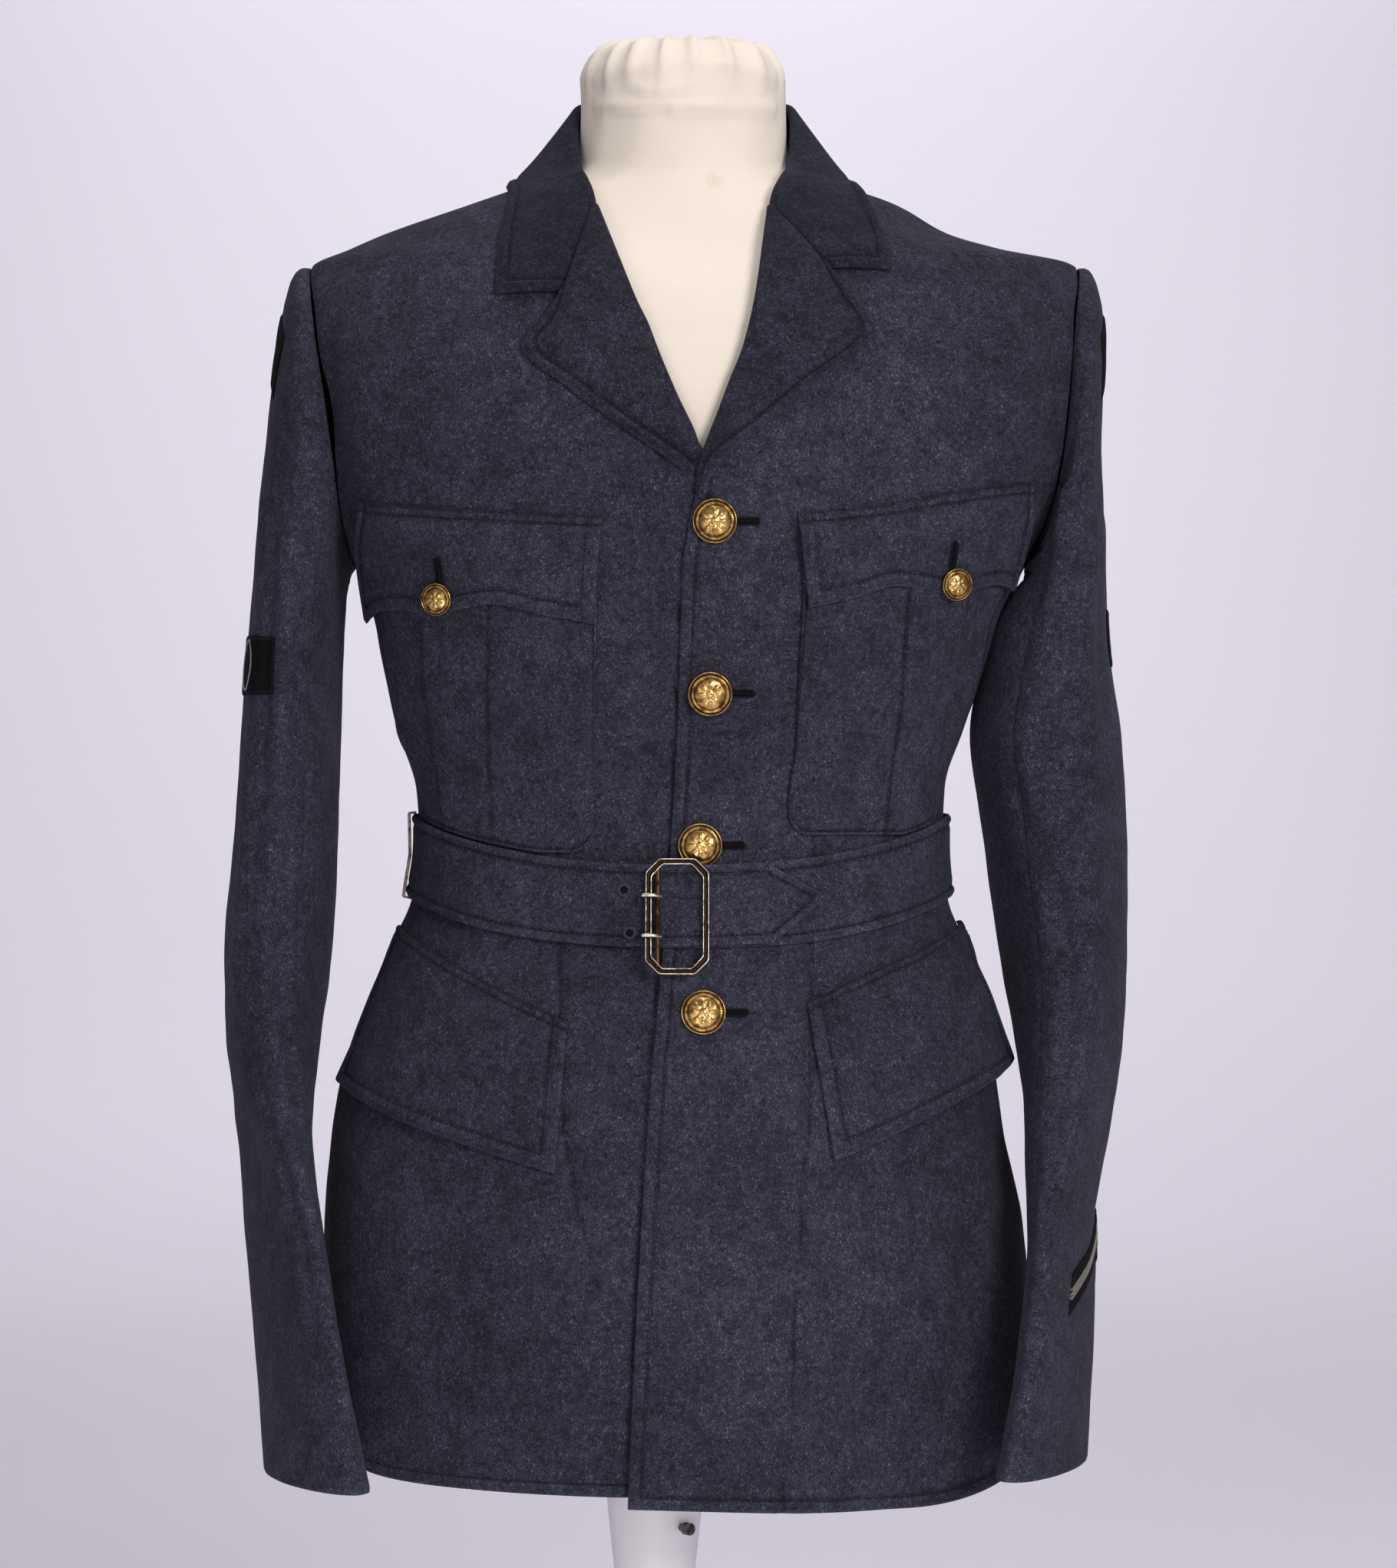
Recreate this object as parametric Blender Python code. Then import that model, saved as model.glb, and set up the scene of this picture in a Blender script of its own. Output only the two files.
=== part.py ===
"""A belted wool uniform jacket on a limbless dress form, with its post and base.

Metres, +Z up, +X towards the wearer's left, the front faces -Y. The origin is the middle of the
base's underside. Every cloth piece is a closed wall laid out from one surface for the body and one
for each sleeve, so neighbours share their seams and whatever lies on a panel follows that panel.
"""

import math

import bmesh
import bpy
from mathutils import Matrix, Vector

# Driving sizes
BODY_X = 0.0165  # the body's middle plane, beside the post's axis
HEM = 0.262
UNDERARM = 0.768
SHOULDER = 0.931  # height of the shoulder points
NECK_SEAM = 0.984  # height of the seam between the body and the collar
NECK_HALF = 0.066
CLOTH = 0.0020  # wall of the body and the sleeves
POCKET_CLOTH = 0.0016
COLLAR_CLOTH = 0.0022
BELT_CLOTH = 0.0026
SEAM = 0.0003  # gap between pieces sewn edge to edge
BELT_REST = 0.0014  # gap under the belt, which spans the hollow of the waist
REST = 0.0006  # gap under a piece that lies on another
LAP = 0.0028  # how far the left front stands off where it laps over
LAP_WIDTH = 0.034
LAP_FADE = 0.045
BELT_HEIGHT = 0.045
BUTTON_RADIUS = 0.0120
POCKET_BUTTON_RADIUS = 0.0088

# Rows and columns of the cloth grids
LOWER_ROWS = 18
UPPER_ROWS = 9
FRONT_COLUMNS = 10
NECK_COLUMNS = 8

# The jacket's outer face by height: half widths to the wearer's right and left of BODY_X, depth in
# front of and behind the side seam, and how square the section is (2 is an ellipse).
# height, right, left, front, back, square
SECTIONS = (
    (0.250, 0.2020, 0.1950, 0.150, 0.131, 2.20),
    (0.330, 0.2020, 0.1940, 0.147, 0.130, 2.20),
    (0.400, 0.2010, 0.1885, 0.144, 0.129, 2.20),
    (0.450, 0.1960, 0.1780, 0.140, 0.127, 2.20),
    (0.485, 0.1895, 0.1740, 0.136, 0.124, 2.20),
    (0.519, 0.1785, 0.1700, 0.129, 0.118, 2.20),
    (0.553, 0.1635, 0.1580, 0.118, 0.107, 2.20),
    (0.580, 0.1520, 0.1470, 0.110, 0.098, 2.20),
    (0.610, 0.1480, 0.1445, 0.107, 0.094, 2.20),
    (0.640, 0.1500, 0.1455, 0.108, 0.094, 2.20),
    (0.674, 0.1610, 0.1560, 0.114, 0.098, 2.25),
    (0.708, 0.1685, 0.1685, 0.121, 0.102, 2.30),
    (0.740, 0.1745, 0.1790, 0.125, 0.106, 2.35),
    (0.768, 0.1850, 0.1920, 0.126, 0.109, 2.40),
    (0.800, 0.2000, 0.2110, 0.126, 0.111, 2.60),
    (0.840, 0.2120, 0.2220, 0.123, 0.112, 2.80),
    (0.880, 0.2160, 0.2260, 0.115, 0.110, 2.80),
    (0.910, 0.2150, 0.2255, 0.104, 0.104, 2.60),
    (0.931, 0.2079, 0.2195, 0.092, 0.096, 2.40),
    (0.940, 0.1890, 0.1800, 0.085, 0.091, 2.30),
    (0.949, 0.1692, 0.1500, 0.078, 0.086, 2.20),
    (0.966, 0.1210, 0.1194, 0.068, 0.075, 2.10),
    (0.976, 0.0920, 0.0910, 0.062, 0.069, 2.00),
    (0.984, 0.0660, 0.0660, 0.058, 0.064, 2.00),
    (0.990, 0.0600, 0.0600, 0.056, 0.062, 2.00),
)

# The dress form, inside the cloth, with the same columns
FORM_SECTIONS = (
    (0.335, 0.1480, 0.1430, 0.104, 0.100, 2.10),
    (0.342, 0.1560, 0.1500, 0.112, 0.106, 2.10),
    (0.400, 0.1620, 0.1560, 0.120, 0.113, 2.10),
    (0.450, 0.1640, 0.1580, 0.122, 0.114, 2.10),
    (0.500, 0.1610, 0.1560, 0.120, 0.110, 2.10),
    (0.553, 0.1510, 0.1470, 0.110, 0.100, 2.15),
    (0.600, 0.1410, 0.1370, 0.100, 0.088, 2.15),
    (0.640, 0.1430, 0.1385, 0.101, 0.087, 2.15),
    (0.674, 0.1530, 0.1490, 0.107, 0.091, 2.20),
    (0.708, 0.1610, 0.1610, 0.114, 0.095, 2.25),
    (0.740, 0.1660, 0.1690, 0.118, 0.099, 2.25),
    (0.768, 0.1710, 0.1760, 0.119, 0.102, 2.25),
    (0.800, 0.1770, 0.1840, 0.119, 0.104, 2.30),
    (0.840, 0.1850, 0.1930, 0.116, 0.105, 2.35),
    (0.880, 0.1910, 0.2000, 0.108, 0.103, 2.35),
    (0.910, 0.1950, 0.2030, 0.096, 0.096, 2.30),
    (0.925, 0.1960, 0.2020, 0.087, 0.090, 2.20),
    (0.9365, 0.1880, 0.1800, 0.078, 0.084, 2.15),
    (0.9455, 0.1685, 0.1495, 0.072, 0.079, 2.10),
    (0.9625, 0.1205, 0.1190, 0.063, 0.069, 2.00),
    (0.9725, 0.0915, 0.0905, 0.058, 0.063, 2.00),
    (0.9800, 0.0655, 0.0655, 0.054, 0.058, 2.00),
    (0.9880, 0.0590, 0.0590, 0.053, 0.056, 2.00),
    (1.0050, 0.0578, 0.0578, 0.052, 0.055, 2.00),
    (1.0370, 0.0574, 0.0574, 0.052, 0.054, 2.00),
    (1.0475, 0.0530, 0.0530, 0.048, 0.050, 2.00),
    (1.0545, 0.0420, 0.0420, 0.038, 0.040, 2.00),
    (1.0580, 0.0250, 0.0250, 0.023, 0.024, 2.00),
)

# Soft upright folds of the skirt: where round the body, how far out at the hem, and their width
# angle, swell, spread
SKIRT_FOLDS = (
    (-66.0, 0.0040, 16.0),
    (-30.0, -0.0030, 13.0),
    (30.0, -0.0030, 13.0),
    (62.0, 0.0040, 15.0),
    (132.0, 0.0050, 15.0),
    (180.0, -0.0040, 16.0),
    (-132.0, 0.0050, 15.0),
)
FOLD_TOP = 0.50

# The hem's height round each panel, by angle from the middle of the front
HEMS = {
    "right": ((-90.0, 0.2810), (-63.0, 0.2757), (-50.0, 0.2690), (-30.0, 0.2667), (-5.0, 0.2657)),
    "left": ((-6.0, 0.260), (25.0, 0.2562), (42.0, 0.2566), (60.0, 0.2655), (78.0, 0.278), (90.0, 0.282)),
    "back": ((90.0, 0.2820), (135.0, 0.2720), (180.0, 0.2680), (225.0, 0.2720), (270.0, 0.2810)),
}
HEM_FADE = 4  # rows over which the hem's line runs out into level rows

# Front edges, then the roll lines of the lapels, as seen from in front: height, x
LEFT_EDGE = (
    (0.250, -0.0130),
    (0.290, -0.0116),
    (0.488, -0.0005),
    (0.520, 0.0026),
    (0.600, 0.0089),
    (0.672, 0.0130),
    (0.758, 0.0163),
    (0.790, 0.0205),
    (0.819, 0.0290),
    (0.853, 0.0417),
    (0.874, 0.0500),
    (0.903, 0.0571),
    (0.930, 0.0620),
    (0.965, 0.0700),
    (0.984, 0.0825),
)
RIGHT_EDGE = (
    (0.250, 0.0210),
    (0.488, 0.0335),
    (0.600, 0.0429),
    (0.768, 0.0505),
    (0.790, 0.0470),
    (0.819, 0.0290),
    (0.829, 0.0208),
    (0.850, 0.0109),
    (0.876, 0.0005),
    (0.901, -0.0106),
    (0.930, -0.0195),
    (0.965, -0.0360),
    (0.984, -0.0495),
)

# The armhole seen from in front: height, distance from BODY_X on the right and on the left
ARMHOLE = (
    (0.768, 0.1850, 0.1920),
    (0.791, 0.1885, 0.2010),
    (0.815, 0.1905, 0.2062),
    (0.850, 0.1950, 0.2105),
    (0.891, 0.2020, 0.2140),
    (0.931, 0.2079, 0.2195),
)

# Sleeves by rows from below the sleeve head to the cuff: the inner and the outer point of each
# section seen from in front, its middle and half its depth from front to back, and its turn.
# inner x, inner z, outer x, outer z, middle y, half depth, turn
RIGHT_SLEEVE = (
    (-0.1720, 0.7590, -0.2150, 0.8286, 0.000, 0.0770, 0.0),
    (-0.1735, 0.7510, -0.2200, 0.7850, 0.000, 0.0785, 0.0),
    (-0.1755, 0.7200, -0.2250, 0.7254, 0.002, 0.0780, 0.0),
    (-0.1772, 0.6600, -0.2296, 0.6600, 0.005, 0.0755, 0.0),
    (-0.1800, 0.6050, -0.2345, 0.6050, 0.007, 0.0725, 0.0),
    (-0.1828, 0.5500, -0.2390, 0.5500, 0.004, 0.0700, 0.0),
    (-0.1880, 0.5000, -0.2380, 0.5000, -0.008, 0.0670, 6.0),
    (-0.1895, 0.4600, -0.2330, 0.4600, -0.028, 0.0650, 12.0),
    (-0.1780, 0.4030, -0.2262, 0.4030, -0.066, 0.0620, 20.0),
    (-0.1655, 0.3389, -0.2185, 0.3389, -0.096, 0.0600, 24.0),
    (-0.1503, 0.2700, -0.2105, 0.2700, -0.116, 0.0575, 27.0),
)
LEFT_SLEEVE = (
    (0.2095, 0.7600, 0.2472, 0.8286, 0.000, 0.0770, 0.0),
    (0.2075, 0.7530, 0.2490, 0.7850, 0.000, 0.0785, 0.0),
    (0.1930, 0.7200, 0.2512, 0.7254, 0.002, 0.0780, 0.0),
    (0.1788, 0.6650, 0.2590, 0.6650, 0.005, 0.0770, 0.0),
    (0.1865, 0.6050, 0.2612, 0.6050, 0.007, 0.0750, 0.0),
    (0.1955, 0.5500, 0.2618, 0.5500, 0.004, 0.0720, 0.0),
    (0.2035, 0.5000, 0.2580, 0.5000, -0.008, 0.0680, 5.0),
    (0.2060, 0.4600, 0.2525, 0.4600, -0.026, 0.0650, 9.0),
    (0.2044, 0.4030, 0.2435, 0.4030, -0.060, 0.0620, 14.0),
    (0.1965, 0.3450, 0.2405, 0.3450, -0.088, 0.0600, 18.0),
    (0.1830, 0.2760, 0.2350, 0.2760, -0.110, 0.0575, 22.0),
)
HEAD_ROWS = 4  # rows that round over from the armhole to the first row of the tables
HEAD_OUT, HEAD_UP = 0.0160, 0.0020  # how full the sleeve head is at the shoulder
SEAM_TURN = 120.0  # where the two sleeve seams lie, from the outer point
SLEEVE_STEPS = 12  # columns of the top sleeve
UNDER_STEPS = 6
SLEEVE_ROWS = HEAD_ROWS + len(LEFT_SLEEVE) - 1

# Lapels seen from in front: the roll line and the outer edge, from the lowest point to the gorge
# roll x, roll z, edge x, edge z
LEFT_LAPEL = (
    (0.0232, 0.7990, 0.0258, 0.7970),
    (0.0290, 0.8190, 0.0385, 0.8160),
    (0.0370, 0.8400, 0.0610, 0.8350),
    (0.0440, 0.8590, 0.0880, 0.8590),
    (0.0500, 0.8740, 0.1190, 0.8870),
    (0.0571, 0.9030, 0.1090, 0.9040),
    (0.0646, 0.9575, 0.0945, 0.9203),
)
RIGHT_LAPEL = (
    (0.0245, 0.8155, 0.0190, 0.8080),
    (0.0205, 0.8290, 0.0040, 0.8190),
    (0.0107, 0.8500, -0.0215, 0.8370),
    (0.0003, 0.8750, -0.0460, 0.8550),
    (-0.0050, 0.8890, -0.0700, 0.8760),
    (-0.0108, 0.9010, -0.0605, 0.8900),
    (-0.0328, 0.9580, -0.0484, 0.9070),
)

# The collar's front ends seen from in front, from the gorge up: fold x, fold z, edge x, edge z
LEFT_COLLAR_END = (
    (0.0957, 0.9210, 0.1275, 0.9200),
    (0.0815, 0.9400, 0.1262, 0.9400),
    (0.0657, 0.9600, 0.1160, 0.9650),
)
RIGHT_COLLAR_END = (
    (-0.0497, 0.9085, -0.0845, 0.9060),
    (-0.0430, 0.9320, -0.0835, 0.9350),
    (-0.0342, 0.9620, -0.0790, 0.9660),
)
# Round the neck, from beside the V to the middle of the back: the fold's distance from BODY_X, its
# y and z, then the outer edge's place on the body as angle and height
COLLAR_ROUND = (
    (0.0590, -0.036, 0.983, 68.0, 0.9715),
    (0.0630, -0.012, 1.0065, 90.0, 0.9735),
    (0.0625, 0.018, 1.0245, 116.0, 0.9720),
    (0.0490, 0.048, 1.0290, 146.0, 0.9680),
    (0.0262, 0.0625, 1.0315, 165.0, 0.9665),
)
COLLAR_BACK = (0.0, 0.0665, 1.0320, 180.0, 0.9660)
LAPEL_REST = 0.0014
STAND_CLOTH = 0.0016
STAND_DROP = 0.0048  # how far the stand stays below the fold
STAND_INSET = 0.0020
COLLAR_LIFT = COLLAR_CLOTH + LAPEL_REST
FALL_STEPS = 6
COLLAR_ARCH = 0.003  # how far the fall bows up between its fold and its edge

# Breast pockets and flaps, from the edge next to the front opening outwards.
# inner top x, top z, inner foot x, foot z, outer angle, button x, button z
BREAST_POCKETS = {
    "right": (-0.0290, 0.7660, -0.0309, 0.6060, -72.0, -0.1110, 0.7440),
    "left": (0.0815, 0.7700, 0.0715, 0.6155, 70.0, 0.1580, 0.7530),
}
PLEAT_HALF = 0.027
PLEAT_FOLD = 0.4  # degrees over which the pleat's edge steps up
POCKET_CORNER = 0.010
POCKET_ROWS = 8
POCKET_REST = 0.0016
POCKET_OVER_BELT = 0.0015
FLAP_LIFT = POCKET_REST + 2 * POCKET_CLOTH + 0.0008
HIP_FLAP_LIFT = 0.0012
FLAP_ROWS, FLAP_COLUMNS = 4, 12
# Across each breast flap: share of its width, height of its upper edge, height of its lower edge
BREAST_FLAPS = {
    "right": (
        (0.00, 0.7857, 0.7290),
        (0.14, 0.7870, 0.7340),
        (0.30, 0.7890, 0.7400),
        (0.44, 0.7905, 0.7370),
        (0.54, 0.7915, 0.7340),
        (0.66, 0.7930, 0.7380),
        (0.82, 0.7950, 0.7390),
        (1.00, 0.7975, 0.7330),
    ),
    "left": (
        (0.00, 0.7874, 0.7375),
        (0.14, 0.7900, 0.7430),
        (0.30, 0.7940, 0.7500),
        (0.46, 0.7985, 0.7480),
        (0.58, 0.8010, 0.7450),
        (0.70, 0.8035, 0.7510),
        (0.84, 0.8055, 0.7540),
        (1.00, 0.8070, 0.7510),
    ),
}
# Inner edge's x at the top and at the foot, then the outer edge's
BREAST_FLAP_ENDS = {"right": (-0.0268, -0.0305, -0.1610, -0.1530), "left": (0.0771, 0.0820, 0.2090, 0.1925)}

# Slanted hip flaps: share of the width, upper edge's height, lower edge's height, lift of the foot
HIP_FLAPS = {
    "right": (
        (0.00, 0.5160, 0.4360, 0.0006),
        (0.25, 0.5290, 0.4480, 0.0010),
        (0.50, 0.5430, 0.4590, 0.0015),
        (0.75, 0.5560, 0.4700, 0.0020),
        (1.00, 0.5640, 0.4780, 0.0025),
    ),
    "left": (
        (0.00, 0.5262, 0.4420, 0.0006),
        (0.25, 0.5390, 0.4560, 0.0015),
        (0.50, 0.5500, 0.4690, 0.0035),
        (0.75, 0.5600, 0.4800, 0.0065),
        (1.00, 0.5660, 0.4880, 0.0085),
    ),
}
# Front edge's x at the top and at the foot, then the outer edge's
HIP_FLAP_ENDS = {"right": (-0.0452, -0.0516, -0.1405, -0.1715), "left": (0.0824, 0.0966, 0.1700, 0.1895)}

FRONT_BUTTONS = ((0.0331, 0.7830), (0.0306, 0.6920), (0.0253, 0.6130), (0.0270, 0.5204))

# The belt's route: height of its middle in front, at the sides and at the back
BELT_FRONT, BELT_SIDE, BELT_BACK = 0.5765, 0.6040, 0.6120
BELT_START = -6.5  # angle where the end under the buckle begins
LAYER_GAP = 0.0004
BELT_TIP = 27.0  # angle of the tongue's point, after one turn
BELT_CLOSER = 300.0  # from here on the belt's columns are closer together
BELT_COLUMNS, END_COLUMNS = 42, 18
LAYER_START, LAYER_SPAN = 322.0, 26.0  # where the strap climbs over its own end
TIP_SPAN = 12.0
BUCKLE_X, BUCKLE_Z = 0.0132, 0.5690
BUCKLE_WIDTH, BUCKLE_HEIGHT = 0.0345, 0.0640
BUCKLE_CORNER = 0.0075
BUCKLE_BAR = 0.0038
BUCKLE_REST = 0.0027
BUCKLE_LEAN_HEIGHT = 0.5730  # the buckle lies as steep as the cloth at this height
PRONG_APART = 0.0220
PRONG_RADIUS = 0.0010
PRONG_SIDES = 8
SLIDE_ANGLE = -84.0
SLIDE_HALF_TURN = 2.6  # half the slide's width, in degrees round the body

# Patches on the sleeves: top and foot heights, and how far round they reach from the outer point
PATCHES = {
    "right_upper_patch": (-1, 0.905, 0.866, 40.0, -60.0),
    "right_lower_patch": (-1, 0.7250, 0.6920, 80.0, -80.0),
    "left_upper_patch": (1, 0.905, 0.866, 40.0, -60.0),
    "left_lower_patch": (1, 0.7400, 0.7080, 20.0, -100.0),
}
SLEEVE_GAP = {-1: 0.25, 1: 0.4}  # from each seam, in degrees of turn
PATCH_CLOTH = 0.0010
PATCH_REST = 0.0008
PATCH_STEP = 20.0  # degrees from one column to the next
STRIPE_FRONT, STRIPE_MIDDLE, STRIPE_BACK = 20.0, -60.0, -120.0
STRIPE_LOW, STRIPE_PEAK = 0.3690, 0.3960
STRIPE_HEIGHT = 0.0220

# Post and base: height, radius
POST = (
    (0.0310, 0.0440),
    (0.0360, 0.0420),
    (0.0460, 0.0280),
    (0.0620, 0.0200),
    (0.1000, 0.0175),
    (0.1600, 0.0192),
    (0.2040, 0.0228),
    (0.2350, 0.0260),
    (0.2700, 0.0285),
    (0.3100, 0.0300),
    (0.3345, 0.0300),
)
BASE = ((0.0, 0.1480), (0.004, 0.1520), (0.018, 0.1520), (0.026, 0.1440), (0.0305, 0.1200))
SCREW_X, SCREW_Y, SCREW_HEIGHT = 0.0150, -0.0215, 0.2300
SCREW_TURN = 35.0

COLOURS = {
    "serge": ((0.030, 0.030, 0.047), 0.95, 0.0),
    "serge_dark": ((0.024, 0.023, 0.036), 0.95, 0.0),
    "gilt": ((0.52, 0.33, 0.11), 0.32, 1.0),
    "nickel": ((0.42, 0.37, 0.31), 0.28, 1.0),
    "badge": ((0.007, 0.007, 0.007), 0.9, 0.0),
    "calico": ((0.88, 0.82, 0.74), 0.85, 0.0),
    "white_paint": ((0.85, 0.82, 0.82), 0.45, 0.0),
    "dark_metal": ((0.05, 0.045, 0.04), 0.5, 1.0),
}


def ease(share):
    """Go from 0 to 1 with level ends."""
    share = min(1.0, max(0.0, share))
    return share * share * (3 - 2 * share)


def mix(start, end, share):
    return start + (end - start) * share


def curve(rows, column, at):
    """Read one column of a table at a value of its first column, smoothly and without overshoot."""
    if at <= rows[0][0]:
        return rows[0][column]
    if at >= rows[-1][0]:
        return rows[-1][column]
    last = len(rows) - 1
    low = max(i for i in range(last) if rows[i][0] <= at)

    def slope(i):
        return (rows[i + 1][column] - rows[i][column]) / (rows[i + 1][0] - rows[i][0])

    def tangent(i):
        if i == 0:
            return slope(0)
        if i == last:
            return slope(last - 1)
        before, after = slope(i - 1), slope(i)
        return 0.0 if before * after <= 0 else 2 * before * after / (before + after)

    width = rows[low + 1][0] - rows[low][0]
    t = (at - rows[low][0]) / width
    return (
        (2 * t**3 - 3 * t**2 + 1) * rows[low][column]
        + (t**3 - 2 * t**2 + t) * width * tangent(low)
        + (3 * t**2 - 2 * t**3) * rows[low + 1][column]
        + (t**3 - t**2) * width * tangent(low + 1)
    )


def skirt_fold(angle, height):
    """How far the skirt's folds carry the cloth outwards."""
    reach = ease((FOLD_TOP - height) / (FOLD_TOP - HEM))
    total = 0.0
    for middle, swell, spread in SKIRT_FOLDS:
        away = (angle - middle + 180) % 360 - 180
        total += swell * math.exp(-((away / spread) ** 2))
    return total * reach


def body_point(angle, height, sections=SECTIONS):
    """A point of a closed body; angle 0 is the middle of the front, 90 the wearer's left side."""
    right, left, front, back, square = (curve(sections, column, height) for column in range(1, 6))
    turn = math.radians(angle)
    across, ahead = math.sin(turn), math.cos(turn)
    half = left if across >= 0 else right
    depth = front if ahead >= 0 else back
    x = math.copysign(half * abs(across) ** (2 / square), across)
    y = -math.copysign(depth * abs(ahead) ** (2 / square), ahead)
    point = Vector((BODY_X + x, y, height))
    if sections is SECTIONS and height < FOLD_TOP:
        point += Vector((across, -ahead, 0.0)) * skirt_fold(angle, height)
    return point


def body_normal(angle, height):
    around = body_point(angle + 0.5, height) - body_point(angle - 0.5, height)
    upward = body_point(angle, height + 0.001) - body_point(angle, height - 0.001)
    return around.cross(upward).normalized()


def cloth(angle, height, lift=0.0):
    """A point on the jacket's body, or off it along its normal."""
    return body_point(angle, height) + body_normal(angle, height) * lift


def angle_of(x, height, behind=False):
    """The angle at which the body reaches x at this height, in front or behind."""
    away = x - BODY_X
    half = curve(SECTIONS, 2 if away >= 0 else 1, height)
    square = curve(SECTIONS, 5, height)
    turn = math.degrees(math.asin(min(1.0, abs(away) / half) ** (square / 2)))
    return math.copysign(180 - turn if behind else turn, away)


def seen(x, height, lift=0.0):
    """The place on the jacket's front that is seen at x and height from straight ahead."""
    return cloth(angle_of(x, height), height, lift)


def shoulder_line(x):
    """Height of the shoulder seam over x, or of the neck seam inside the neck."""
    away = abs(x - BODY_X)
    if away <= NECK_HALF:
        return NECK_SEAM
    column = 2 if x >= BODY_X else 1
    low, high = SHOULDER, NECK_SEAM
    for _ in range(40):
        middle = (low + high) / 2
        if curve(SECTIONS, column, middle) > away:
            low = middle
        else:
            high = middle
    return low


def rise(share, outward=1.0):
    """Spread the upper rows: closer at both ends at the armhole, closer at the shoulder elsewhere."""
    at_armhole = (1 - math.cos(math.pi * share)) / 2
    inside = 1 - (1 - share) ** 2.4
    return mix(inside, at_armhole, ease(outward))


def armhole_x(side, height):
    return BODY_X + side * curve(ARMHOLE, 1 if side < 0 else 2, height)


def lap_lift(x, height):
    """How far the lapped left front stands off the body at x."""
    edge = curve(LEFT_EDGE, 1, height)
    fade = 1 - ease((x - edge - LAP_WIDTH) / LAP_FADE)
    return LAP * fade * (1 - ease((height - 0.805) / 0.05))


def material_of(kind):
    found = bpy.data.materials.get(kind)
    if found:
        return found
    colour, roughness, metallic = COLOURS[kind]
    made = bpy.data.materials.new(kind)
    made.use_nodes = True
    shader = made.node_tree.nodes["Principled BSDF"]
    shader.inputs["Base Color"].default_value = (*colour, 1.0)
    shader.inputs["Roughness"].default_value = roughness
    shader.inputs["Metallic"].default_value = metallic
    return made


def add_object(name, mesh_data, kind, smooth=True):
    mesh = bpy.data.meshes.new(name)
    bmesh.ops.recalc_face_normals(mesh_data, faces=mesh_data.faces)
    mesh_data.to_mesh(mesh)
    mesh_data.free()
    for face in mesh.polygons:
        face.use_smooth = smooth
    mesh.materials.append(material_of(kind))
    made = bpy.data.objects.new(name, mesh)
    bpy.context.scene.collection.objects.link(made)
    made.parent = stand
    return made


def wall(name, outer, inner, kind, ring=False):
    """Close two grids of points, the same size, into one wall; ring joins the last column to the first."""
    made = bmesh.new()
    rows, columns = len(outer), len(outer[0])
    faces = [[[made.verts.new(point) for point in row] for row in grid] for grid in (outer, inner)]
    spans = columns if ring else columns - 1

    def quad(a, b, c, d):
        made.faces.new((a, b, c, d))

    for i in range(rows - 1):
        for j in range(spans):
            k = (j + 1) % columns
            for grid, order in ((faces[0], 1), (faces[1], -1)):
                quad(*(grid[i][j], grid[i][k], grid[i + 1][k], grid[i + 1][j])[::order])
    for j in range(spans):
        k = (j + 1) % columns
        quad(faces[0][0][k], faces[0][0][j], faces[1][0][j], faces[1][0][k])
        quad(faces[0][-1][j], faces[0][-1][k], faces[1][-1][k], faces[1][-1][j])
    if not ring:
        for i in range(rows - 1):
            quad(faces[0][i][0], faces[0][i + 1][0], faces[1][i + 1][0], faces[1][i][0])
            quad(faces[0][i + 1][-1], faces[0][i][-1], faces[1][i][-1], faces[1][i + 1][-1])
    return add_object(name, made, kind)


def turned(name, profile, kind, steps=12):
    """Turn a profile of (height, radius) about Z into a closed solid."""
    made = bmesh.new()
    rings = []
    for height, radius in profile:
        turns = (math.tau * i / steps for i in range(steps))
        rings.append([made.verts.new((radius * math.cos(t), radius * math.sin(t), height)) for t in turns])
    for lower, upper in zip(rings, rings[1:]):
        for i in range(steps):
            j = (i + 1) % steps
            made.faces.new((lower[i], lower[j], upper[j], upper[i]))
    made.faces.new(rings[0][::-1])
    made.faces.new(rings[-1])
    return add_object(name, made, kind)


def body_wall(name, places, kind="serge"):
    """A wall of body cloth from rows of (angle, height, lift, seam shift in y)."""
    outer, inner = [], []
    for row in places:
        points, depths = [], []
        for angle, height, lift, shift in row:
            aside = Vector((0, shift, 0))
            points.append(cloth(angle, height, lift) + aside)
            depths.append(cloth(angle, height, lift - CLOTH) + aside)
        outer.append(points)
        inner.append(depths)
    return wall(name, outer, inner, kind)


def hemmed(panel, angle, height, row):
    """The height of a point in a panel's lowest rows, which follow the line of the hem."""
    fade = max(0.0, 1 - row / HEM_FADE) ** 2
    return height + (curve(HEMS[panel], 1, angle) - HEM) * fade


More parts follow.
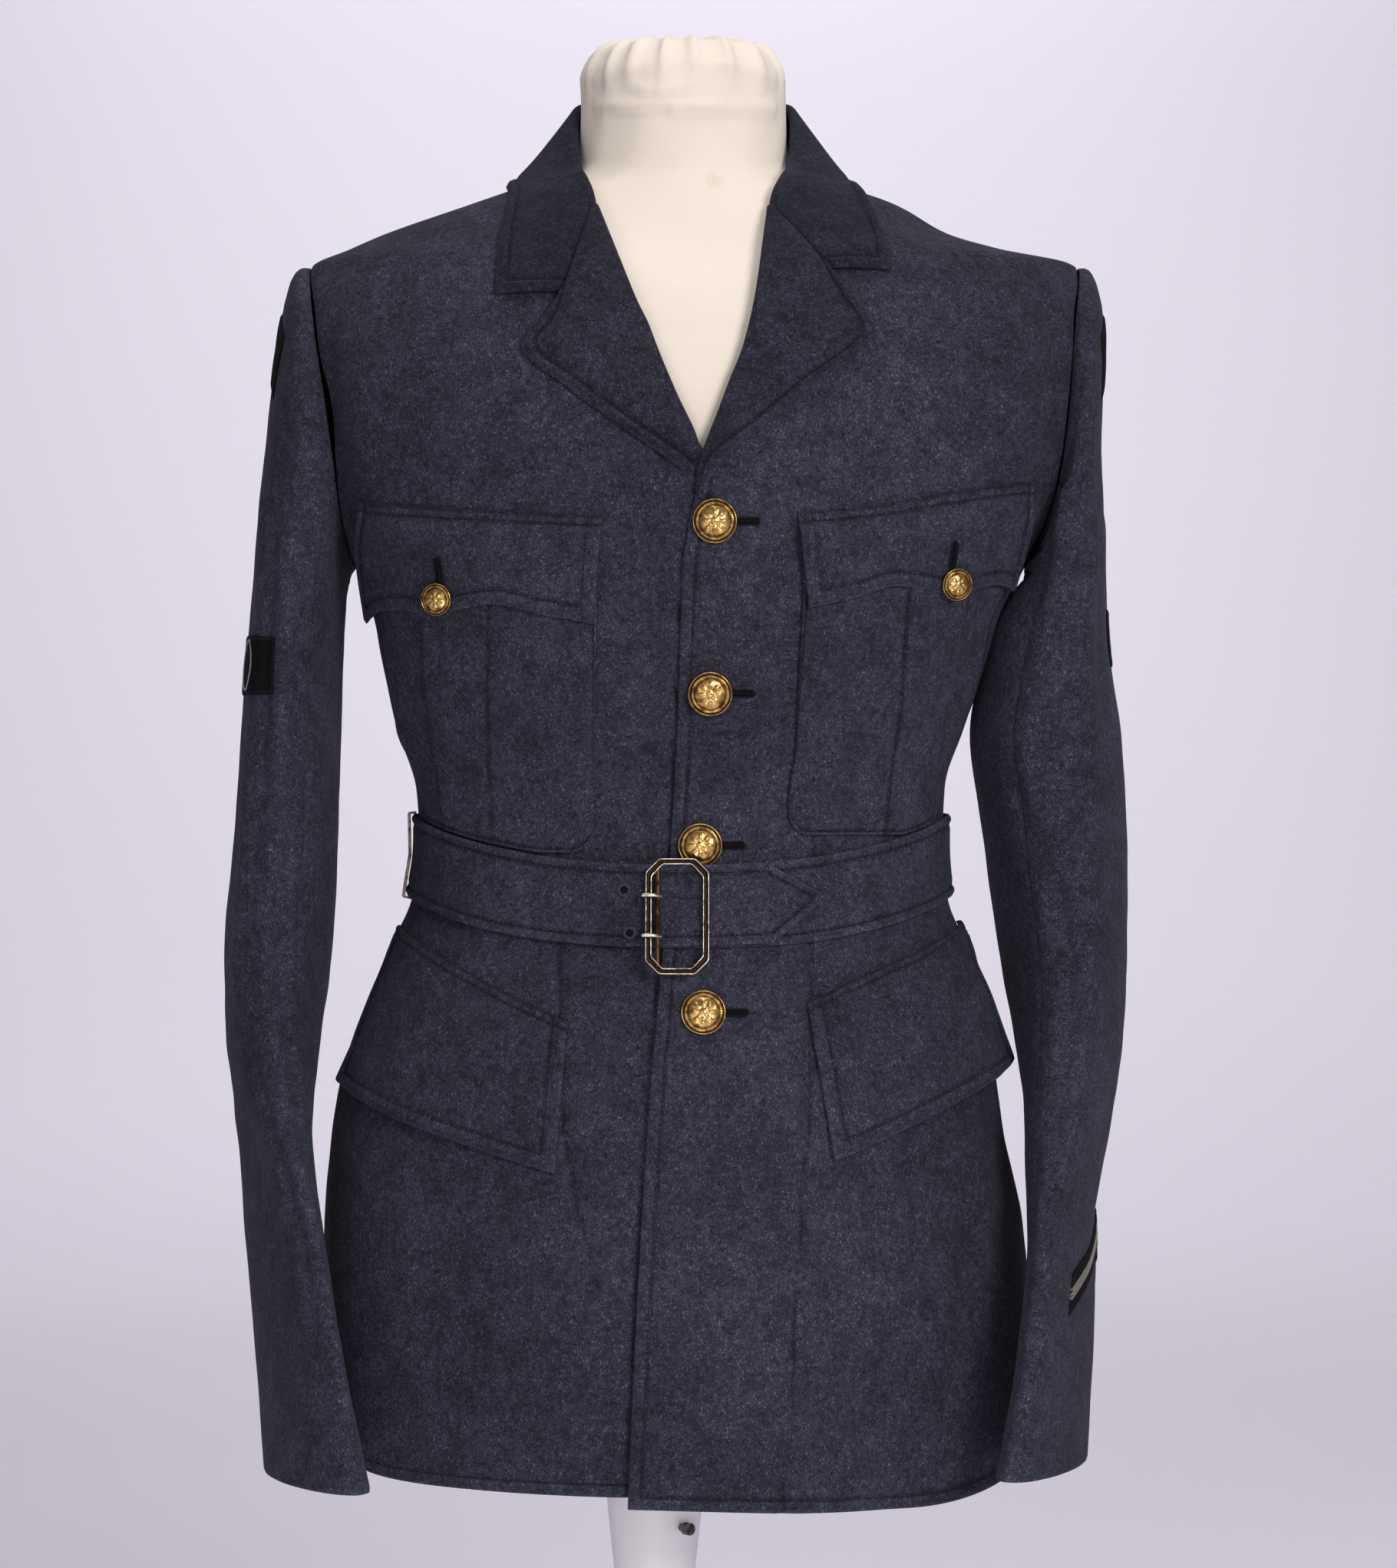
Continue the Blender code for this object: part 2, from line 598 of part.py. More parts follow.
def front_panel(name, side):
    """One front, from its edge and roll line to the side seam, the armhole and the shoulder seam."""
    edge = LEFT_EDGE if side > 0 else RIGHT_EDGE
    shift = -SEAM / 2

    def place(x, angle, height, on_seam):
        lift = lap_lift(x, height) if side > 0 else 0.0
        return angle, height, lift, shift if on_seam else 0.0

    rows = []
    for i in range(LOWER_ROWS + 1):
        height = mix(HEM, UNDERARM, i / LOWER_ROWS)
        start = angle_of(curve(edge, 1, height), height)
        row = []
        for j in range(FRONT_COLUMNS + 1):
            angle = mix(start, side * 90.0, j / FRONT_COLUMNS)
            level = hemmed("left" if side > 0 else "right", angle, height, i)
            row.append(place(body_point(angle, level).x, angle, level, j == FRONT_COLUMNS))
        rows.append(row)
    first = curve(edge, 1, UNDERARM)
    last = armhole_x(side, UNDERARM)
    shares = [(body_point(spot[0], UNDERARM).x - first) / (last - first) for spot in rows[-1]]
    for i in range(1, UPPER_ROWS + 1):
        up = i / UPPER_ROWS
        inner_x = curve(edge, 1, mix(UNDERARM, NECK_SEAM, rise(up, 0.0)))
        outer_height = mix(UNDERARM, SHOULDER, rise(up))
        row = []
        for j in range(FRONT_COLUMNS + 1):
            x = mix(inner_x, armhole_x(side, outer_height), mix(shares[j], j / FRONT_COLUMNS, up))
            height = mix(UNDERARM, shoulder_line(x), rise(up, 2 * j / FRONT_COLUMNS - 1))
            if j == FRONT_COLUMNS:
                height = outer_height
            row.append(place(x, angle_of(x, height), height, i == UPPER_ROWS))
        rows.append(row)
    return body_wall(name, rows)


def back_panel():
    """The back, from side seam to side seam, up to the shoulder seams and the neck seam."""
    columns = 2 * FRONT_COLUMNS + NECK_COLUMNS
    shift = SEAM / 2
    rows = []
    for i in range(LOWER_ROWS + 1):
        height = mix(HEM, UNDERARM, i / LOWER_ROWS)
        row = []
        for j in range(columns + 1):
            angle = mix(90.0, 270.0, j / columns)
            row.append((angle, hemmed("back", angle, height, i), 0.0, shift if j in (0, columns) else 0.0))
        rows.append(row)
    across = armhole_x(-1, UNDERARM) - armhole_x(1, UNDERARM)
    low = [(body_point(spot[0], UNDERARM).x - armhole_x(1, UNDERARM)) / across for spot in rows[-1]]
    left, right = armhole_x(1, SHOULDER), armhole_x(-1, SHOULDER)
    neck = (BODY_X + NECK_HALF, BODY_X - NECK_HALF)
    high = [mix(left, neck[0], j / FRONT_COLUMNS) for j in range(FRONT_COLUMNS)]
    high += [mix(*neck, (1 - math.cos(math.pi * j / NECK_COLUMNS)) / 2) for j in range(NECK_COLUMNS)]
    high += [mix(neck[1], right, j / FRONT_COLUMNS) for j in range(FRONT_COLUMNS + 1)]
    high = [(x - left) / (right - left) for x in high]
    for i in range(1, UPPER_ROWS + 1):
        up = i / UPPER_ROWS
        side_height = mix(UNDERARM, SHOULDER, rise(up))
        ends = armhole_x(1, side_height), armhole_x(-1, side_height)
        row = []
        for j in range(columns + 1):
            x = mix(*ends, mix(low[j], high[j], up))
            inward = min(j, columns - j) / FRONT_COLUMNS
            height = mix(UNDERARM, shoulder_line(x), rise(up, 1 - 2 * inward))
            if j in (0, columns):
                height = side_height
            on_seam = i == UPPER_ROWS and abs(x - BODY_X) >= NECK_HALF - 1e-6
            row.append((angle_of(x, height, True), height, 0.0, shift if on_seam else 0.0))
        rows.append(row)
    return body_wall("back", rows)


def armhole_point(side, turn):
    """The armhole's edge by its turn: 0 at the shoulder, 90 in front, 180 under the arm."""
    height = mix(UNDERARM, SHOULDER, (1 + math.cos(math.radians(turn))) / 2)
    x = armhole_x(side, height)
    behind = math.sin(math.radians(turn)) < -1e-9
    return cloth(angle_of(x, height, behind), height) + Vector((side * 0.0005, 0, 0))


def sleeve_point(side, turn, row):
    """A point of a sleeve: turn 0 faces outwards and 90 forwards; row 0 is the armhole."""
    table = LEFT_SLEEVE if side > 0 else RIGHT_SLEEVE
    rows = [(float(i + HEAD_ROWS), *values) for i, values in enumerate(table)]
    at = [curve(rows, column, max(float(HEAD_ROWS), row)) for column in range(1, 8)]
    inner, outer = Vector((at[0], at[4], at[1])), Vector((at[2], at[4], at[3]))
    half = (outer - inner) / 2
    twist, depth = math.radians(at[6]), at[5]
    flat = math.sqrt(max(1e-6, half.length**2 - (depth * math.sin(twist)) ** 2)) / math.cos(twist)
    outward = half.normalized()
    forward = Vector((0, -1, 0))
    short_way = (outward * math.cos(twist) + forward * math.sin(twist)).normalized()
    long_way = (forward * math.cos(twist) - outward * math.sin(twist)).normalized()
    angle = math.radians(turn) + twist * 0.6
    point = (inner + outer) / 2 + short_way * flat * math.cos(angle) + long_way * depth * math.sin(angle)
    if row < HEAD_ROWS:
        share, start = row / HEAD_ROWS, armhole_point(side, turn)
        full = 0.1 + 0.9 * (1 + math.cos(math.radians(turn))) / 2
        bend = start + Vector((side * HEAD_OUT * full, 0, HEAD_UP * full))
        return start.lerp(bend, share).lerp(bend.lerp(point, share), share)
    return point


def sleeve_cloth(side, turn, row, lift=0.0):
    """A point on a sleeve, or off it along its normal."""
    last = float(SLEEVE_ROWS)
    around = sleeve_point(side, turn + 2, row) - sleeve_point(side, turn - 2, row)
    along = sleeve_point(side, turn, min(last, row + 0.1)) - sleeve_point(side, turn, max(0.0, row - 0.1))
    normal = around.cross(along).normalized() * side
    return sleeve_point(side, turn, row) + normal * lift


def sleeve_row(side, height):
    """The row at which a sleeve's outer line is at this height."""
    low, high = 0.0, float(SLEEVE_ROWS)
    for _ in range(40):
        middle = (low + high) / 2
        if sleeve_point(side, 0.0, middle).z > height:
            low = middle
        else:
            high = middle
    return low


def sleeve_piece(name, side, start, end, steps):
    rows = range(SLEEVE_ROWS + 1)
    gap = SLEEVE_GAP[side] if end > start else -SLEEVE_GAP[side]
    turns = [mix(start + gap, end - gap, j / steps) for j in range(steps + 1)]
    outer = [[sleeve_cloth(side, turn, float(row), CLOTH) for turn in turns] for row in rows]
    inner = [[sleeve_cloth(side, turn, float(row)) for turn in turns] for row in rows]
    # the right sleeve mirrors the left one, so its two faces change places
    return wall(name, *(outer, inner)[::side], "serge")


def sleeve_patch(name, side, places, kind):
    """A thin piece on a sleeve from rows of (turn, height)."""
    def spot(turn, height, lift):
        row = sleeve_row(side, height)
        whole = float(math.floor(row))
        upper, lower = (sleeve_cloth(side, turn, at, lift) for at in (whole, whole + 1))
        return upper.lerp(lower, row - whole)

    rest = CLOTH + PATCH_REST
    outer = [[spot(turn, height, rest + PATCH_CLOTH) for turn, height in row] for row in places]
    inner = [[spot(turn, height, rest) for turn, height in row] for row in places]
    return wall(name, outer, inner, kind)


def lapel(name, side):
    table = LEFT_LAPEL if side > 0 else RIGHT_LAPEL
    rows = [(float(i), *values) for i, values in enumerate(table)]
    outer, inner = [], []
    for i in range(2 * len(table) - 1):
        roll_x, roll_z, edge_x, edge_z = (curve(rows, column, i / 2) for column in range(1, 5))
        line, under = [], []
        for j in range(FALL_STEPS + 1):
            x = mix(roll_x, edge_x, j / FALL_STEPS)
            z = mix(roll_z, edge_z, j / FALL_STEPS)
            ground = lap_lift(x, z) if side > 0 else 0.0
            line.append(seen(x, z, ground + COLLAR_LIFT))
            under.append(seen(x, z, ground + LAPEL_REST))
        outer.append(line)
        inner.append(under)
    return wall(name, outer, inner, "serge_dark")


def rested(point, lift):
    """Move a point out to lie at least lift off the body."""
    if point.z >= NECK_SEAM:
        return point
    away = point.x - BODY_X
    half = curve(SECTIONS, 2 if away >= 0 else 1, point.z)
    depth = curve(SECTIONS, 3 if point.y <= 0 else 4, point.z)
    square = curve(SECTIONS, 5, point.z)
    across, ahead = (abs(away) / half) ** (square / 2), (abs(point.y) / depth) ** (square / 2)
    turn = math.degrees(math.atan2(across, ahead))
    angle = math.copysign(turn if point.y <= 0 else 180 - turn, away)
    foot, normal = body_point(angle, point.z), body_normal(angle, point.z)
    return point if (point - foot).dot(normal) >= lift else foot + normal * lift


def collar_stations():
    """Fold and edge points from the right front end, round the neck, to the left front end."""
    def front(table):
        return [(seen(fx, fz, COLLAR_LIFT), seen(ex, ez, COLLAR_LIFT)) for fx, fz, ex, ez in table]

    def around(side):
        found = []
        for away, y, z, angle, height in COLLAR_ROUND:
            fold = Vector((BODY_X + side * away, y, z))
            found.append((fold, cloth(side * angle, height, COLLAR_LIFT)))
        return found

    away, y, z, angle, height = COLLAR_BACK
    back = (Vector((BODY_X + away, y, z)), cloth(angle, height, COLLAR_LIFT))
    return front(RIGHT_COLLAR_END) + around(-1) + [back] + (front(LEFT_COLLAR_END) + around(1))[::-1]


def smoothed(points, at):
    """A point on a smooth line through a list of points, by its place in the list."""
    rows = [(float(i), point.x, point.y, point.z) for i, point in enumerate(points)]
    return Vector([curve(rows, column, at) for column in (1, 2, 3)])


def grid_normals(grid):
    """Unit normals of an open grid of points."""
    rows, columns = len(grid), len(grid[0])
    normals = []
    for i in range(rows):
        line = []
        for j in range(columns):
            down = grid[min(i + 1, rows - 1)][j] - grid[max(i - 1, 0)][j]
            over = grid[i][min(j + 1, columns - 1)] - grid[i][max(j - 1, 0)]
            line.append(down.cross(over).normalized())
        normals.append(line)
    return normals


def collar():
    """The fall of the collar, from its fold down to its outer edge."""
    stations = collar_stations()
    folds = [fold for fold, _ in stations]
    edges = [edge for _, edge in stations]
    outer = []
    for i in range(2 * len(stations) - 1):
        fold, edge = smoothed(folds, i / 2), smoothed(edges, i / 2)
        line = []
        for j in range(FALL_STEPS + 1):
            share = j / FALL_STEPS
            point = fold.lerp(edge, share) + Vector((0, 0, COLLAR_ARCH * math.sin(math.pi * share)))
            line.append(rested(point, COLLAR_LIFT))
        outer.append(line)
    normals = grid_normals(outer)
    sign = 1 if normals[len(outer) // 2][2].y > 0 else -1
    inner = []
    for points, ways in zip(outer, normals):
        inner.append([point - way * sign * COLLAR_CLOTH for point, way in zip(points, ways)])
    return wall("collar", outer, inner, "serge_dark")


def collar_stand():
    """The band from the neck seam up to just under the fold, where the fold stands above the seam."""
    stations = collar_stations()
    folds = [fold for fold, _ in stations][3:-3]
    outer, inner = [], []
    steps = 2 * (len(folds) - 1)
    for i in range(1, steps):
        fold = smoothed(folds, i / 2)
        angle = math.degrees(math.atan2(fold.x - BODY_X, -fold.y))
        foot = body_point(angle, NECK_SEAM)
        foot.z += SEAM
        head = fold.copy()
        head.z -= STAND_DROP
        away = Vector((fold.x - BODY_X, fold.y, 0)).normalized()
        head -= away * STAND_INSET
        outer.append([foot, foot.lerp(head, 0.5), head])
        inner.append([point - away * STAND_CLOTH for point in outer[-1]])
    return wall("collar_stand", outer, inner, "serge_dark")


def belt_height(angle):
    """Height of the belt's middle round the body; it dips in front."""
    turn = math.radians(angle)
    if math.cos(turn) >= 0:
        return mix(BELT_SIDE, BELT_FRONT, math.cos(turn) ** 1.6)
    return mix(BELT_SIDE, BELT_BACK, math.cos(turn) ** 2)


def belt_ground(x, height):
    """What lies under the belt, smoothed where the left front's edge steps up."""
    edge = curve(LEFT_EDGE, 1, height)
    return LAP * ease((x - edge + 0.030) / 0.026) * (1 - ease((x - edge - LAP_WIDTH) / LAP_FADE))


def belt_point(angle, across, layer, lift):
    """Across runs from -1 at the lower edge to 1 at the upper; layer 1 is the strap on top."""
    height = belt_height(angle) + across * BELT_HEIGHT / 2
    x = body_point(angle, height).x
    raised = layer * (BELT_CLOTH + LAYER_GAP)
    return cloth(angle, height, belt_ground(x, height) + raised + BELT_REST + lift)


def belt():
    """One strap: from the end under the buckle, round the body and over that end to its point."""
    outer, inner = [], []
    angles = [mix(BELT_START, BELT_CLOSER, i / BELT_COLUMNS) for i in range(BELT_COLUMNS + 1)]
    angles += [mix(BELT_CLOSER, 360.0 + BELT_TIP, i / END_COLUMNS) for i in range(1, END_COLUMNS + 1)]
    for angle in angles:
        layer = ease((angle - LAYER_START) / LAYER_SPAN)
        to_tip = (360.0 + BELT_TIP - angle) / TIP_SPAN
        width = min(1.0, 0.12 + 0.88 * to_tip) if to_tip < 1 else 1.0
        line = [belt_point(angle, width * across, layer, BELT_CLOTH) for across in (-1.0, 0.0, 1.0)]
        under = [belt_point(angle, width * across, layer, 0.0) for across in (-1.0, 0.0, 1.0)]
        outer.append(line)
        inner.append(under)
    return wall("belt", outer, inner, "serge")


def pocket(side_name):
    """A patch pocket with a raised box pleat under its button."""
    inner_top, top, inner_foot, foot, outer_angle, button_x, button_z = BREAST_POCKETS[side_name]
    side = -1 if side_name == "right" else 1
    pleat = math.degrees(PLEAT_HALF / curve(SECTIONS, 2 if side > 0 else 1, button_z))
    middle = angle_of(button_x, button_z)
    near, far = middle - side * pleat, middle + side * pleat
    fold = side * PLEAT_FOLD
    outer, inner = [], []
    for i in range(POCKET_ROWS + 1):
        share = i / POCKET_ROWS
        rim = angle_of(mix(inner_top, inner_foot, share), mix(top, foot, share))
        line = [(mix(rim, near - fold, j / 4), 0) for j in range(5)]
        line += [(near, 1), (mix(near, middle, 0.5), 1), (middle, 1), (mix(middle, far, 0.5), 1), (far, 1)]
        line += [(mix(far + fold, outer_angle, j / 3), 0) for j in range(4)]
        points, depths = [], []
        for j, (angle, raised) in enumerate(line):
            low = max(foot, belt_height(angle) + BELT_HEIGHT / 2 + POCKET_OVER_BELT)
            if j == 0:
                low += POCKET_CORNER * 0.7
            height = mix(top, low, share)
            ground = lap_lift(body_point(angle, height).x, height) if side > 0 else 0.0
            base = ground + POCKET_REST
            points.append(cloth(angle, height, base + POCKET_CLOTH * (1 + raised)))
            depths.append(cloth(angle, height, base))
        outer.append(points)
        inner.append(depths)
    return wall(side_name + "_breast_pocket", outer, inner, "serge")


def flap(name, side, table, ends, top_lift, foot_lift, rows_down, thickness):
    """A flap sewn along its upper edge, standing off the pocket or the skirt below."""
    outer, inner = [], []
    top_x, foot_x, outer_top_x, outer_foot_x = ends
    for i in range(rows_down + 1):
        down = i / rows_down
        points, depths = [], []
        for j in range(FLAP_COLUMNS + 1):
            share = j / FLAP_COLUMNS
            top, foot = curve(table, 1, share), curve(table, 2, share)
            extra = curve(table, 3, share) if len(table[0]) > 3 else 0.0
            height = mix(top, foot, down)
            start = angle_of(mix(top_x, foot_x, down), height)
            angle = mix(start, angle_of(mix(outer_top_x, outer_foot_x, down), height), share)
            ground = lap_lift(body_point(angle, height).x, height) if side > 0 else 0.0
            lift = ground + mix(top_lift, foot_lift, ease(down * 3.4)) + extra * ease(down)
            points.append(cloth(angle, height, lift + thickness))
            depths.append(cloth(angle, height, lift))
        outer.append(points)
        inner.append(depths)
    return wall(name, outer, inner, "serge")


def button(name, radius, foot, normal):
    """A domed gilt button on a short shank."""
    profile = (
        (0.0000, 0.0028),
        (0.0012, 0.0028),
        (0.0013, radius * 0.93),
        (0.0020, radius),
        (0.0034, radius * 0.90),
        (0.0047, radius * 0.64),
        (0.0055, radius * 0.32),
        (0.0057, radius * 0.08),
    )
    made = turned(name, profile, "gilt")
    made.location = foot
    made.rotation_euler = normal.to_track_quat("Z", "Y").to_euler()
    return made


def front_buttons():
    for number, (x, height) in enumerate(FRONT_BUTTONS, 1):
        angle = angle_of(x, height)
        lift = lap_lift(x, height) + 0.0003
        spot = cloth(angle, height, lift)
        button(f"front_button_{number}", BUTTON_RADIUS, spot, body_normal(angle, height))


def pocket_buttons():
    for side_name, values in BREAST_POCKETS.items():
        x, height = values[5], values[6]
        angle = angle_of(x, height)
        lift = FLAP_LIFT + POCKET_CLOTH + 0.0005
        name = side_name + "_pocket_button"
        button(name, POCKET_BUTTON_RADIUS, cloth(angle, height, lift), body_normal(angle, height))


def buckle_plane():
    """The plane of the buckle's back: it lies on the strap, more upright than the skirt below."""
    angle = angle_of(BUCKLE_X, BUCKLE_Z)
    lift = LAP + BELT_REST + 2 * BELT_CLOTH + LAYER_GAP
    out = body_normal(angle, BUCKLE_LEAN_HEIGHT)
    middle = cloth(angle, BELT_FRONT, lift) + out * BUCKLE_REST
    side_way = Vector((0, 0, 1)).cross(out).normalized()
    upward = out.cross(side_way)
    frame = Matrix((side_way, upward, out)).transposed().to_4x4()
    frame.translation = middle + upward * (BUCKLE_Z - BELT_FRONT)
    return frame


def buckle():
    """An eight-sided frame lying on the strap, with two prongs over its right bar."""
    half_w, half_h, corner = BUCKLE_WIDTH / 2, BUCKLE_HEIGHT / 2, BUCKLE_CORNER
    corners = (
        (half_w, half_h - corner),
        (half_w - corner, half_h),
        (corner - half_w, half_h),
        (-half_w, half_h - corner),
        (-half_w, corner - half_h),
        (corner - half_w, -half_h),
        (half_w - corner, -half_h),
        (half_w, corner - half_h),
    )
    frame = buckle_plane()
    shrink_w, shrink_h = 1 - BUCKLE_BAR / half_w, 1 - BUCKLE_BAR / half_h
    made = bmesh.new()
    # share of the outer width and height, height above the strap
    bar_section = (
        (1.0, 1.0, 0.0),
        (1.0, 1.0, 0.0016),
        (0.95, 0.97, 0.0026),
        (shrink_w + 0.05, shrink_h + 0.03, 0.0026),
        (shrink_w, shrink_h, 0.0016),
        (shrink_w, shrink_h, 0.0),
    )
    rings = []
    for wide, high, level in bar_section:
        rings.append([made.verts.new(frame @ Vector((x * wide, y * high, level))) for x, y in corners])
    count = len(corners)
    for a, b in zip(rings, rings[1:] + rings[:1]):
        for i in range(count):
            j = (i + 1) % count
            made.faces.new((a[i], a[j], b[j], b[i]))
    return add_object("buckle", made, "nickel", smooth=False)


def prongs():
    """Two prongs that rest across the buckle's right bar."""
    frame = buckle_plane()
    outer_x = -BUCKLE_WIDTH / 2
    path = (
        (outer_x - 0.0010, 0.0042),
        (outer_x + 0.0030, 0.0043),
        (outer_x + 0.0062, 0.0034),
        (outer_x + 0.0086, 0.0008),
    )
    turns = [math.tau * i / PRONG_SIDES for i in range(PRONG_SIDES)]
    for number, up in enumerate((PRONG_APART / 2, -PRONG_APART / 2), 1):
        made = bmesh.new()
        rings = []
        for x, level in path:
            ring = []
            for turn in turns:
                spot = (x, up + PRONG_RADIUS * math.cos(turn), level + PRONG_RADIUS * math.sin(turn))
                ring.append(made.verts.new(frame @ Vector(spot)))
            rings.append(ring)
        for a, b in zip(rings, rings[1:]):
            for i in range(PRONG_SIDES):
                j = (i + 1) % PRONG_SIDES
                made.faces.new((a[i], a[j], b[j], b[i]))
        made.faces.new(rings[0][::-1])
        made.faces.new(rings[-1])
        add_object(f"prong_{number}", made, "nickel")


def belt_slide():
    """A metal slide over the belt's outside, turned in at its upper and lower edges."""
    outer, inner = [], []
    middle = belt_height(SLIDE_ANGLE)
    reach = BELT_HEIGHT / 2 + 0.0022
    # distance inside the outer edge, height off the cloth
    face = ((0.0, 0.0002), (0.0, 0.0038), (0.0010, 0.0046), (reach, 0.0046))
    back = ((0.0013, 0.0002), (0.0013, 0.0034), (0.0018, 0.0034), (reach, 0.0034))

    def mirrored(half):
        upper = [(reach - inside, lift) for inside, lift in half[-2::-1]]
        return [(inside - reach, lift) for inside, lift in half] + upper

    levels, backs = mirrored(face), mirrored(back)
    for turn in (-SLIDE_HALF_TURN, SLIDE_HALF_TURN):
        angle = SLIDE_ANGLE + turn
        outer.append([cloth(angle, middle + up, BELT_REST + lift) for up, lift in levels])
        inner.append([cloth(angle, middle + up, BELT_REST + lift) for up, lift in backs])
    return wall("belt_slide", outer, inner, "nickel")


def dress_form():
    """The smooth limbless form, closed at its foot and on top of its neck."""
    made = bmesh.new()
    heights = [row[0] for row in FORM_SECTIONS]
    steps = 28
    rings = []
    for height in heights:
        turns = (360.0 * i / steps for i in range(steps))
        rings.append([made.verts.new(body_point(turn, height, FORM_SECTIONS)) for turn in turns])
    for lower, upper in zip(rings, rings[1:]):
        for i in range(steps):
            j = (i + 1) % steps
            made.faces.new((lower[i], lower[j], upper[j], upper[i]))
    made.faces.new(rings[0][::-1])
    made.faces.new(rings[-1])
    return add_object("form", made, "calico")


def thumb_screw():
    """A small dark screw in the post's front."""
    profile = ((0.0, 0.0022), (0.0040, 0.0022), (0.0042, 0.0036), (0.0085, 0.0036))
    made = turned("thumb_screw", profile, "dark_metal")
    made.location = (SCREW_X, SCREW_Y, SCREW_HEIGHT)
    made.rotation_euler = (math.radians(90), 0, math.radians(SCREW_TURN))
    return made


for old in list(bpy.data.objects):
    bpy.data.objects.remove(old)

stand = bpy.data.objects.new("jacket_on_form", None)
bpy.context.scene.collection.objects.link(stand)

front_panel("right_front", -1)
front_panel("left_front", 1)
back_panel()
for side_name, side in (("right", -1), ("left", 1)):
    sleeve_piece(side_name + "_top_sleeve", side, -SEAM_TURN, SEAM_TURN, SLEEVE_STEPS)
    sleeve_piece(side_name + "_under_sleeve", side, SEAM_TURN, 360 - SEAM_TURN, UNDER_STEPS)
    lapel(side_name + "_lapel", side)
    pocket(side_name)
    table, ends = BREAST_FLAPS[side_name], BREAST_FLAP_ENDS[side_name]
    flap(side_name + "_breast_flap", side, table, ends, REST, FLAP_LIFT, FLAP_ROWS, POCKET_CLOTH)
    table, ends = HIP_FLAPS[side_name], HIP_FLAP_ENDS[side_name]
    flap(side_name + "_hip_flap", side, table, ends, REST, HIP_FLAP_LIFT, FLAP_ROWS, CLOTH)
collar()
collar_stand()
belt()
buckle()
prongs()
belt_slide()
front_buttons()
pocket_buttons()
for name, (side, top, foot, ahead, behind) in PATCHES.items():
    turns = [ahead - PATCH_STEP * i for i in range(round((ahead - behind) / PATCH_STEP) + 1)]
    levels = (top, mix(top, foot, 0.5), foot)
    sleeve_patch(name, side, [[(turn, height) for turn in turns] for height in levels], "badge")
stripe = []
for up in (STRIPE_HEIGHT / 2, -STRIPE_HEIGHT / 2):
    line = []
    for i in range(round((STRIPE_FRONT - STRIPE_BACK) / PATCH_STEP) + 1):
        turn = STRIPE_FRONT - PATCH_STEP * i
        share = abs(turn - STRIPE_MIDDLE) / (STRIPE_FRONT - STRIPE_MIDDLE)
        line.append((turn, mix(STRIPE_PEAK, STRIPE_LOW, share) + up))
    stripe.append(line)
sleeve_patch("cuff_stripe", 1, stripe, "badge")
dress_form()
turned("post", POST, "white_paint", 20)
turned("base", BASE, "white_paint", 32)
thumb_screw()
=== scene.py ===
"""Looks of a belted wool uniform jacket on a limbless dress form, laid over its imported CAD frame."""

import math

import bmesh
import bpy
import numpy as np
from bpy.props import FloatProperty, FloatVectorProperty, PointerProperty
from mathutils import Matrix, Vector


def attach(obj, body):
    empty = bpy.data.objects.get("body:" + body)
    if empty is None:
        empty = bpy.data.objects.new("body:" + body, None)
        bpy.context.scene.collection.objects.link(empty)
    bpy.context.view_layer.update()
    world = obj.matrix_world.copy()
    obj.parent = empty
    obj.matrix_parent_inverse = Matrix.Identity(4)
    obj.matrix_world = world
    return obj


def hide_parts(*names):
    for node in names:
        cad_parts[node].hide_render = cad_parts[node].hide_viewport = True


bl_info = {
    "name": "Uniform jacket on a dress form",
    "version": (1, 0, 0),
    "blender": (4, 5, 0),
    "location": "3D View > Sidebar > Jacket",
    "description": "Cloth, metal, form and studio of a belted wool uniform jacket",
    "category": "Object",
}

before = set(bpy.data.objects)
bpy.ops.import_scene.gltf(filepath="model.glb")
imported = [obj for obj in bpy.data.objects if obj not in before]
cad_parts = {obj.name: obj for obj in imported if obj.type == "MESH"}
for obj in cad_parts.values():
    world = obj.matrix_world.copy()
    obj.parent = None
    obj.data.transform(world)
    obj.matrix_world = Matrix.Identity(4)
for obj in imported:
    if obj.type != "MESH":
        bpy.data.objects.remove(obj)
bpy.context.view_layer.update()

# Sizes shared with the solids, in metres
BODY_X = 0.0165  # the body's middle plane
HEM = 0.262
UNDERARM = 0.768
SHOULDER = 0.931
NECK_SEAM = 0.984
NECK_HALF = 0.066
SEAM = 0.0003
LAP = 0.0028
LAP_WIDTH = 0.034
LAP_FADE = 0.045
LOWER_ROWS = 18
UPPER_ROWS = 9
FRONT_COLUMNS = 10
NECK_COLUMNS = 8
FOLD_TOP = 0.5
BUTTON_RADIUS = 0.012
POCKET_BUTTON_RADIUS = 0.0088
POCKET_REST = 0.0016
FLAP_LIFT = 0.0056

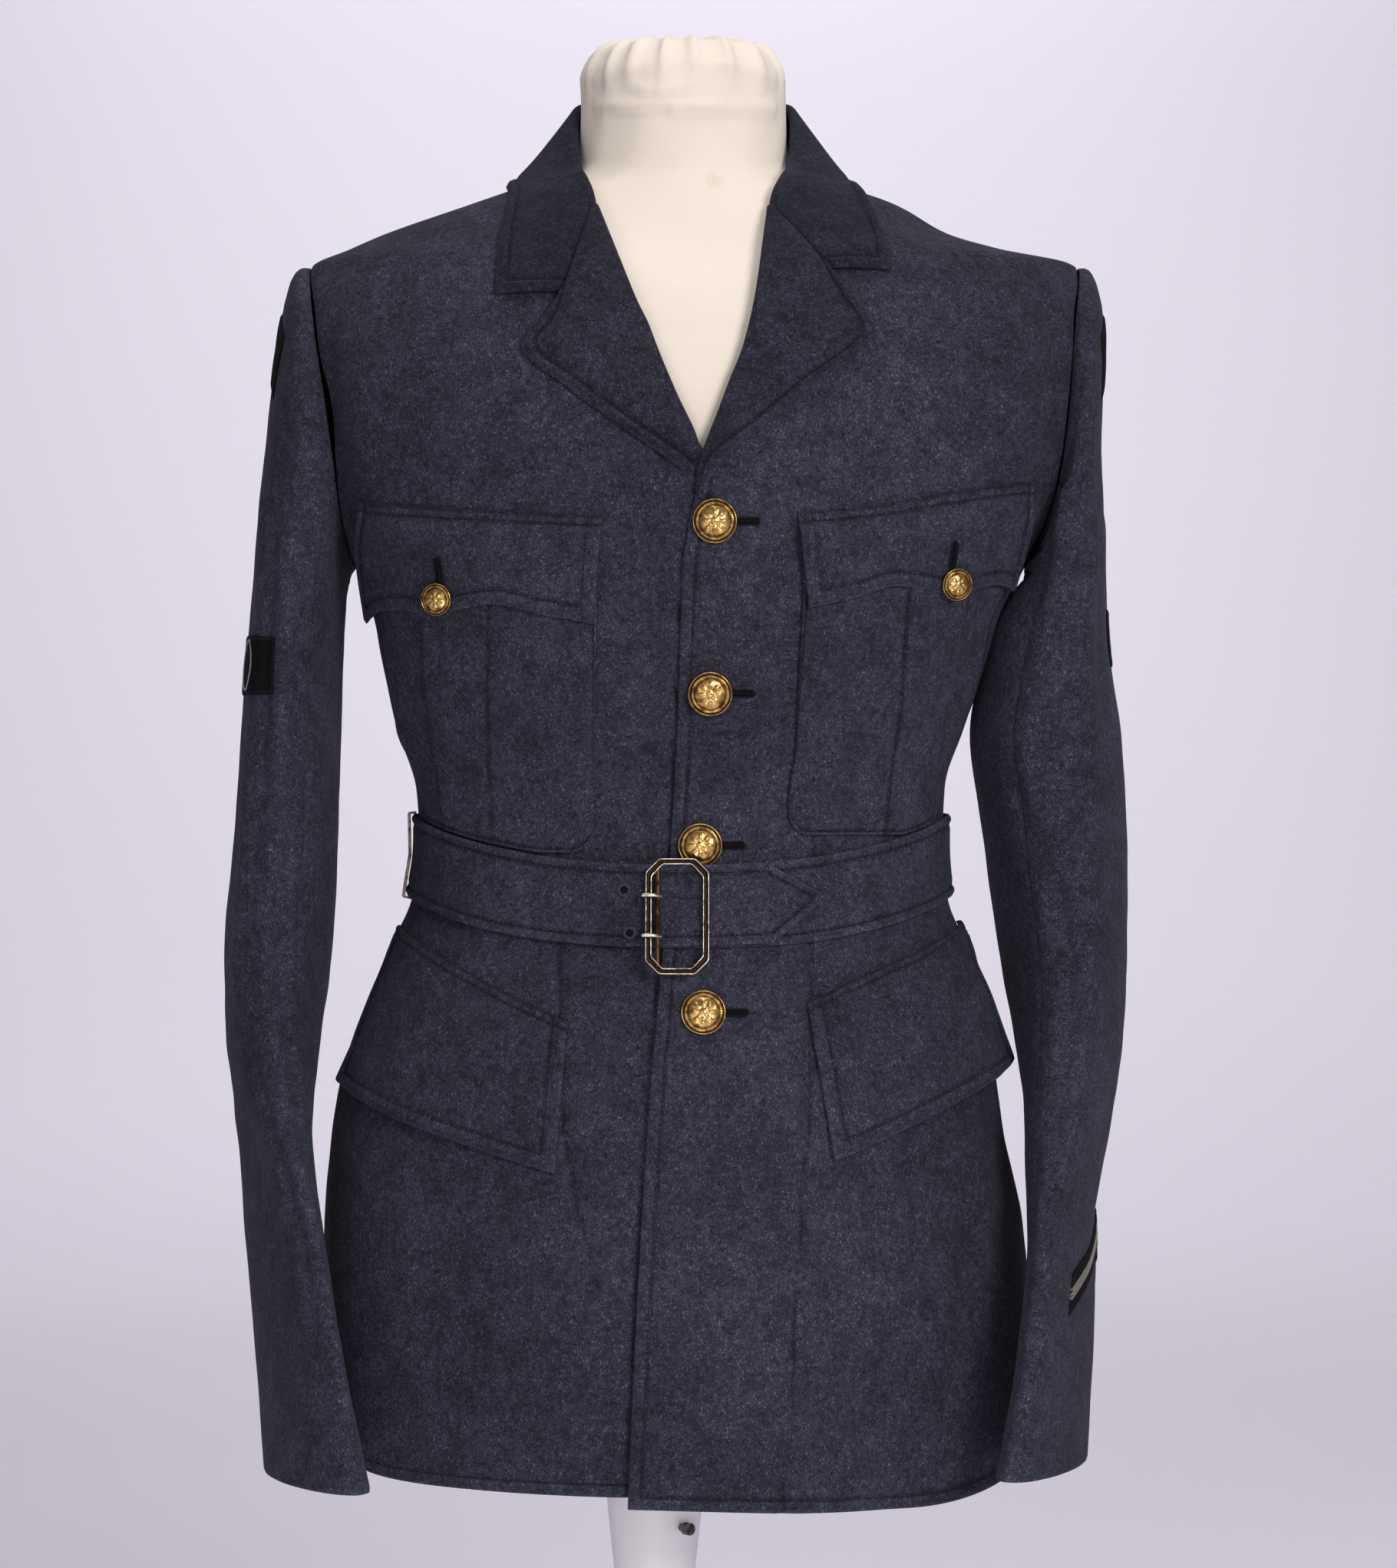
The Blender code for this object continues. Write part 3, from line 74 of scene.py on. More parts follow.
# The jacket's outer face: height, right, left, front, back, square
SECTIONS = np.array((
    (0.25, 0.202, 0.195, 0.15, 0.131, 2.2),
    (0.33, 0.202, 0.194, 0.147, 0.13, 2.2),
    (0.4, 0.201, 0.1885, 0.144, 0.129, 2.2),
    (0.45, 0.196, 0.178, 0.14, 0.127, 2.2),
    (0.485, 0.1895, 0.174, 0.136, 0.124, 2.2),
    (0.519, 0.1785, 0.17, 0.129, 0.118, 2.2),
    (0.553, 0.1635, 0.158, 0.118, 0.107, 2.2),
    (0.58, 0.152, 0.147, 0.11, 0.098, 2.2),
    (0.61, 0.148, 0.1445, 0.107, 0.094, 2.2),
    (0.64, 0.15, 0.1455, 0.108, 0.094, 2.2),
    (0.674, 0.161, 0.156, 0.114, 0.098, 2.25),
    (0.708, 0.1685, 0.1685, 0.121, 0.102, 2.3),
    (0.74, 0.1745, 0.179, 0.125, 0.106, 2.35),
    (0.768, 0.185, 0.192, 0.126, 0.109, 2.4),
    (0.8, 0.2, 0.211, 0.126, 0.111, 2.6),
    (0.84, 0.212, 0.222, 0.123, 0.112, 2.8),
    (0.88, 0.216, 0.226, 0.115, 0.11, 2.8),
    (0.91, 0.215, 0.2255, 0.104, 0.104, 2.6),
    (0.931, 0.2079, 0.2195, 0.092, 0.096, 2.4),
    (0.94, 0.189, 0.18, 0.085, 0.091, 2.3),
    (0.949, 0.1692, 0.15, 0.078, 0.086, 2.2),
    (0.966, 0.121, 0.1194, 0.068, 0.075, 2.1),
    (0.976, 0.092, 0.091, 0.062, 0.069, 2),
    (0.984, 0.066, 0.066, 0.058, 0.064, 2),
    (0.99, 0.06, 0.06, 0.056, 0.062, 2),
))
# The form inside it: height, right, left, front, back, square
FORM_SECTIONS = np.array((
    (0.335, 0.148, 0.143, 0.104, 0.1, 2.1),
    (0.342, 0.156, 0.15, 0.112, 0.106, 2.1),
    (0.4, 0.162, 0.156, 0.12, 0.113, 2.1),
    (0.45, 0.164, 0.158, 0.122, 0.114, 2.1),
    (0.5, 0.161, 0.156, 0.12, 0.11, 2.1),
    (0.553, 0.151, 0.147, 0.11, 0.1, 2.15),
    (0.6, 0.141, 0.137, 0.1, 0.088, 2.15),
    (0.64, 0.143, 0.1385, 0.101, 0.087, 2.15),
    (0.674, 0.153, 0.149, 0.107, 0.091, 2.2),
    (0.708, 0.161, 0.161, 0.114, 0.095, 2.25),
    (0.74, 0.166, 0.169, 0.118, 0.099, 2.25),
    (0.768, 0.171, 0.176, 0.119, 0.102, 2.25),
    (0.8, 0.177, 0.184, 0.119, 0.104, 2.3),
    (0.84, 0.185, 0.193, 0.116, 0.105, 2.35),
    (0.88, 0.191, 0.2, 0.108, 0.103, 2.35),
    (0.91, 0.195, 0.203, 0.096, 0.096, 2.3),
    (0.925, 0.196, 0.202, 0.087, 0.09, 2.2),
    (0.9365, 0.188, 0.18, 0.078, 0.084, 2.15),
    (0.9455, 0.1685, 0.1495, 0.072, 0.079, 2.1),
    (0.9625, 0.1205, 0.119, 0.063, 0.069, 2),
    (0.9725, 0.0915, 0.0905, 0.058, 0.063, 2),
    (0.98, 0.0655, 0.0655, 0.054, 0.058, 2),
    (0.988, 0.059, 0.059, 0.053, 0.056, 2),
    (1.005, 0.0578, 0.0578, 0.052, 0.055, 2),
    (1.037, 0.0574, 0.0574, 0.052, 0.054, 2),
    (1.0475, 0.053, 0.053, 0.048, 0.05, 2),
    (1.0545, 0.042, 0.042, 0.038, 0.04, 2),
    (1.058, 0.025, 0.025, 0.023, 0.024, 2),
))
# Soft upright folds of the skirt: angle, swell, spread
SKIRT_FOLDS = (
    (-66, 0.004, 16),
    (-30, -0.003, 13),
    (30, -0.003, 13),
    (62, 0.004, 15),
    (132, 0.005, 15),
    (180, -0.004, 16),
    (-132, 0.005, 15),
)

# The hem's height round each panel: angle, height
HEMS = {
    "right": ((-90.0, 0.281), (-63.0, 0.2757), (-50.0, 0.269), (-30.0, 0.2667), (-5.0, 0.2657)),
    "left": ((-6.0, 0.26), (25.0, 0.2562), (42.0, 0.2566), (60.0, 0.2655), (78.0, 0.278), (90.0, 0.282)),
    "back": ((90.0, 0.282), (135.0, 0.272), (180.0, 0.268), (225.0, 0.272), (270.0, 0.281)),
}
HEM_FADE = 4

# Front edges and roll lines seen from in front: height, x
LEFT_EDGE = (
    (0.25, -0.013),
    (0.29, -0.0116),
    (0.488, -0.0005),
    (0.52, 0.0026),
    (0.6, 0.0089),
    (0.672, 0.013),
    (0.758, 0.0163),
    (0.79, 0.0205),
    (0.819, 0.029),
    (0.853, 0.0417),
    (0.874, 0.05),
    (0.903, 0.0571),
    (0.93, 0.062),
    (0.965, 0.07),
    (0.984, 0.0825),
)
RIGHT_EDGE = (
    (0.25, 0.021),
    (0.488, 0.0335),
    (0.6, 0.0429),
    (0.768, 0.0505),
    (0.79, 0.047),
    (0.819, 0.029),
    (0.829, 0.0208),
    (0.85, 0.0109),
    (0.876, 0.0005),
    (0.901, -0.0106),
    (0.93, -0.0195),
    (0.965, -0.036),
    (0.984, -0.0495),
)
# The armhole: height, distance from BODY_X on the right and on the left
ARMHOLE = (
    (0.768, 0.185, 0.192),
    (0.791, 0.1885, 0.201),
    (0.815, 0.1905, 0.2062),
    (0.85, 0.195, 0.2105),
    (0.891, 0.202, 0.214),
    (0.931, 0.2079, 0.2195),
)

# Sleeves from below the head to the cuff: inner x, inner z, outer x, outer z, middle y, half depth, turn
RIGHT_SLEEVE = (
    (-0.172, 0.759, -0.215, 0.8286, 0, 0.077, 0),
    (-0.1735, 0.751, -0.22, 0.785, 0, 0.0785, 0),
    (-0.1755, 0.72, -0.225, 0.7254, 0.002, 0.078, 0),
    (-0.1772, 0.66, -0.2296, 0.66, 0.005, 0.0755, 0),
    (-0.18, 0.605, -0.2345, 0.605, 0.007, 0.0725, 0),
    (-0.1828, 0.55, -0.239, 0.55, 0.004, 0.07, 0),
    (-0.188, 0.5, -0.238, 0.5, -0.008, 0.067, 6),
    (-0.1895, 0.46, -0.233, 0.46, -0.028, 0.065, 12),
    (-0.178, 0.403, -0.2262, 0.403, -0.066, 0.062, 20),
    (-0.1655, 0.3389, -0.2185, 0.3389, -0.096, 0.06, 24),
    (-0.1503, 0.27, -0.2105, 0.27, -0.116, 0.0575, 27),
)
LEFT_SLEEVE = (
    (0.2095, 0.76, 0.2472, 0.8286, 0, 0.077, 0),
    (0.2075, 0.753, 0.249, 0.785, 0, 0.0785, 0),
    (0.193, 0.72, 0.2512, 0.7254, 0.002, 0.078, 0),
    (0.1788, 0.665, 0.259, 0.665, 0.005, 0.077, 0),
    (0.1865, 0.605, 0.2612, 0.605, 0.007, 0.075, 0),
    (0.1955, 0.55, 0.2618, 0.55, 0.004, 0.072, 0),
    (0.2035, 0.5, 0.258, 0.5, -0.008, 0.068, 5),
    (0.206, 0.46, 0.2525, 0.46, -0.026, 0.065, 9),
    (0.2044, 0.403, 0.2435, 0.403, -0.06, 0.062, 14),
    (0.1965, 0.345, 0.2405, 0.345, -0.088, 0.06, 18),
    (0.183, 0.276, 0.235, 0.276, -0.11, 0.0575, 22),
)
HEAD_ROWS = 4
HEAD_OUT, HEAD_UP, HEAD_AHEAD = 0.016, 0.002, 0.014
SEAM_TURN = 120.0
SLEEVE_ROWS = HEAD_ROWS + len(LEFT_SLEEVE) - 1

# Lapels: roll x, roll z, edge x, edge z, from the lowest point to the gorge
LEFT_LAPEL = (
    (0.0232, 0.799, 0.0258, 0.797),
    (0.029, 0.819, 0.0385, 0.816),
    (0.037, 0.84, 0.061, 0.835),
    (0.044, 0.859, 0.088, 0.859),
    (0.05, 0.874, 0.119, 0.887),
    (0.0571, 0.903, 0.109, 0.904),
    (0.0646, 0.9575, 0.0945, 0.9203),
)
RIGHT_LAPEL = (
    (0.0245, 0.8155, 0.019, 0.808),
    (0.0205, 0.829, 0.004, 0.819),
    (0.0107, 0.85, -0.0215, 0.837),
    (0.0003, 0.875, -0.046, 0.855),
    (-0.005, 0.889, -0.07, 0.876),
    (-0.0108, 0.901, -0.0605, 0.89),
    (-0.0328, 0.958, -0.0484, 0.907),
)

# The collar's front ends from the gorge up: fold x, fold z, edge x, edge z
LEFT_COLLAR_END = (
    (0.0948, 0.92055, 0.1275, 0.92),
    (0.079, 0.9403, 0.1262, 0.94),
    (0.0649, 0.9578, 0.116, 0.965),
)
RIGHT_COLLAR_END = (
    (-0.0488, 0.9071, -0.0845, 0.906),
    (-0.0411, 0.9321, -0.0835, 0.935),
    (-0.0332, 0.9581, -0.079, 0.966),
)
# Round the neck: the fold's distance from BODY_X, its y and z, then the edge's angle and height
COLLAR_ROUND = (
    (0.059, -0.036, 0.983, 68, 0.9714),
    (0.063, -0.012, 1.0065, 90, 0.9742),
    (0.0625, 0.018, 1.0245, 116, 0.9732),
    (0.049, 0.048, 1.029, 146, 0.968),
    (0.0262, 0.0625, 1.0315, 165, 0.9665),
)
COLLAR_BACK = (0.0, 0.0665, 1.032, 180.0, 0.966)
COLLAR_LIFT = 0.0036
COLLAR_REST = 0.0028  # round the neck
LAPEL_REST = 0.0014
STAND_DROP = 0.0048
COLLAR_ARCH = 0.003

# Breast pockets: inner top x, top z, inner foot x, foot z, outer angle, button x, button z
BREAST_POCKETS = {
    "right": (-0.029, 0.766, -0.0309, 0.606, -72.0, -0.111, 0.744),
    "left": (0.0815, 0.77, 0.0715, 0.6155, 70.0, 0.158, 0.753),
}
PLEAT_HALF = 0.027
PLEATS = {"right": (-0.0866, -0.0851), "left": (0.1381, 0.1238)}  # the fold nearer the front, top and foot
# Breast flaps: share of the width, upper edge's height, lower edge's height
BREAST_FLAPS = {
    "right": (
        (0, 0.7857, 0.729),
        (0.14, 0.787, 0.734),
        (0.3, 0.789, 0.74),
        (0.44, 0.7905, 0.737),
        (0.54, 0.7915, 0.734),
        (0.66, 0.793, 0.738),
        (0.82, 0.795, 0.739),
        (1, 0.7975, 0.733),
    ),
    "left": (
        (0, 0.7874, 0.7375),
        (0.14, 0.79, 0.743),
        (0.3, 0.794, 0.75),
        (0.46, 0.7985, 0.748),
        (0.58, 0.801, 0.745),
        (0.7, 0.8035, 0.751),
        (0.84, 0.8055, 0.754),
        (1, 0.807, 0.751),
    ),
}
BREAST_FLAP_ENDS = {"right": (-0.0268, -0.0305, -0.161, -0.153), "left": (0.0771, 0.082, 0.209, 0.1925)}
# Hip flaps: share of the width, upper edge's height, lower edge's height, lift of the foot
HIP_FLAPS = {
    "right": (
        (0, 0.516, 0.436, 0.0006),
        (0.25, 0.529, 0.448, 0.001),
        (0.5, 0.543, 0.459, 0.0015),
        (0.75, 0.556, 0.47, 0.002),
        (1, 0.564, 0.478, 0.0025),
    ),
    "left": (
        (0, 0.5262, 0.442, 0.0006),
        (0.25, 0.539, 0.456, 0.0015),
        (0.5, 0.55, 0.469, 0.0035),
        (0.75, 0.56, 0.48, 0.0065),
        (1, 0.566, 0.488, 0.0085),
    ),
}
HIP_FLAP_ENDS = {"right": (-0.0452, -0.0516, -0.1405, -0.1715), "left": (0.0824, 0.0966, 0.17, 0.1895)}

FRONT_BUTTONS = ((0.0331, 0.783), (0.0306, 0.692), (0.0253, 0.61), (0.027, 0.5204))
BELT_FRONT, BELT_SIDE, BELT_BACK = 0.5765, 0.604, 0.612
BELT_HEIGHT = 0.045
BELT_REST = 0.0014
BELT_CLOTH = 0.0026
LAYER_GAP = 0.0004
BELT_START, BELT_TIP = -6.5, 27.0
LAYER_START, LAYER_SPAN, TIP_SPAN = 322.0, 26.0, 12.0
BUCKLE_X, BUCKLE_Z = 0.0132, 0.569
BUCKLE_WIDTH, BUCKLE_HEIGHT = 0.0345, 0.064
BUCKLE_CORNER = 0.0075
BUCKLE_REST = 0.0027
BUCKLE_LEAN_HEIGHT = 0.573
PATCHES = {
    "right_upper_patch": (-1, 0.905, 0.866, 40.0, -60.0),
    "right_lower_patch": (-1, 0.725, 0.692, 80.0, -80.0),
    "left_upper_patch": (1, 0.905, 0.866, 40.0, -60.0),
    "left_lower_patch": (1, 0.74, 0.708, 20.0, -100.0),
}
STRIPE_FRONT, STRIPE_MIDDLE, STRIPE_BACK = 20.0, -60.0, -120.0
STRIPE_LOW, STRIPE_PEAK = 0.369, 0.396
STRIPE_HEIGHT = 0.022

# Post and base: height, radius
POST = (
    (0.031, 0.044),
    (0.036, 0.042),
    (0.046, 0.028),
    (0.062, 0.02),
    (0.1, 0.0175),
    (0.16, 0.0192),
    (0.204, 0.0228),
    (0.235, 0.026),
    (0.27, 0.0285),
    (0.31, 0.03),
    (0.3345, 0.03),
)
BASE = ((0.0, 0.148), (0.004, 0.152), (0.018, 0.152), (0.026, 0.144), (0.0305, 0.12))

# Sizes and colours a user may change
SERGE = (0.0235, 0.0235, 0.0375)
SERGE_FLECK = (0.155, 0.16, 0.215)
SERGE_DARK = (0.0085, 0.008, 0.013)


class JacketSettings(bpy.types.PropertyGroup):
    cloth_thickness: FloatProperty(
        name="Cloth thickness", description="Wall of the body and the sleeves", default=0.002, unit="LENGTH"
    )
    stitch_length: FloatProperty(
        name="Stitch length", description="Length of one edge stitch", default=0.0024, unit="LENGTH"
    )
    stitch_pitch: FloatProperty(
        name="Stitch pitch", description="From one stitch to the next", default=0.0031, unit="LENGTH"
    )
    stitch_inset: FloatProperty(
        name="Stitch inset", description="From a sewn edge to its stitching", default=0.007, unit="LENGTH"
    )
    thread_radius: FloatProperty(
        name="Thread radius", description="Half the thread's thickness", default=0.0003, unit="LENGTH"
    )
    serge: FloatVectorProperty(
        name="Serge", description="Ground colour of the wool", default=SERGE, size=3, subtype="COLOR"
    )
    fleck: FloatVectorProperty(
        name="Fleck", description="Colour of the pale fibres", default=SERGE_FLECK, size=3, subtype="COLOR"
    )
    gilt: FloatVectorProperty(
        name="Gilt", description="Colour of the buttons", default=(0.6, 0.37, 0.125), size=3, subtype="COLOR"
    )
    nickel: FloatVectorProperty(
        name="Nickel", description="Colour of the buckle", default=(0.8, 0.74, 0.64), size=3, subtype="COLOR"
    )
    calico: FloatVectorProperty(
        name="Calico", description="Colour of the cover", default=(0.72, 0.64, 0.555), size=3, subtype="COLOR"
    )


def settings():
    return bpy.context.scene.uniform_jacket


# Reading the tables

def ease(share):
    share = np.clip(share, 0.0, 1.0)
    return share * share * (3 - 2 * share)


def mix(start, end, share):
    return start + (end - start) * share


def bump(distance, width):
    """A soft swell, 1 at no distance and gone at about twice the width."""
    return np.exp(-((distance / width) ** 2))


def curve(rows, column, at):
    """Read one column of a table at values of its first column, smoothly and without overshoot."""
    rows = np.asarray(rows, float)
    x, y = rows[:, 0], rows[:, column]
    at = np.clip(at, x[0], x[-1])
    step = np.diff(x)
    slope = np.diff(y) / step
    both, total = slope[:-1] * slope[1:], slope[:-1] + slope[1:]
    inside = np.where(both > 0, 2 * both / np.where(total == 0, 1.0, total), 0.0)
    tangent = np.concatenate((slope[:1], inside, slope[-1:]))
    i = np.clip(np.searchsorted(x, at, side="right") - 1, 0, len(x) - 2)
    t = (at - x[i]) / step[i]
    start = (2 * t**3 - 3 * t**2 + 1) * y[i] + (t**3 - 2 * t**2 + t) * step[i] * tangent[i]
    return start + (3 * t**2 - 2 * t**3) * y[i + 1] + (t**3 - t**2) * step[i] * tangent[i + 1]


def halved(low, high, is_below):
    """The place between low and high where is_below turns false."""
    for _ in range(40):
        middle = (low + high) / 2
        low, high = (middle, high) if is_below(middle) else (low, middle)
    return low


def numbered(table):
    """A table whose first column is the row's number."""
    table = np.asarray(table, float)
    return np.column_stack((np.arange(len(table)), table))


def normalized(vectors):
    return vectors / np.maximum(np.linalg.norm(vectors, axis=-1, keepdims=True), 1e-12)


# Creases and soft folds, placed one by one

# On the body: angle and height of both ends, half width in metres, swell in metres
BODY_CREASES = (
    (-58, 0.9, -63, 0.79, 0.01, -0.0022),
    (-47, 0.905, -52, 0.8, 0.013, 0.0014),
    (57, 0.905, 62, 0.8, 0.011, -0.002),
    (46, 0.91, 50, 0.82, 0.014, 0.0013),
    (-70, 0.735, -50, 0.655, 0.012, -0.0014),
    (70, 0.735, 52, 0.66, 0.012, -0.0014),
    (-76, 0.69, -62, 0.632, 0.008, 0.0013),
    (78, 0.69, 66, 0.636, 0.008, 0.0012),
    (-20, 0.655, -26, 0.612, 0.009, 0.001),
    (30, 0.66, 24, 0.612, 0.01, 0.0009),
    (-3.9, 0.79, -5.4, 0.62, 0.006, -0.0018),
    (-7.2, 0.56, -9, 0.29, 0.009, -0.0016),
    (-14, 0.548, -12, 0.33, 0.016, -0.0016),
    (-23, 0.47, -27, 0.29, 0.018, 0.0016),
    (-38, 0.44, -44, 0.3, 0.016, -0.0016),
    (12, 0.54, 9, 0.31, 0.017, 0.0014),
    (23, 0.5, 27, 0.3, 0.015, -0.0015),
    (36, 0.44, 42, 0.28, 0.017, 0.0015),
    (50, 0.43, 56, 0.29, 0.014, -0.0015),
    (-76, 0.54, -70, 0.42, 0.013, -0.0015),
    (77, 0.54, 73, 0.41, 0.013, -0.0015),
    (148, 0.9, 122, 0.8, 0.015, -0.002),
    (212, 0.9, 238, 0.8, 0.015, -0.002),
    (166, 0.92, 160, 0.78, 0.018, 0.0013),
    (197, 0.915, 203, 0.79, 0.018, 0.0012),
    (140, 0.72, 150, 0.632, 0.013, -0.0016),
    (222, 0.73, 212, 0.636, 0.013, -0.0015),
    (178, 0.7, 182, 0.64, 0.012, 0.0012),
    (160, 0.58, 155, 0.4, 0.016, 0.0015),
    (203, 0.575, 209, 0.38, 0.016, 0.0015),
    (181, 0.56, 180, 0.3, 0.014, -0.002),
    (125, 0.56, 118, 0.33, 0.015, -0.0016),
    (238, 0.56, 244, 0.32, 0.015, -0.0015),
)
# On the sleeves: turn and row of both ends, half width in metres, swell in metres
SLEEVE_CREASES = {
    -1: (
        (88, 2.5, 92, 7.6, 0.0055, 0.0022),
        (66, 3, 74, 8.2, 0.006, -0.0022),
        (110, 3.4, 104, 8, 0.006, -0.0016),
        (46, 4.5, 58, 9.6, 0.007, 0.0018),
        (88, 8.2, 78, 13.5, 0.006, 0.002),
        (106, 8.6, 98, 13.6, 0.006, -0.002),
        (60, 9.2, 52, 13.2, 0.008, -0.0018),
        (122, 7.2, 96, 8.6, 0.007, -0.0022),
        (126, 8.2, 100, 9.4, 0.006, -0.0018),
        (0, 5, 10, 12, 0.012, -0.0014),
        (-60, 4, -52, 11, 0.012, 0.0018),
        (-90, 6, -82, 12.5, 0.01, -0.002),
        (200, 4, 190, 9, 0.011, -0.002),
        (232, 6, 225, 12.5, 0.011, 0.0018),
    ),
    1: (
        (148, 4.3, 156, 6.6, 0.02, 0.006),
        (86, 2.6, 90, 8, 0.006, -0.002),
        (108, 3, 112, 7.6, 0.006, 0.002),
        (62, 3.2, 66, 8.8, 0.007, 0.0018),
        (44, 5, 40, 10, 0.008, -0.0016),
        (96, 8.4, 86, 11, 0.007, -0.002),
        (74, 8.6, 62, 13, 0.008, 0.0016),
        (120, 7.4, 94, 8.8, 0.0065, -0.0022),
        (104, 11.4, 96, 13.8, 0.008, -0.0014),
        (2, 5, -8, 12, 0.012, 0.0014),
        (-58, 4, -66, 11, 0.012, -0.0018),
        (-92, 6, -84, 12.5, 0.01, 0.0018),
        (196, 4, 204, 9, 0.011, -0.0018),
        (230, 6, 224, 12.5, 0.011, 0.0018),
    ),
}
GIRTH_STEP = 0.0029  # metres round the body for a degree
SLEEVE_STEP = 0.00085  # metres round a sleeve for a degree
ROW_STEP = 0.052  # metres down a sleeve for a row


def creased(table, a, b, a_step, b_step, turn=360.0):
    """The sum of a table's creases at places (a, b), each a soft ridge or trough along a line."""
    total = np.zeros(np.broadcast(a, b).shape)
    for a0, b0, a1, b1, width, swell in table:
        across = ((a - a0 + turn / 2) % turn - turn / 2) * a_step
        along = (b - b0) * b_step
        line = np.array(((a1 - a0) * a_step, (b1 - b0) * b_step))
        share = np.clip((across * line[0] + along * line[1]) / (line @ line), 0.0, 1.0)
        distance = np.hypot(across - share * line[0], along - share * line[1])
        uneven = 0.72 + 0.28 * np.sin(7.0 * share + a0)
        total = total + swell * uneven * bump(distance, width * (0.8 + 0.45 * share))
    return total


def ripple(a, b):
    """Slow unevenness of worn cloth; a and b are in metres."""
    waves = np.sin(31 * a + 17 * b + 0.7) + 0.8 * np.sin(-23 * a + 41 * b + 2.1)
    waves = waves + 0.6 * np.sin(67 * a + 29 * b + 4.0) + 0.4 * np.sin(-88 * a + 61 * b + 1.3)
    waves = waves + 0.35 * np.sin(140 * a - 97 * b + 0.4) * np.sin(71 * a + 118 * b)
    return 0.00034 * waves


# The body's surface

def skirt_fold(angle, height):
    reach = ease((FOLD_TOP - height) / (FOLD_TOP - HEM))
    total = 0.0
    for middle, swell, spread in SKIRT_FOLDS:
        total = total + swell * bump((angle - middle + 180) % 360 - 180, spread)
    return total * reach


def body_point(angle, height, sections=SECTIONS):
    """Points of a closed body; angle 0 is the middle of the front, 90 the wearer's left side."""
    angle, height = np.broadcast_arrays(np.asarray(angle, float), np.asarray(height, float))
    right, left, front, back, square = (curve(sections, column, height) for column in range(1, 6))
    turn = np.radians(angle)
    across, ahead = np.sin(turn), np.cos(turn)
    x = np.sign(across) * np.where(across >= 0, left, right) * np.abs(across) ** (2 / square)
    y = -np.sign(ahead) * np.where(ahead >= 0, front, back) * np.abs(ahead) ** (2 / square)
    if sections is SECTIONS:
        fold = skirt_fold(angle, height)
        x, y = x + across * fold, y - ahead * fold
    return np.stack((BODY_X + x, y, height), axis=-1)


def body_normal(angle, height, sections=SECTIONS):
    around = body_point(angle + 0.5, height, sections) - body_point(angle - 0.5, height, sections)
    upward = body_point(angle, height + 0.001, sections) - body_point(angle, height - 0.001, sections)
    return normalized(np.cross(around, upward))


def body_relief(angle, height):
    """How far the cloth stands off the smooth body: its creases and its unevenness."""
    quiet = ease((NECK_SEAM - 0.012 - height) / 0.05)
    under_belt = 1 - 0.8 * bump(height - belt_height(angle), BELT_HEIGHT * 0.75)
    folds = 1.35 * creased(BODY_CREASES, angle, height, GIRTH_STEP, 1.0)
    return (folds + ripple(angle * GIRTH_STEP, height)) * quiet * under_belt


def cloth(angle, height, lift=0.0):
    """Points on the jacket's body, or off it along its normal."""
    lift = np.asarray(lift + body_relief(angle, height))
    return body_point(angle, height) + body_normal(angle, height) * lift[..., None]


def angle_of(x, height, behind=False):
    away = x - BODY_X
    half = np.where(away >= 0, curve(SECTIONS, 2, height), curve(SECTIONS, 1, height))
    square = curve(SECTIONS, 5, height)
    turn = np.degrees(np.arcsin(np.minimum(1.0, np.abs(away) / half) ** (square / 2)))
    return np.where(behind, 180 - turn, turn) * np.where(away >= 0, 1.0, -1.0)


def seen(x, height, lift=0.0):
    """Places on the front that are seen at x and height from straight ahead."""
    return cloth(angle_of(x, height), height, lift)


def shoulder_line(x):
    away = abs(x - BODY_X)
    if away <= NECK_HALF:
        return NECK_SEAM
    column = 2 if x >= BODY_X else 1
    return halved(SHOULDER, NECK_SEAM, lambda height: curve(SECTIONS, column, height) > away)


def rise(share, outward=1.0):
    at_armhole = (1 - math.cos(math.pi * share)) / 2
    inside = 1 - (1 - share) ** 2.4
    return mix(inside, at_armhole, float(ease(outward)))


def armhole_x(side, height):
    return BODY_X + side * curve(ARMHOLE, 1 if side < 0 else 2, height)


def lap_lift(x, height):
    """How far the lapped left front stands off the body at x."""
    fade = 1 - ease((x - curve(LEFT_EDGE, 1, height) - LAP_WIDTH) / LAP_FADE)
    return LAP * fade * (1 - ease((height - 0.805) / 0.05))


def ground(side, x, height):
    """What a piece on a front lies on: the front itself, lapped or not."""
    return lap_lift(x, height) if side > 0 else np.zeros(np.broadcast(x, height).shape)


def hemmed(panel, angle, height, row):
    fade = max(0.0, 1 - row / HEM_FADE) ** 2
    return height + (float(curve(HEMS[panel], 1, angle)) - HEM) * fade


def belt_height(angle):
    turn = np.cos(np.radians(angle))
    ahead = mix(BELT_SIDE, BELT_FRONT, np.maximum(turn, 0.0) ** 1.6)
    return np.where(turn >= 0, ahead, mix(BELT_SIDE, BELT_BACK, np.minimum(turn, 0.0) ** 2))


# Grids of points and the walls made from them

def capped(rows, steps):
    """Faces of rings of points with both end rings closed."""
    faces = quads(rows, steps, True).tolist()
    faces.append(list(range(steps))[::-1])
    return faces + [[(rows - 1) * steps + i for i in range(steps)]]


def stops(count, *extra):
    """Even shares from 0 to 1 and some extra ones."""
    return np.unique(np.concatenate((np.linspace(0, 1, count), extra)))


def set_values(made, title, values):
    """Store one number for each point of a mesh."""
    values = np.asarray(values, np.float32)
    made.data.attributes.new(title, "FLOAT", "POINT").data.foreach_set("value", values)


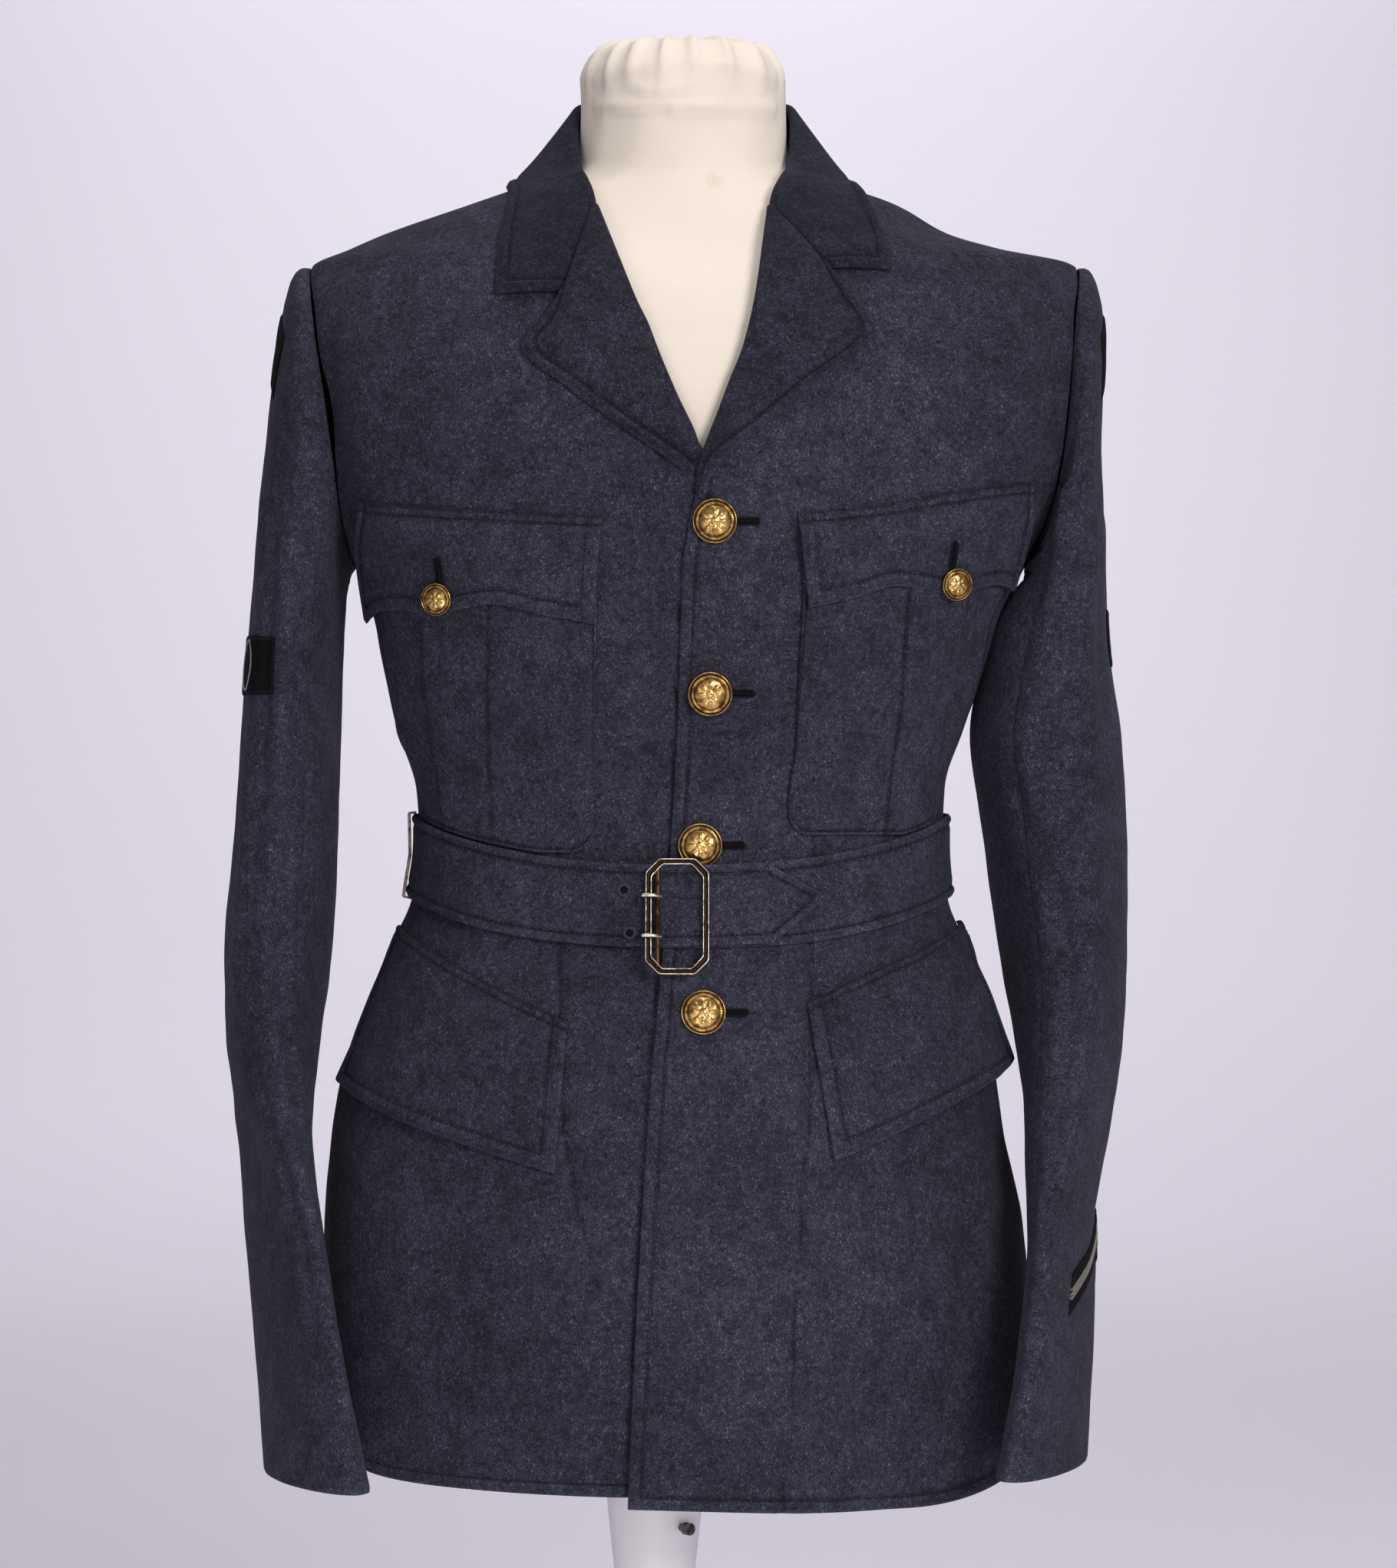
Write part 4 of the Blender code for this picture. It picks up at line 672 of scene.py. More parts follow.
def spread(last, parts, near_start=(), near_end=()):
    """Places of finer rows or columns between 0 and last, with extra ones near an end."""
    even = np.linspace(0.0, last, last * parts + 1)
    return np.unique(np.round(np.concatenate((even, near_start, last - np.asarray(near_end))), 6))


def refine(values, axis, at):
    """Read a grid at finer places along one axis, on smooth curves through its rows."""
    values = np.moveaxis(np.asarray(values, float), axis, 0)
    last = len(values) - 1
    i = np.minimum(at.astype(int), last - 1)
    t = (at - i).reshape(-1, *[1] * (values.ndim - 1))
    start, end = values[i], values[i + 1]
    before = np.where((i == 0).reshape(t.shape), 2 * start - end, values[np.maximum(i - 1, 0)])
    after = np.where((i == last - 1).reshape(t.shape), 2 * end - start, values[np.minimum(i + 2, last)])
    leave, arrive = (end - before) / 2, (after - start) / 2
    fine = (2 * t**3 - 3 * t**2 + 1) * start + (t**3 - 2 * t**2 + t) * leave
    fine = fine + (3 * t**2 - 2 * t**3) * end + (t**3 - t**2) * arrive
    return np.moveaxis(fine, 0, axis)


def grid_normals(grid):
    down = np.gradient(grid, axis=0)
    over = np.gradient(grid, axis=1)
    return normalized(np.cross(down, over))


def lengths(grid, axis):
    """Path length along an axis of a grid, from its first row or column."""
    steps = np.linalg.norm(np.diff(grid, axis=axis), axis=-1)
    start = np.zeros_like(np.take(steps, [0], axis=axis))
    return np.concatenate((start, np.cumsum(steps, axis=axis)), axis=axis)


def edge_distance(grid, edges):
    """Distance of each point from the nearest of the named edges: first, last, left, right."""
    down, over = lengths(grid, 0), lengths(grid, 1)
    found = np.full(grid.shape[:2], 1.0)
    choices = {"first": down, "last": down[-1:] - down, "left": over, "right": over[:, -1:] - over}
    for edge in edges:
        found = np.minimum(found, choices[edge])
    return found


def sewn_edge(distance, inset, height=0.0005):
    """Relief of a turned and stitched edge: rounded over, full, then pressed in at the stitching."""
    over = -0.0008 * bump(distance, 0.0011)
    full = 1.5 * height * bump(distance - inset * 0.5, inset * 0.3)
    pressed = -0.0008 * bump(distance - inset, 0.0014)
    return over + full + pressed


def mesh_object(name, points, faces):
    mesh = bpy.data.meshes.new(name)
    faces = faces.tolist() if isinstance(faces, np.ndarray) else faces
    mesh.from_pydata(np.reshape(points, (-1, 3)).tolist(), [], faces)
    mesh.update()
    mesh.shade_smooth()
    made = bpy.data.objects.new(name, mesh)
    bpy.context.scene.collection.objects.link(made)
    return made


GRIDS = {}  # the outer face of each cloth piece, for the stitching that follows it


def quads(rows, columns, ring=False):
    spans = columns if ring else columns - 1
    i, j = np.meshgrid(np.arange(rows - 1), np.arange(spans), indexing="ij")
    k = (j + 1) % columns
    corners = (i * columns + j, i * columns + k, (i + 1) * columns + k, (i + 1) * columns + j)
    return np.stack(corners, axis=-1).reshape(-1, 4)


def rim(indices, rows, columns, ring):
    """The boundary of a grid as a closed loop of vertex numbers, or two loops for a ring."""
    grid = indices.reshape(rows, columns)
    if ring:
        return [grid[0], grid[-1][::-1]]
    return [np.concatenate((grid[0, :-1], grid[:-1, -1], grid[-1, :0:-1], grid[:0:-1, 0]))]


def wall(name, outer, inner, edge, stitched, seam, ring=False):
    """Close two grids into one wall; edge, stitched and seam are each point's distance from those lines."""
    rows, columns = outer.shape[:2]
    count = rows * columns
    flat_out, flat_in = outer.reshape(-1, 3), inner.reshape(-1, 3)
    outside = quads(rows, columns, ring)
    points, faces = [flat_out, flat_in], [outside, outside[:, ::-1] + count]
    start = 2 * count
    for loop in rim(np.arange(count), rows, columns, ring):
        points.append((flat_out[loop] + flat_in[loop]) / 2)
        here = start + np.arange(len(loop))
        start += len(loop)
        ahead, next_here = np.roll(loop, -1), np.roll(here, -1)
        faces.append(np.stack((ahead, loop, here, next_here), -1))
        faces.append(np.stack((next_here, here, loop + count, ahead + count), -1))
    made = mesh_object(name, np.concatenate(points), np.concatenate(faces))
    for title, values, at_rim in (("edge", edge, 0.0), ("stitched", stitched, 0.02), ("seam", seam, 0.02)):
        values = np.broadcast_to(values, (rows, columns)).ravel()
        whole = np.concatenate((values, values, np.full(start - 2 * count, at_rim)))
        set_values(made, title, whole)
    GRIDS[name] = outer
    face_outwards(made)
    return made


def face_outwards(made):
    built = bmesh.new()
    built.from_mesh(made.data)
    bmesh.ops.recalc_face_normals(built, faces=built.faces)
    built.to_mesh(made.data)
    built.free()


def finish_cloth(made, node, material):
    """Give a cloth piece its material, hang it under the root and hide the CAD part it stands for, if one is
    named.
    """
    made.data.materials.append(material)
    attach(made, "root")
    if node:
        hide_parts(node)
    return made


# The body: fronts and back

# Darts and seams pressed into the fronts, as seen from in front (x, height), and the back's by angle and height
FRONT_LINES = {
    "right_front": (
        ((-0.06, 0.87), (-0.08, 0.834), (-0.098, 0.803)),
        ((-0.05, 0.552), (-0.049, 0.515), (-0.048, 0.485), (-0.047, 0.458), (-0.04, 0.42),
         (-0.0285, 0.374)),
        ((-0.06, 0.73), (-0.056, 0.69), (-0.052, 0.63), (-0.05, 0.552)),
    ),
    "left_front": (
        ((0.116, 0.874), (0.135, 0.841), (0.15, 0.811)),
        ((0.085, 0.556), (0.0855, 0.52), (0.085, 0.475), (0.08, 0.43), (0.069, 0.25)),
        ((0.101, 0.73), (0.096, 0.69), (0.088, 0.63), (0.085, 0.556)),
    ),
}
BACK_LINES = (
    ((180, 0.99), (180, 0.26)),
    ((122, 0.86), (138, 0.77), (146, 0.63), (145, 0.56), (141, 0.25)),
    ((238, 0.86), (222, 0.77), (214, 0.63), (215, 0.56), (219, 0.25)),
)


def line_distance(a, b, lines, a_step=1.0):
    """Distance of places (a, b) from the nearest of some polylines."""
    found = np.full(np.broadcast(a, b).shape, 1.0)
    for line in lines:
        line = np.asarray(line, float)
        for start, end in zip(line[:-1], line[1:]):
            way = (end - start) * (a_step, 1.0)
            across, along = (a - start[0]) * a_step, b - start[1]
            share = np.clip((across * way[0] + along * way[1]) / (way @ way), 0.0, 1.0)
            found = np.minimum(found, np.hypot(across - share * way[0], along - share * way[1]))
    return found


def front_places(side):
    """Coarse rows of (angle, height) of a front, from its edge to the side seam."""
    edge = LEFT_EDGE if side > 0 else RIGHT_EDGE
    name = "left" if side > 0 else "right"
    rows = []
    for i in range(LOWER_ROWS + 1):
        height = mix(HEM, UNDERARM, i / LOWER_ROWS)
        start = float(angle_of(curve(edge, 1, height), height))
        row = []
        for j in range(FRONT_COLUMNS + 1):
            angle = mix(start, side * 90.0, j / FRONT_COLUMNS)
            row.append((angle, hemmed(name, angle, height, i)))
        rows.append(row)
    first, last = float(curve(edge, 1, UNDERARM)), armhole_x(side, UNDERARM)
    shares = [(float(body_point(angle, UNDERARM)[0]) - first) / (last - first) for angle, _ in rows[-1]]
    for i in range(1, UPPER_ROWS + 1):
        up = i / UPPER_ROWS
        inner_x = float(curve(edge, 1, mix(UNDERARM, NECK_SEAM, rise(up, 0.0))))
        outer_height = mix(UNDERARM, SHOULDER, rise(up))
        row = []
        for j in range(FRONT_COLUMNS + 1):
            x = mix(inner_x, armhole_x(side, outer_height), mix(shares[j], j / FRONT_COLUMNS, up))
            height = mix(UNDERARM, shoulder_line(x), rise(up, 2 * j / FRONT_COLUMNS - 1))
            if j == FRONT_COLUMNS:
                height = outer_height
            row.append((float(angle_of(x, height)), height))
        rows.append(row)
    return np.array(rows)


def back_places():
    """Coarse rows of (angle, height) of the back, from the left side seam to the right one."""
    columns = 2 * FRONT_COLUMNS + NECK_COLUMNS
    rows = []
    for i in range(LOWER_ROWS + 1):
        height = mix(HEM, UNDERARM, i / LOWER_ROWS)
        row = []
        for j in range(columns + 1):
            angle = mix(90.0, 270.0, j / columns)
            row.append((angle, hemmed("back", angle, height, i)))
        rows.append(row)
    low_left, low_right = armhole_x(1, UNDERARM), armhole_x(-1, UNDERARM)
    low = [(float(body_point(spot[0], UNDERARM)[0]) - low_left) / (low_right - low_left) for spot in rows[-1]]
    left, right = armhole_x(1, SHOULDER), armhole_x(-1, SHOULDER)
    neck = (BODY_X + NECK_HALF, BODY_X - NECK_HALF)
    high = [mix(left, neck[0], j / FRONT_COLUMNS) for j in range(FRONT_COLUMNS)]
    high += [mix(*neck, (1 - math.cos(math.pi * j / NECK_COLUMNS)) / 2) for j in range(NECK_COLUMNS)]
    high += [mix(neck[1], right, j / FRONT_COLUMNS) for j in range(FRONT_COLUMNS + 1)]
    high = [(x - left) / (right - left) for x in high]
    for i in range(1, UPPER_ROWS + 1):
        up = i / UPPER_ROWS
        side_height = mix(UNDERARM, SHOULDER, rise(up))
        ends = armhole_x(1, side_height), armhole_x(-1, side_height)
        row = []
        for j in range(columns + 1):
            x = mix(*ends, mix(low[j], high[j], up))
            inward = min(j, columns - j) / FRONT_COLUMNS
            height = mix(UNDERARM, shoulder_line(x), rise(up, 1 - 2 * inward))
            if j in (0, columns):
                height = side_height
            row.append((float(angle_of(x, height, True)) % 360.0, height))
        rows.append(row)
    return np.array(rows)


def body_panel(name, places, parts, lines, lifted, material):
    """A front or the back as a wall of cloth with its seams, its pressed lines and its stitched edges."""
    near = (0.03, 0.07, 0.13, 0.2)
    rows = spread(places.shape[0] - 1, parts, near_start=near, near_end=near)
    columns = spread(places.shape[1] - 1, parts, near_start=near, near_end=near)
    fine = refine(refine(places, 0, rows), 1, columns)
    angle, height = fine[..., 0], fine[..., 1]
    # the seam's small gap stays at the seam itself
    shift = np.zeros_like(angle)
    if name == "back":
        shift[:, 0] = shift[:, -1] = SEAM / 2
    else:
        shift[:, -1] = shift[-1] = -SEAM / 2
    smooth = body_point(angle, height)
    lift = lap_lift(smooth[..., 0], height) if lifted else np.zeros_like(angle)
    sewn_sides = {"back": ("first",), "left_front": ("first", "left"), "right_front": ("first", "left")}[name]
    seam_sides = {"back": ("last", "left", "right")}.get(name, ("last", "right"))
    free = edge_distance(smooth, sewn_sides)
    seam = edge_distance(smooth, seam_sides)
    across = angle * GIRTH_STEP if name == "back" else smooth[..., 0]
    pressed = line_distance(across, height, lines)
    # a pressed line beside the lapped left front's edge, also darkened in the material as painted shadow of that
    # edge
    if name == "right_front":
        shaded_lap_line = np.array([(x - 0.0012, z) for z, x in LEFT_EDGE if z < 0.8])
        pressed = np.minimum(pressed, line_distance(across, height, (shaded_lap_line,)))
    relief = sewn_edge(free, settings().stitch_inset) - 0.0005 * bump(seam, 0.0022)
    if lifted:
        below = ease((0.575 - height) / 0.05)
        relief = relief + 0.0017 * below * bump(edge_distance(smooth, ("left",)), 0.013)
    relief = relief - 0.0013 * bump(pressed, 0.0026) + 0.0006 * bump(pressed - 0.006, 0.003)
    outer = cloth(angle, height, lift + relief)
    inner = cloth(angle, height, lift + relief * 0.6 - settings().cloth_thickness)
    for grid in (outer, inner):
        grid[..., 1] += shift
    stitched = np.abs(free - settings().stitch_inset)
    # the seam attribute darkens the seams, the darts and that line in the material: painted shade
    made = wall(name, outer, inner, free, stitched, np.minimum(seam + 0.0014, pressed))
    return finish_cloth(made, name, material)


# Sleeves

def armhole_point(side, turn):
    turn = np.asarray(turn, float)
    height = mix(UNDERARM, SHOULDER, (1 + np.cos(np.radians(turn))) / 2)
    behind = np.sin(np.radians(turn)) < -1e-9
    return body_point(angle_of(armhole_x(side, height), height, behind), height) + np.array((side * 0.0005, 0, 0))


def sleeve_point(side, turn, row):
    """Points of a sleeve: turn 0 faces outwards and 90 forwards; row 0 is the armhole."""
    turn, row = np.broadcast_arrays(np.asarray(turn, float), np.asarray(row, float))
    table = numbered(LEFT_SLEEVE if side > 0 else RIGHT_SLEEVE)
    table[:, 0] += HEAD_ROWS
    at = [curve(table, column, np.maximum(HEAD_ROWS, row)) for column in range(1, 8)]
    inner = np.stack((at[0], at[4], at[1]), axis=-1)
    outer = np.stack((at[2], at[4], at[3]), axis=-1)
    half = (outer - inner) / 2
    twist, depth = np.radians(at[6]), at[5]
    width = np.sum(half**2, axis=-1) - (depth * np.sin(twist)) ** 2
    flat = np.sqrt(np.maximum(1e-6, width)) / np.cos(twist)
    outward = normalized(half)
    forward = np.array((0.0, -1.0, 0.0))
    sine, cosine = np.sin(twist)[..., None], np.cos(twist)[..., None]
    short_way = normalized(outward * cosine + forward * sine)
    long_way = normalized(forward * cosine - outward * sine)
    angle = np.radians(turn) + twist * 0.6
    point = (inner + outer) / 2 + short_way * (flat * np.cos(angle))[..., None]
    point = point + long_way * (depth * np.sin(angle))[..., None]
    share = np.clip(row / HEAD_ROWS, 0.0, 1.0)[..., None]
    start = armhole_point(side, turn)
    full = (0.1 + 0.9 * (1 + np.cos(np.radians(turn))) / 2)[..., None]
    bend = start + np.array((side * HEAD_OUT, 0.0, HEAD_UP)) * full
    bend[..., 1] -= HEAD_AHEAD * np.maximum(0.0, np.sin(np.radians(turn)))
    first = mix(start, bend, share)
    return mix(first, mix(bend, point, share), share)


def sleeve_cloth(side, turn, row, lift=0.0):
    """Points on a sleeve, or off it along its normal, with its creases."""
    last = float(SLEEVE_ROWS)
    around = sleeve_point(side, turn + 2, row) - sleeve_point(side, turn - 2, row)
    along = sleeve_point(side, turn, np.minimum(last, row + 0.1))
    along = along - sleeve_point(side, turn, np.maximum(0.0, row - 0.1))
    normal = normalized(np.cross(around, along)) * side
    fade = ease(row / 1.4)
    folds = 1.25 * creased(SLEEVE_CREASES[side], turn, row, SLEEVE_STEP, ROW_STEP)
    folds = folds + 1.4 * ripple(turn * SLEEVE_STEP + side, row * ROW_STEP)
    return sleeve_point(side, turn, row) + normal * np.asarray(lift + folds * fade)[..., None]


def sleeve_row(side, height):
    return halved(0.0, float(SLEEVE_ROWS), lambda row: float(sleeve_point(side, 0.0, row)[2]) > height)


def sleeve_piece(name, side, start, end, material):
    rows = np.unique(np.concatenate((np.linspace(0, HEAD_ROWS, 21), np.linspace(HEAD_ROWS, SLEEVE_ROWS, 151))))
    rows = np.unique(np.concatenate((rows, (0.06, 0.12), SLEEVE_ROWS - np.array((0.012, 0.025, 0.04)))))
    gap = 0.4 if end > start else -0.4
    count = int(abs(end - start) / 3.4)
    turns = np.linspace(start + gap, end - gap, count + 1)
    sides = np.array((0.7, 1.6, 2.6)) * np.sign(end - start)
    turns = np.unique(np.concatenate((turns, turns[0] + sides, turns[-1] - sides)))
    if end < start:
        turns = turns[::-1]
    row, turn = np.meshgrid(rows, turns, indexing="ij")
    smooth = sleeve_point(side, turn, row)
    seam = edge_distance(smooth, ("left", "right", "first"))
    cuff = edge_distance(smooth, ("last",))
    relief = -0.0003 * bump(seam, 0.0022) - 0.0006 * bump(cuff, 0.0012)
    thick = settings().cloth_thickness
    proud = thick * (0.2 + 0.8 * ease(row / 0.8))
    outer = sleeve_cloth(side, turn, row, relief + proud)
    inner = sleeve_cloth(side, turn, row, relief * 0.6 + proud - thick)
    # the seam attribute, set off by 1.6 mm, gives weaker painted shade along the sleeve's seams and armhole
    made = wall(name, outer, inner, cuff, 0.02, seam + 0.0016)
    return finish_cloth(made, name, material)


# Lapels and collar

def rolled(grid, normals, radius, steps=9):
    """Points that roll over a grid's first column to its underside, away from the grid."""
    edge, up = grid[:, 0], normals[:, 0]
    along = normalized(np.gradient(edge, axis=0))
    away = normalized(np.cross(along, up))
    if np.sum(away * (grid[:, 1] - grid[:, 0])) > 0:
        away = -away
    radius = np.broadcast_to(radius, len(edge))[:, None]
    rows = []
    for phi in np.linspace(math.pi, 0, steps, endpoint=False):
        rows.append(edge + up * radius * (math.cos(phi) - 1) + away * radius * math.sin(phi))
    return np.stack(rows, axis=1)


def turned_back(name, outer, inner, normals, radii, free, inset, seam, material):
    """A turned-back piece of cloth with the fold that joins it to what lies under it."""
    rolls = [rolled(grid, normals, radius) for grid, radius in ((outer, radii[0]), (inner, radii[1]))]
    whole, under = (np.concatenate(pair, 1) for pair in zip(rolls, (outer, inner)))
    plain = np.full((len(outer), rolls[0].shape[1]), 0.02)
    edge, stitched, seam = (np.concatenate((plain, field), 1) for field in (free, np.abs(free - inset), seam))
    made = wall(name, whole, under, edge, stitched, seam)
    return finish_cloth(made, name, material)


def lapel(name, side, material):
    table = numbered(LEFT_LAPEL if side > 0 else RIGHT_LAPEL)
    last = len(table) - 1
    rows = spread(last, 12, near_start=(0.03,), near_end=(0.015, 0.03, 0.05))
    shares = stops(44, 0.975, 0.985, 0.993)
    roll_x, roll_z, edge_x, edge_z = (curve(table, column, rows)[:, None] for column in range(1, 5))
    x, z = mix(roll_x, edge_x, shares), mix(roll_z, edge_z, shares)
    base = ground(side, x, z)
    flat = seen(x, z, base)
    angle = angle_of(x, z)
    up = body_normal(angle, z)
    free = edge_distance(flat, ("right",))
    gorge = edge_distance(flat, ("last",))
    arch = 0.0024 * np.sin(np.pi * shares) ** 0.9 * ease(rows[:, None] / 1.5)
    arch = arch + 0.0008 * np.sin(2.2 * np.pi * shares) * np.sin(rows[:, None] * 1.1 + 0.8)
    arch = arch * (1 - 0.7 * bump(gorge, 0.006))
    relief = sewn_edge(free, settings().stitch_inset + 0.0005, 0.0007) - 0.0011 * bump(gorge, 0.0018)
    sink = ease((rows[:, None] + 0.02) / 0.75)
    outer = flat + up * mix(0.0001 + relief, COLLAR_LIFT + arch + relief, sink)[..., None]
    inner = flat + up * mix(-0.0014, LAPEL_REST + arch * 0.8 + relief * 0.4, sink)[..., None]
    radii = 0.0008 + 0.002 * sink[:, 0], 0.0003 + 0.0004 * sink[:, 0]
    inset = settings().stitch_inset + 0.0005
    # the gorge goes in as the seam attribute: painted shade along it
    return turned_back(name, outer, inner, up, radii, free, inset, gorge, material)


def collar_stations():
    """Fold and edge points from the right front end, round the neck, to the left front end."""
    def front(table):
        return [(seen(fx, fz, COLLAR_LIFT), seen(ex, ez, COLLAR_LIFT)) for fx, fz, ex, ez in table]

    def around(side):
        found = []
        for away, y, z, angle, height in COLLAR_ROUND:
            found.append((np.array((BODY_X + side * away, y, z)), cloth(side * angle, height, COLLAR_REST)))
        return found

    away, y, z, angle, height = COLLAR_BACK
    back = (np.array((BODY_X + away, y, z)), cloth(angle, height, COLLAR_LIFT))
    stations = front(RIGHT_COLLAR_END) + around(-1) + [back] + (front(LEFT_COLLAR_END) + around(1))[::-1]
    folds = np.array([np.ravel(fold) for fold, _ in stations])
    edges = np.array([np.ravel(edge) for _, edge in stations])
    return folds, edges


def smoothed(points, at):
    rows = numbered(points)
    return np.stack([curve(rows, column, at) for column in (1, 2, 3)], axis=-1)


def off_body(points):
    """Signed distance of points from the body's surface, and the way out."""
    def level(at):
        height = np.clip(at[..., 2], 0.26, 0.99)
        away = at[..., 0] - BODY_X
        half = np.where(away >= 0, curve(SECTIONS, 2, height), curve(SECTIONS, 1, height))
        depth = np.where(at[..., 1] <= 0, curve(SECTIONS, 3, height), curve(SECTIONS, 4, height))
        square = curve(SECTIONS, 5, height)
        return ((np.abs(away) / half) ** square + (np.abs(at[..., 1]) / depth) ** square) ** (1 / square) - 1

    here = level(points)
    step = 0.0005
    slope = [(level(points + step * way) - level(points - step * way)) / (2 * step) for way in np.eye(3)]
    slope = np.stack(slope, axis=-1)
    steep = np.maximum(np.linalg.norm(slope, axis=-1), 1e-6)
    return here / steep, slope / steep[..., None]


def rested(points, lift):
    """Move points out to lie at least lift off the body."""
    for _ in range(4):
        away, out = off_body(points)
        points = points + out * np.maximum(0.0, lift - away)[..., None]
    return points


def collar(material):
    folds, edges = collar_stations()
    last = len(folds) - 1
    rows = spread(last, 22, near_start=(0.012, 0.03), near_end=(0.012, 0.03))
    shares = stops(30, 0.965, 0.98, 0.99)
    fold, edge = soften(refine(folds, 0, rows), 9), soften(refine(edges, 0, rows), 15)
    bow = np.sin(math.pi * shares)
    flat = mix(fold[:, None], edge[:, None], shares[None, :, None])
    at_front = ease((2.5 - np.minimum(rows, last - rows)) / 2.5)[:, None]
    flat[..., 2] += COLLAR_ARCH * bow * (1 - at_front)
    flat = rested(flat, COLLAR_REST)
    for _ in range(2):
        flat = rested(soften(flat, 9), COLLAR_REST)
    up = grid_normals(flat)
    middle = len(rows) // 2
    up = up * (1 if up[middle, 4, 1] > 0 else -1)
    for _ in range(2):
        up = normalized(soften(up, 5))
    free = edge_distance(flat, ("right", "first", "last"))
    # seam darkens the fold side only near the front ends: painted shade over the groove there
    seam = edge_distance(flat, ("left",)) + np.where(at_front > 0.05, 0.0, 0.02)
    wave = 0.0006 * np.sin(rows[:, None] * 1.9 + 0.6) * shares**2
    relief = sewn_edge(free, settings().stitch_inset, 0.0007) - 0.001 * bump(seam, 0.0018)
    relief = relief + wave * (1 - at_front) + 0.0018 * bow * at_front
    outer = flat + up * relief[..., None]
    inner = flat + up * (relief * 0.5 - 0.0022)[..., None]
    from_end = np.minimum(rows, last - rows)
    wide = ease((from_end - 1.72) / 0.26)
    radii = 0.0003 + 0.0024 * wide, 0.0001 + 0.0007 * wide
    return turned_back("collar", outer, inner, up, radii, free, settings().stitch_inset, seam, material)


def soften(points, width):
    """Average each row with its neighbours along the first axis, keeping both ends."""
    reach = width // 2
    padded = np.concatenate((points[:1].repeat(reach, 0), points, points[-1:].repeat(reach, 0)))
    made = sum(padded[i:i + len(points)] for i in range(width)) / width
    share = np.clip(np.minimum(np.arange(len(points)), np.arange(len(points))[::-1]) / reach, 0, 1)
    share = share.reshape(-1, *[1] * (points.ndim - 1))
    return mix(points, made, share)


def collar_stand(material):
    folds, _ = collar_stations()
    folds = folds[3:-3]
    last = len(folds) - 1
    rows = np.linspace(0.5, last - 0.5, 24 * last)
    fold = smoothed(folds, rows)
    angle = np.degrees(np.arctan2(fold[:, 0] - BODY_X, -fold[:, 1]))
    foot = body_point(angle, NECK_SEAM)
    foot[:, 2] += SEAM
    away = fold - np.array((BODY_X, 0, 0))
    away[:, 2] = 0
    away = normalized(away)
    head = fold - away * 0.002
    head[:, 2] -= STAND_DROP
    levels = np.linspace(0, 1, 12)
    outer = mix(foot[:, None], head[:, None], levels[None, :, None])
    inner = outer - away[:, None] * 0.0016
    # its seam attribute runs up from the foot: painted shade where the stand meets the neck seam
    made = wall("collar_stand", outer, inner, 0.02, 0.02, lengths(outer, 1))
    return finish_cloth(made, "collar_stand", material)


# Pockets and flaps

def pocket(side_name, material):
    """A patch pocket with rounded lower corners and a raised box pleat."""
    inner_top, top, inner_foot, foot, outer_angle, button_x, button_z = BREAST_POCKETS[side_name]
    side = -1 if side_name == "right" else 1
    half_girth = float(curve(SECTIONS, 2 if side > 0 else 1, button_z))
    shares = stops(82, 0.985, 0.993)
    rim = angle_of(mix(inner_top, inner_foot, shares), mix(top, foot, shares))[:, None]
    near = angle_of(mix(*PLEATS[side_name], shares), mix(top, foot, shares))[:, None]
    middle = near + side * math.degrees(PLEAT_HALF / half_girth)
    far = 2 * middle - near
    step = side * 0.45
    first, pleated, third = stops(20, 0.012, 0.03, 0.97), stops(30), stops(18, 0.988, 0.97, 0.03)
    start = mix(rim, near - step, first)
    centre = np.broadcast_to(mix(near, far, pleated), (len(shares), 30))
    end = np.broadcast_to(mix(far + step, outer_angle, third), (len(shares), len(third)))
    angle = np.concatenate((start, centre, end), 1)
    raised = np.concatenate((np.zeros(len(first)), np.ones(30), np.zeros(len(third))))
    low = np.maximum(foot, belt_height(angle) + BELT_HEIGHT / 2 + 0.0015)
    girth = half_girth * 0.92
    from_side = np.minimum(np.abs(angle - rim), np.abs(angle - outer_angle)) * math.pi / 180 * girth
    corner = 0.015
    low = low + corner - np.sqrt(np.maximum(0.0, corner**2 - np.maximum(0.0, corner - from_side) ** 2))
    height = mix(top, low, shares[:, None])
    x = body_point(angle, height)[..., 0]
    base = ground(side, x, height) + POCKET_REST
    flat = body_point(angle, height)
    free = edge_distance(flat, ("last", "left", "right"))
    fold = np.minimum(np.abs(angle - near), np.abs(angle - far)) * math.pi / 180 * girth
    step_up = raised * (0.0016 - 0.0005 * bump(fold, 0.0016)) - (1 - raised) * 0.0004 * bump(fold, 0.0025)
    bulge = 0.0022 * np.sin(np.pi * np.clip(shares[:, None], 0, 1)) ** 2 * bump((angle - middle) / 34.0, 1.0)
    slack = 0.0009 * np.sin(angle * 0.22 + 9 * shares[:, None]) * shares[:, None] * (1 - bump(free, 0.02))
    relief = sewn_edge(free, 0.0022, 0.0004)
    lift = base + bulge + slack
    outer = cloth(angle, height, lift + 0.0016 + step_up + relief)
    inner = cloth(angle, height, base + relief * 0.2)
    name = side_name + "_breast_pocket"
    # the pleat's fold lines go in as the seam attribute: painted shade along the folds
    made = wall(name, outer, inner, free, np.abs(free - 0.0022), fold)
    return finish_cloth(made, name, material)


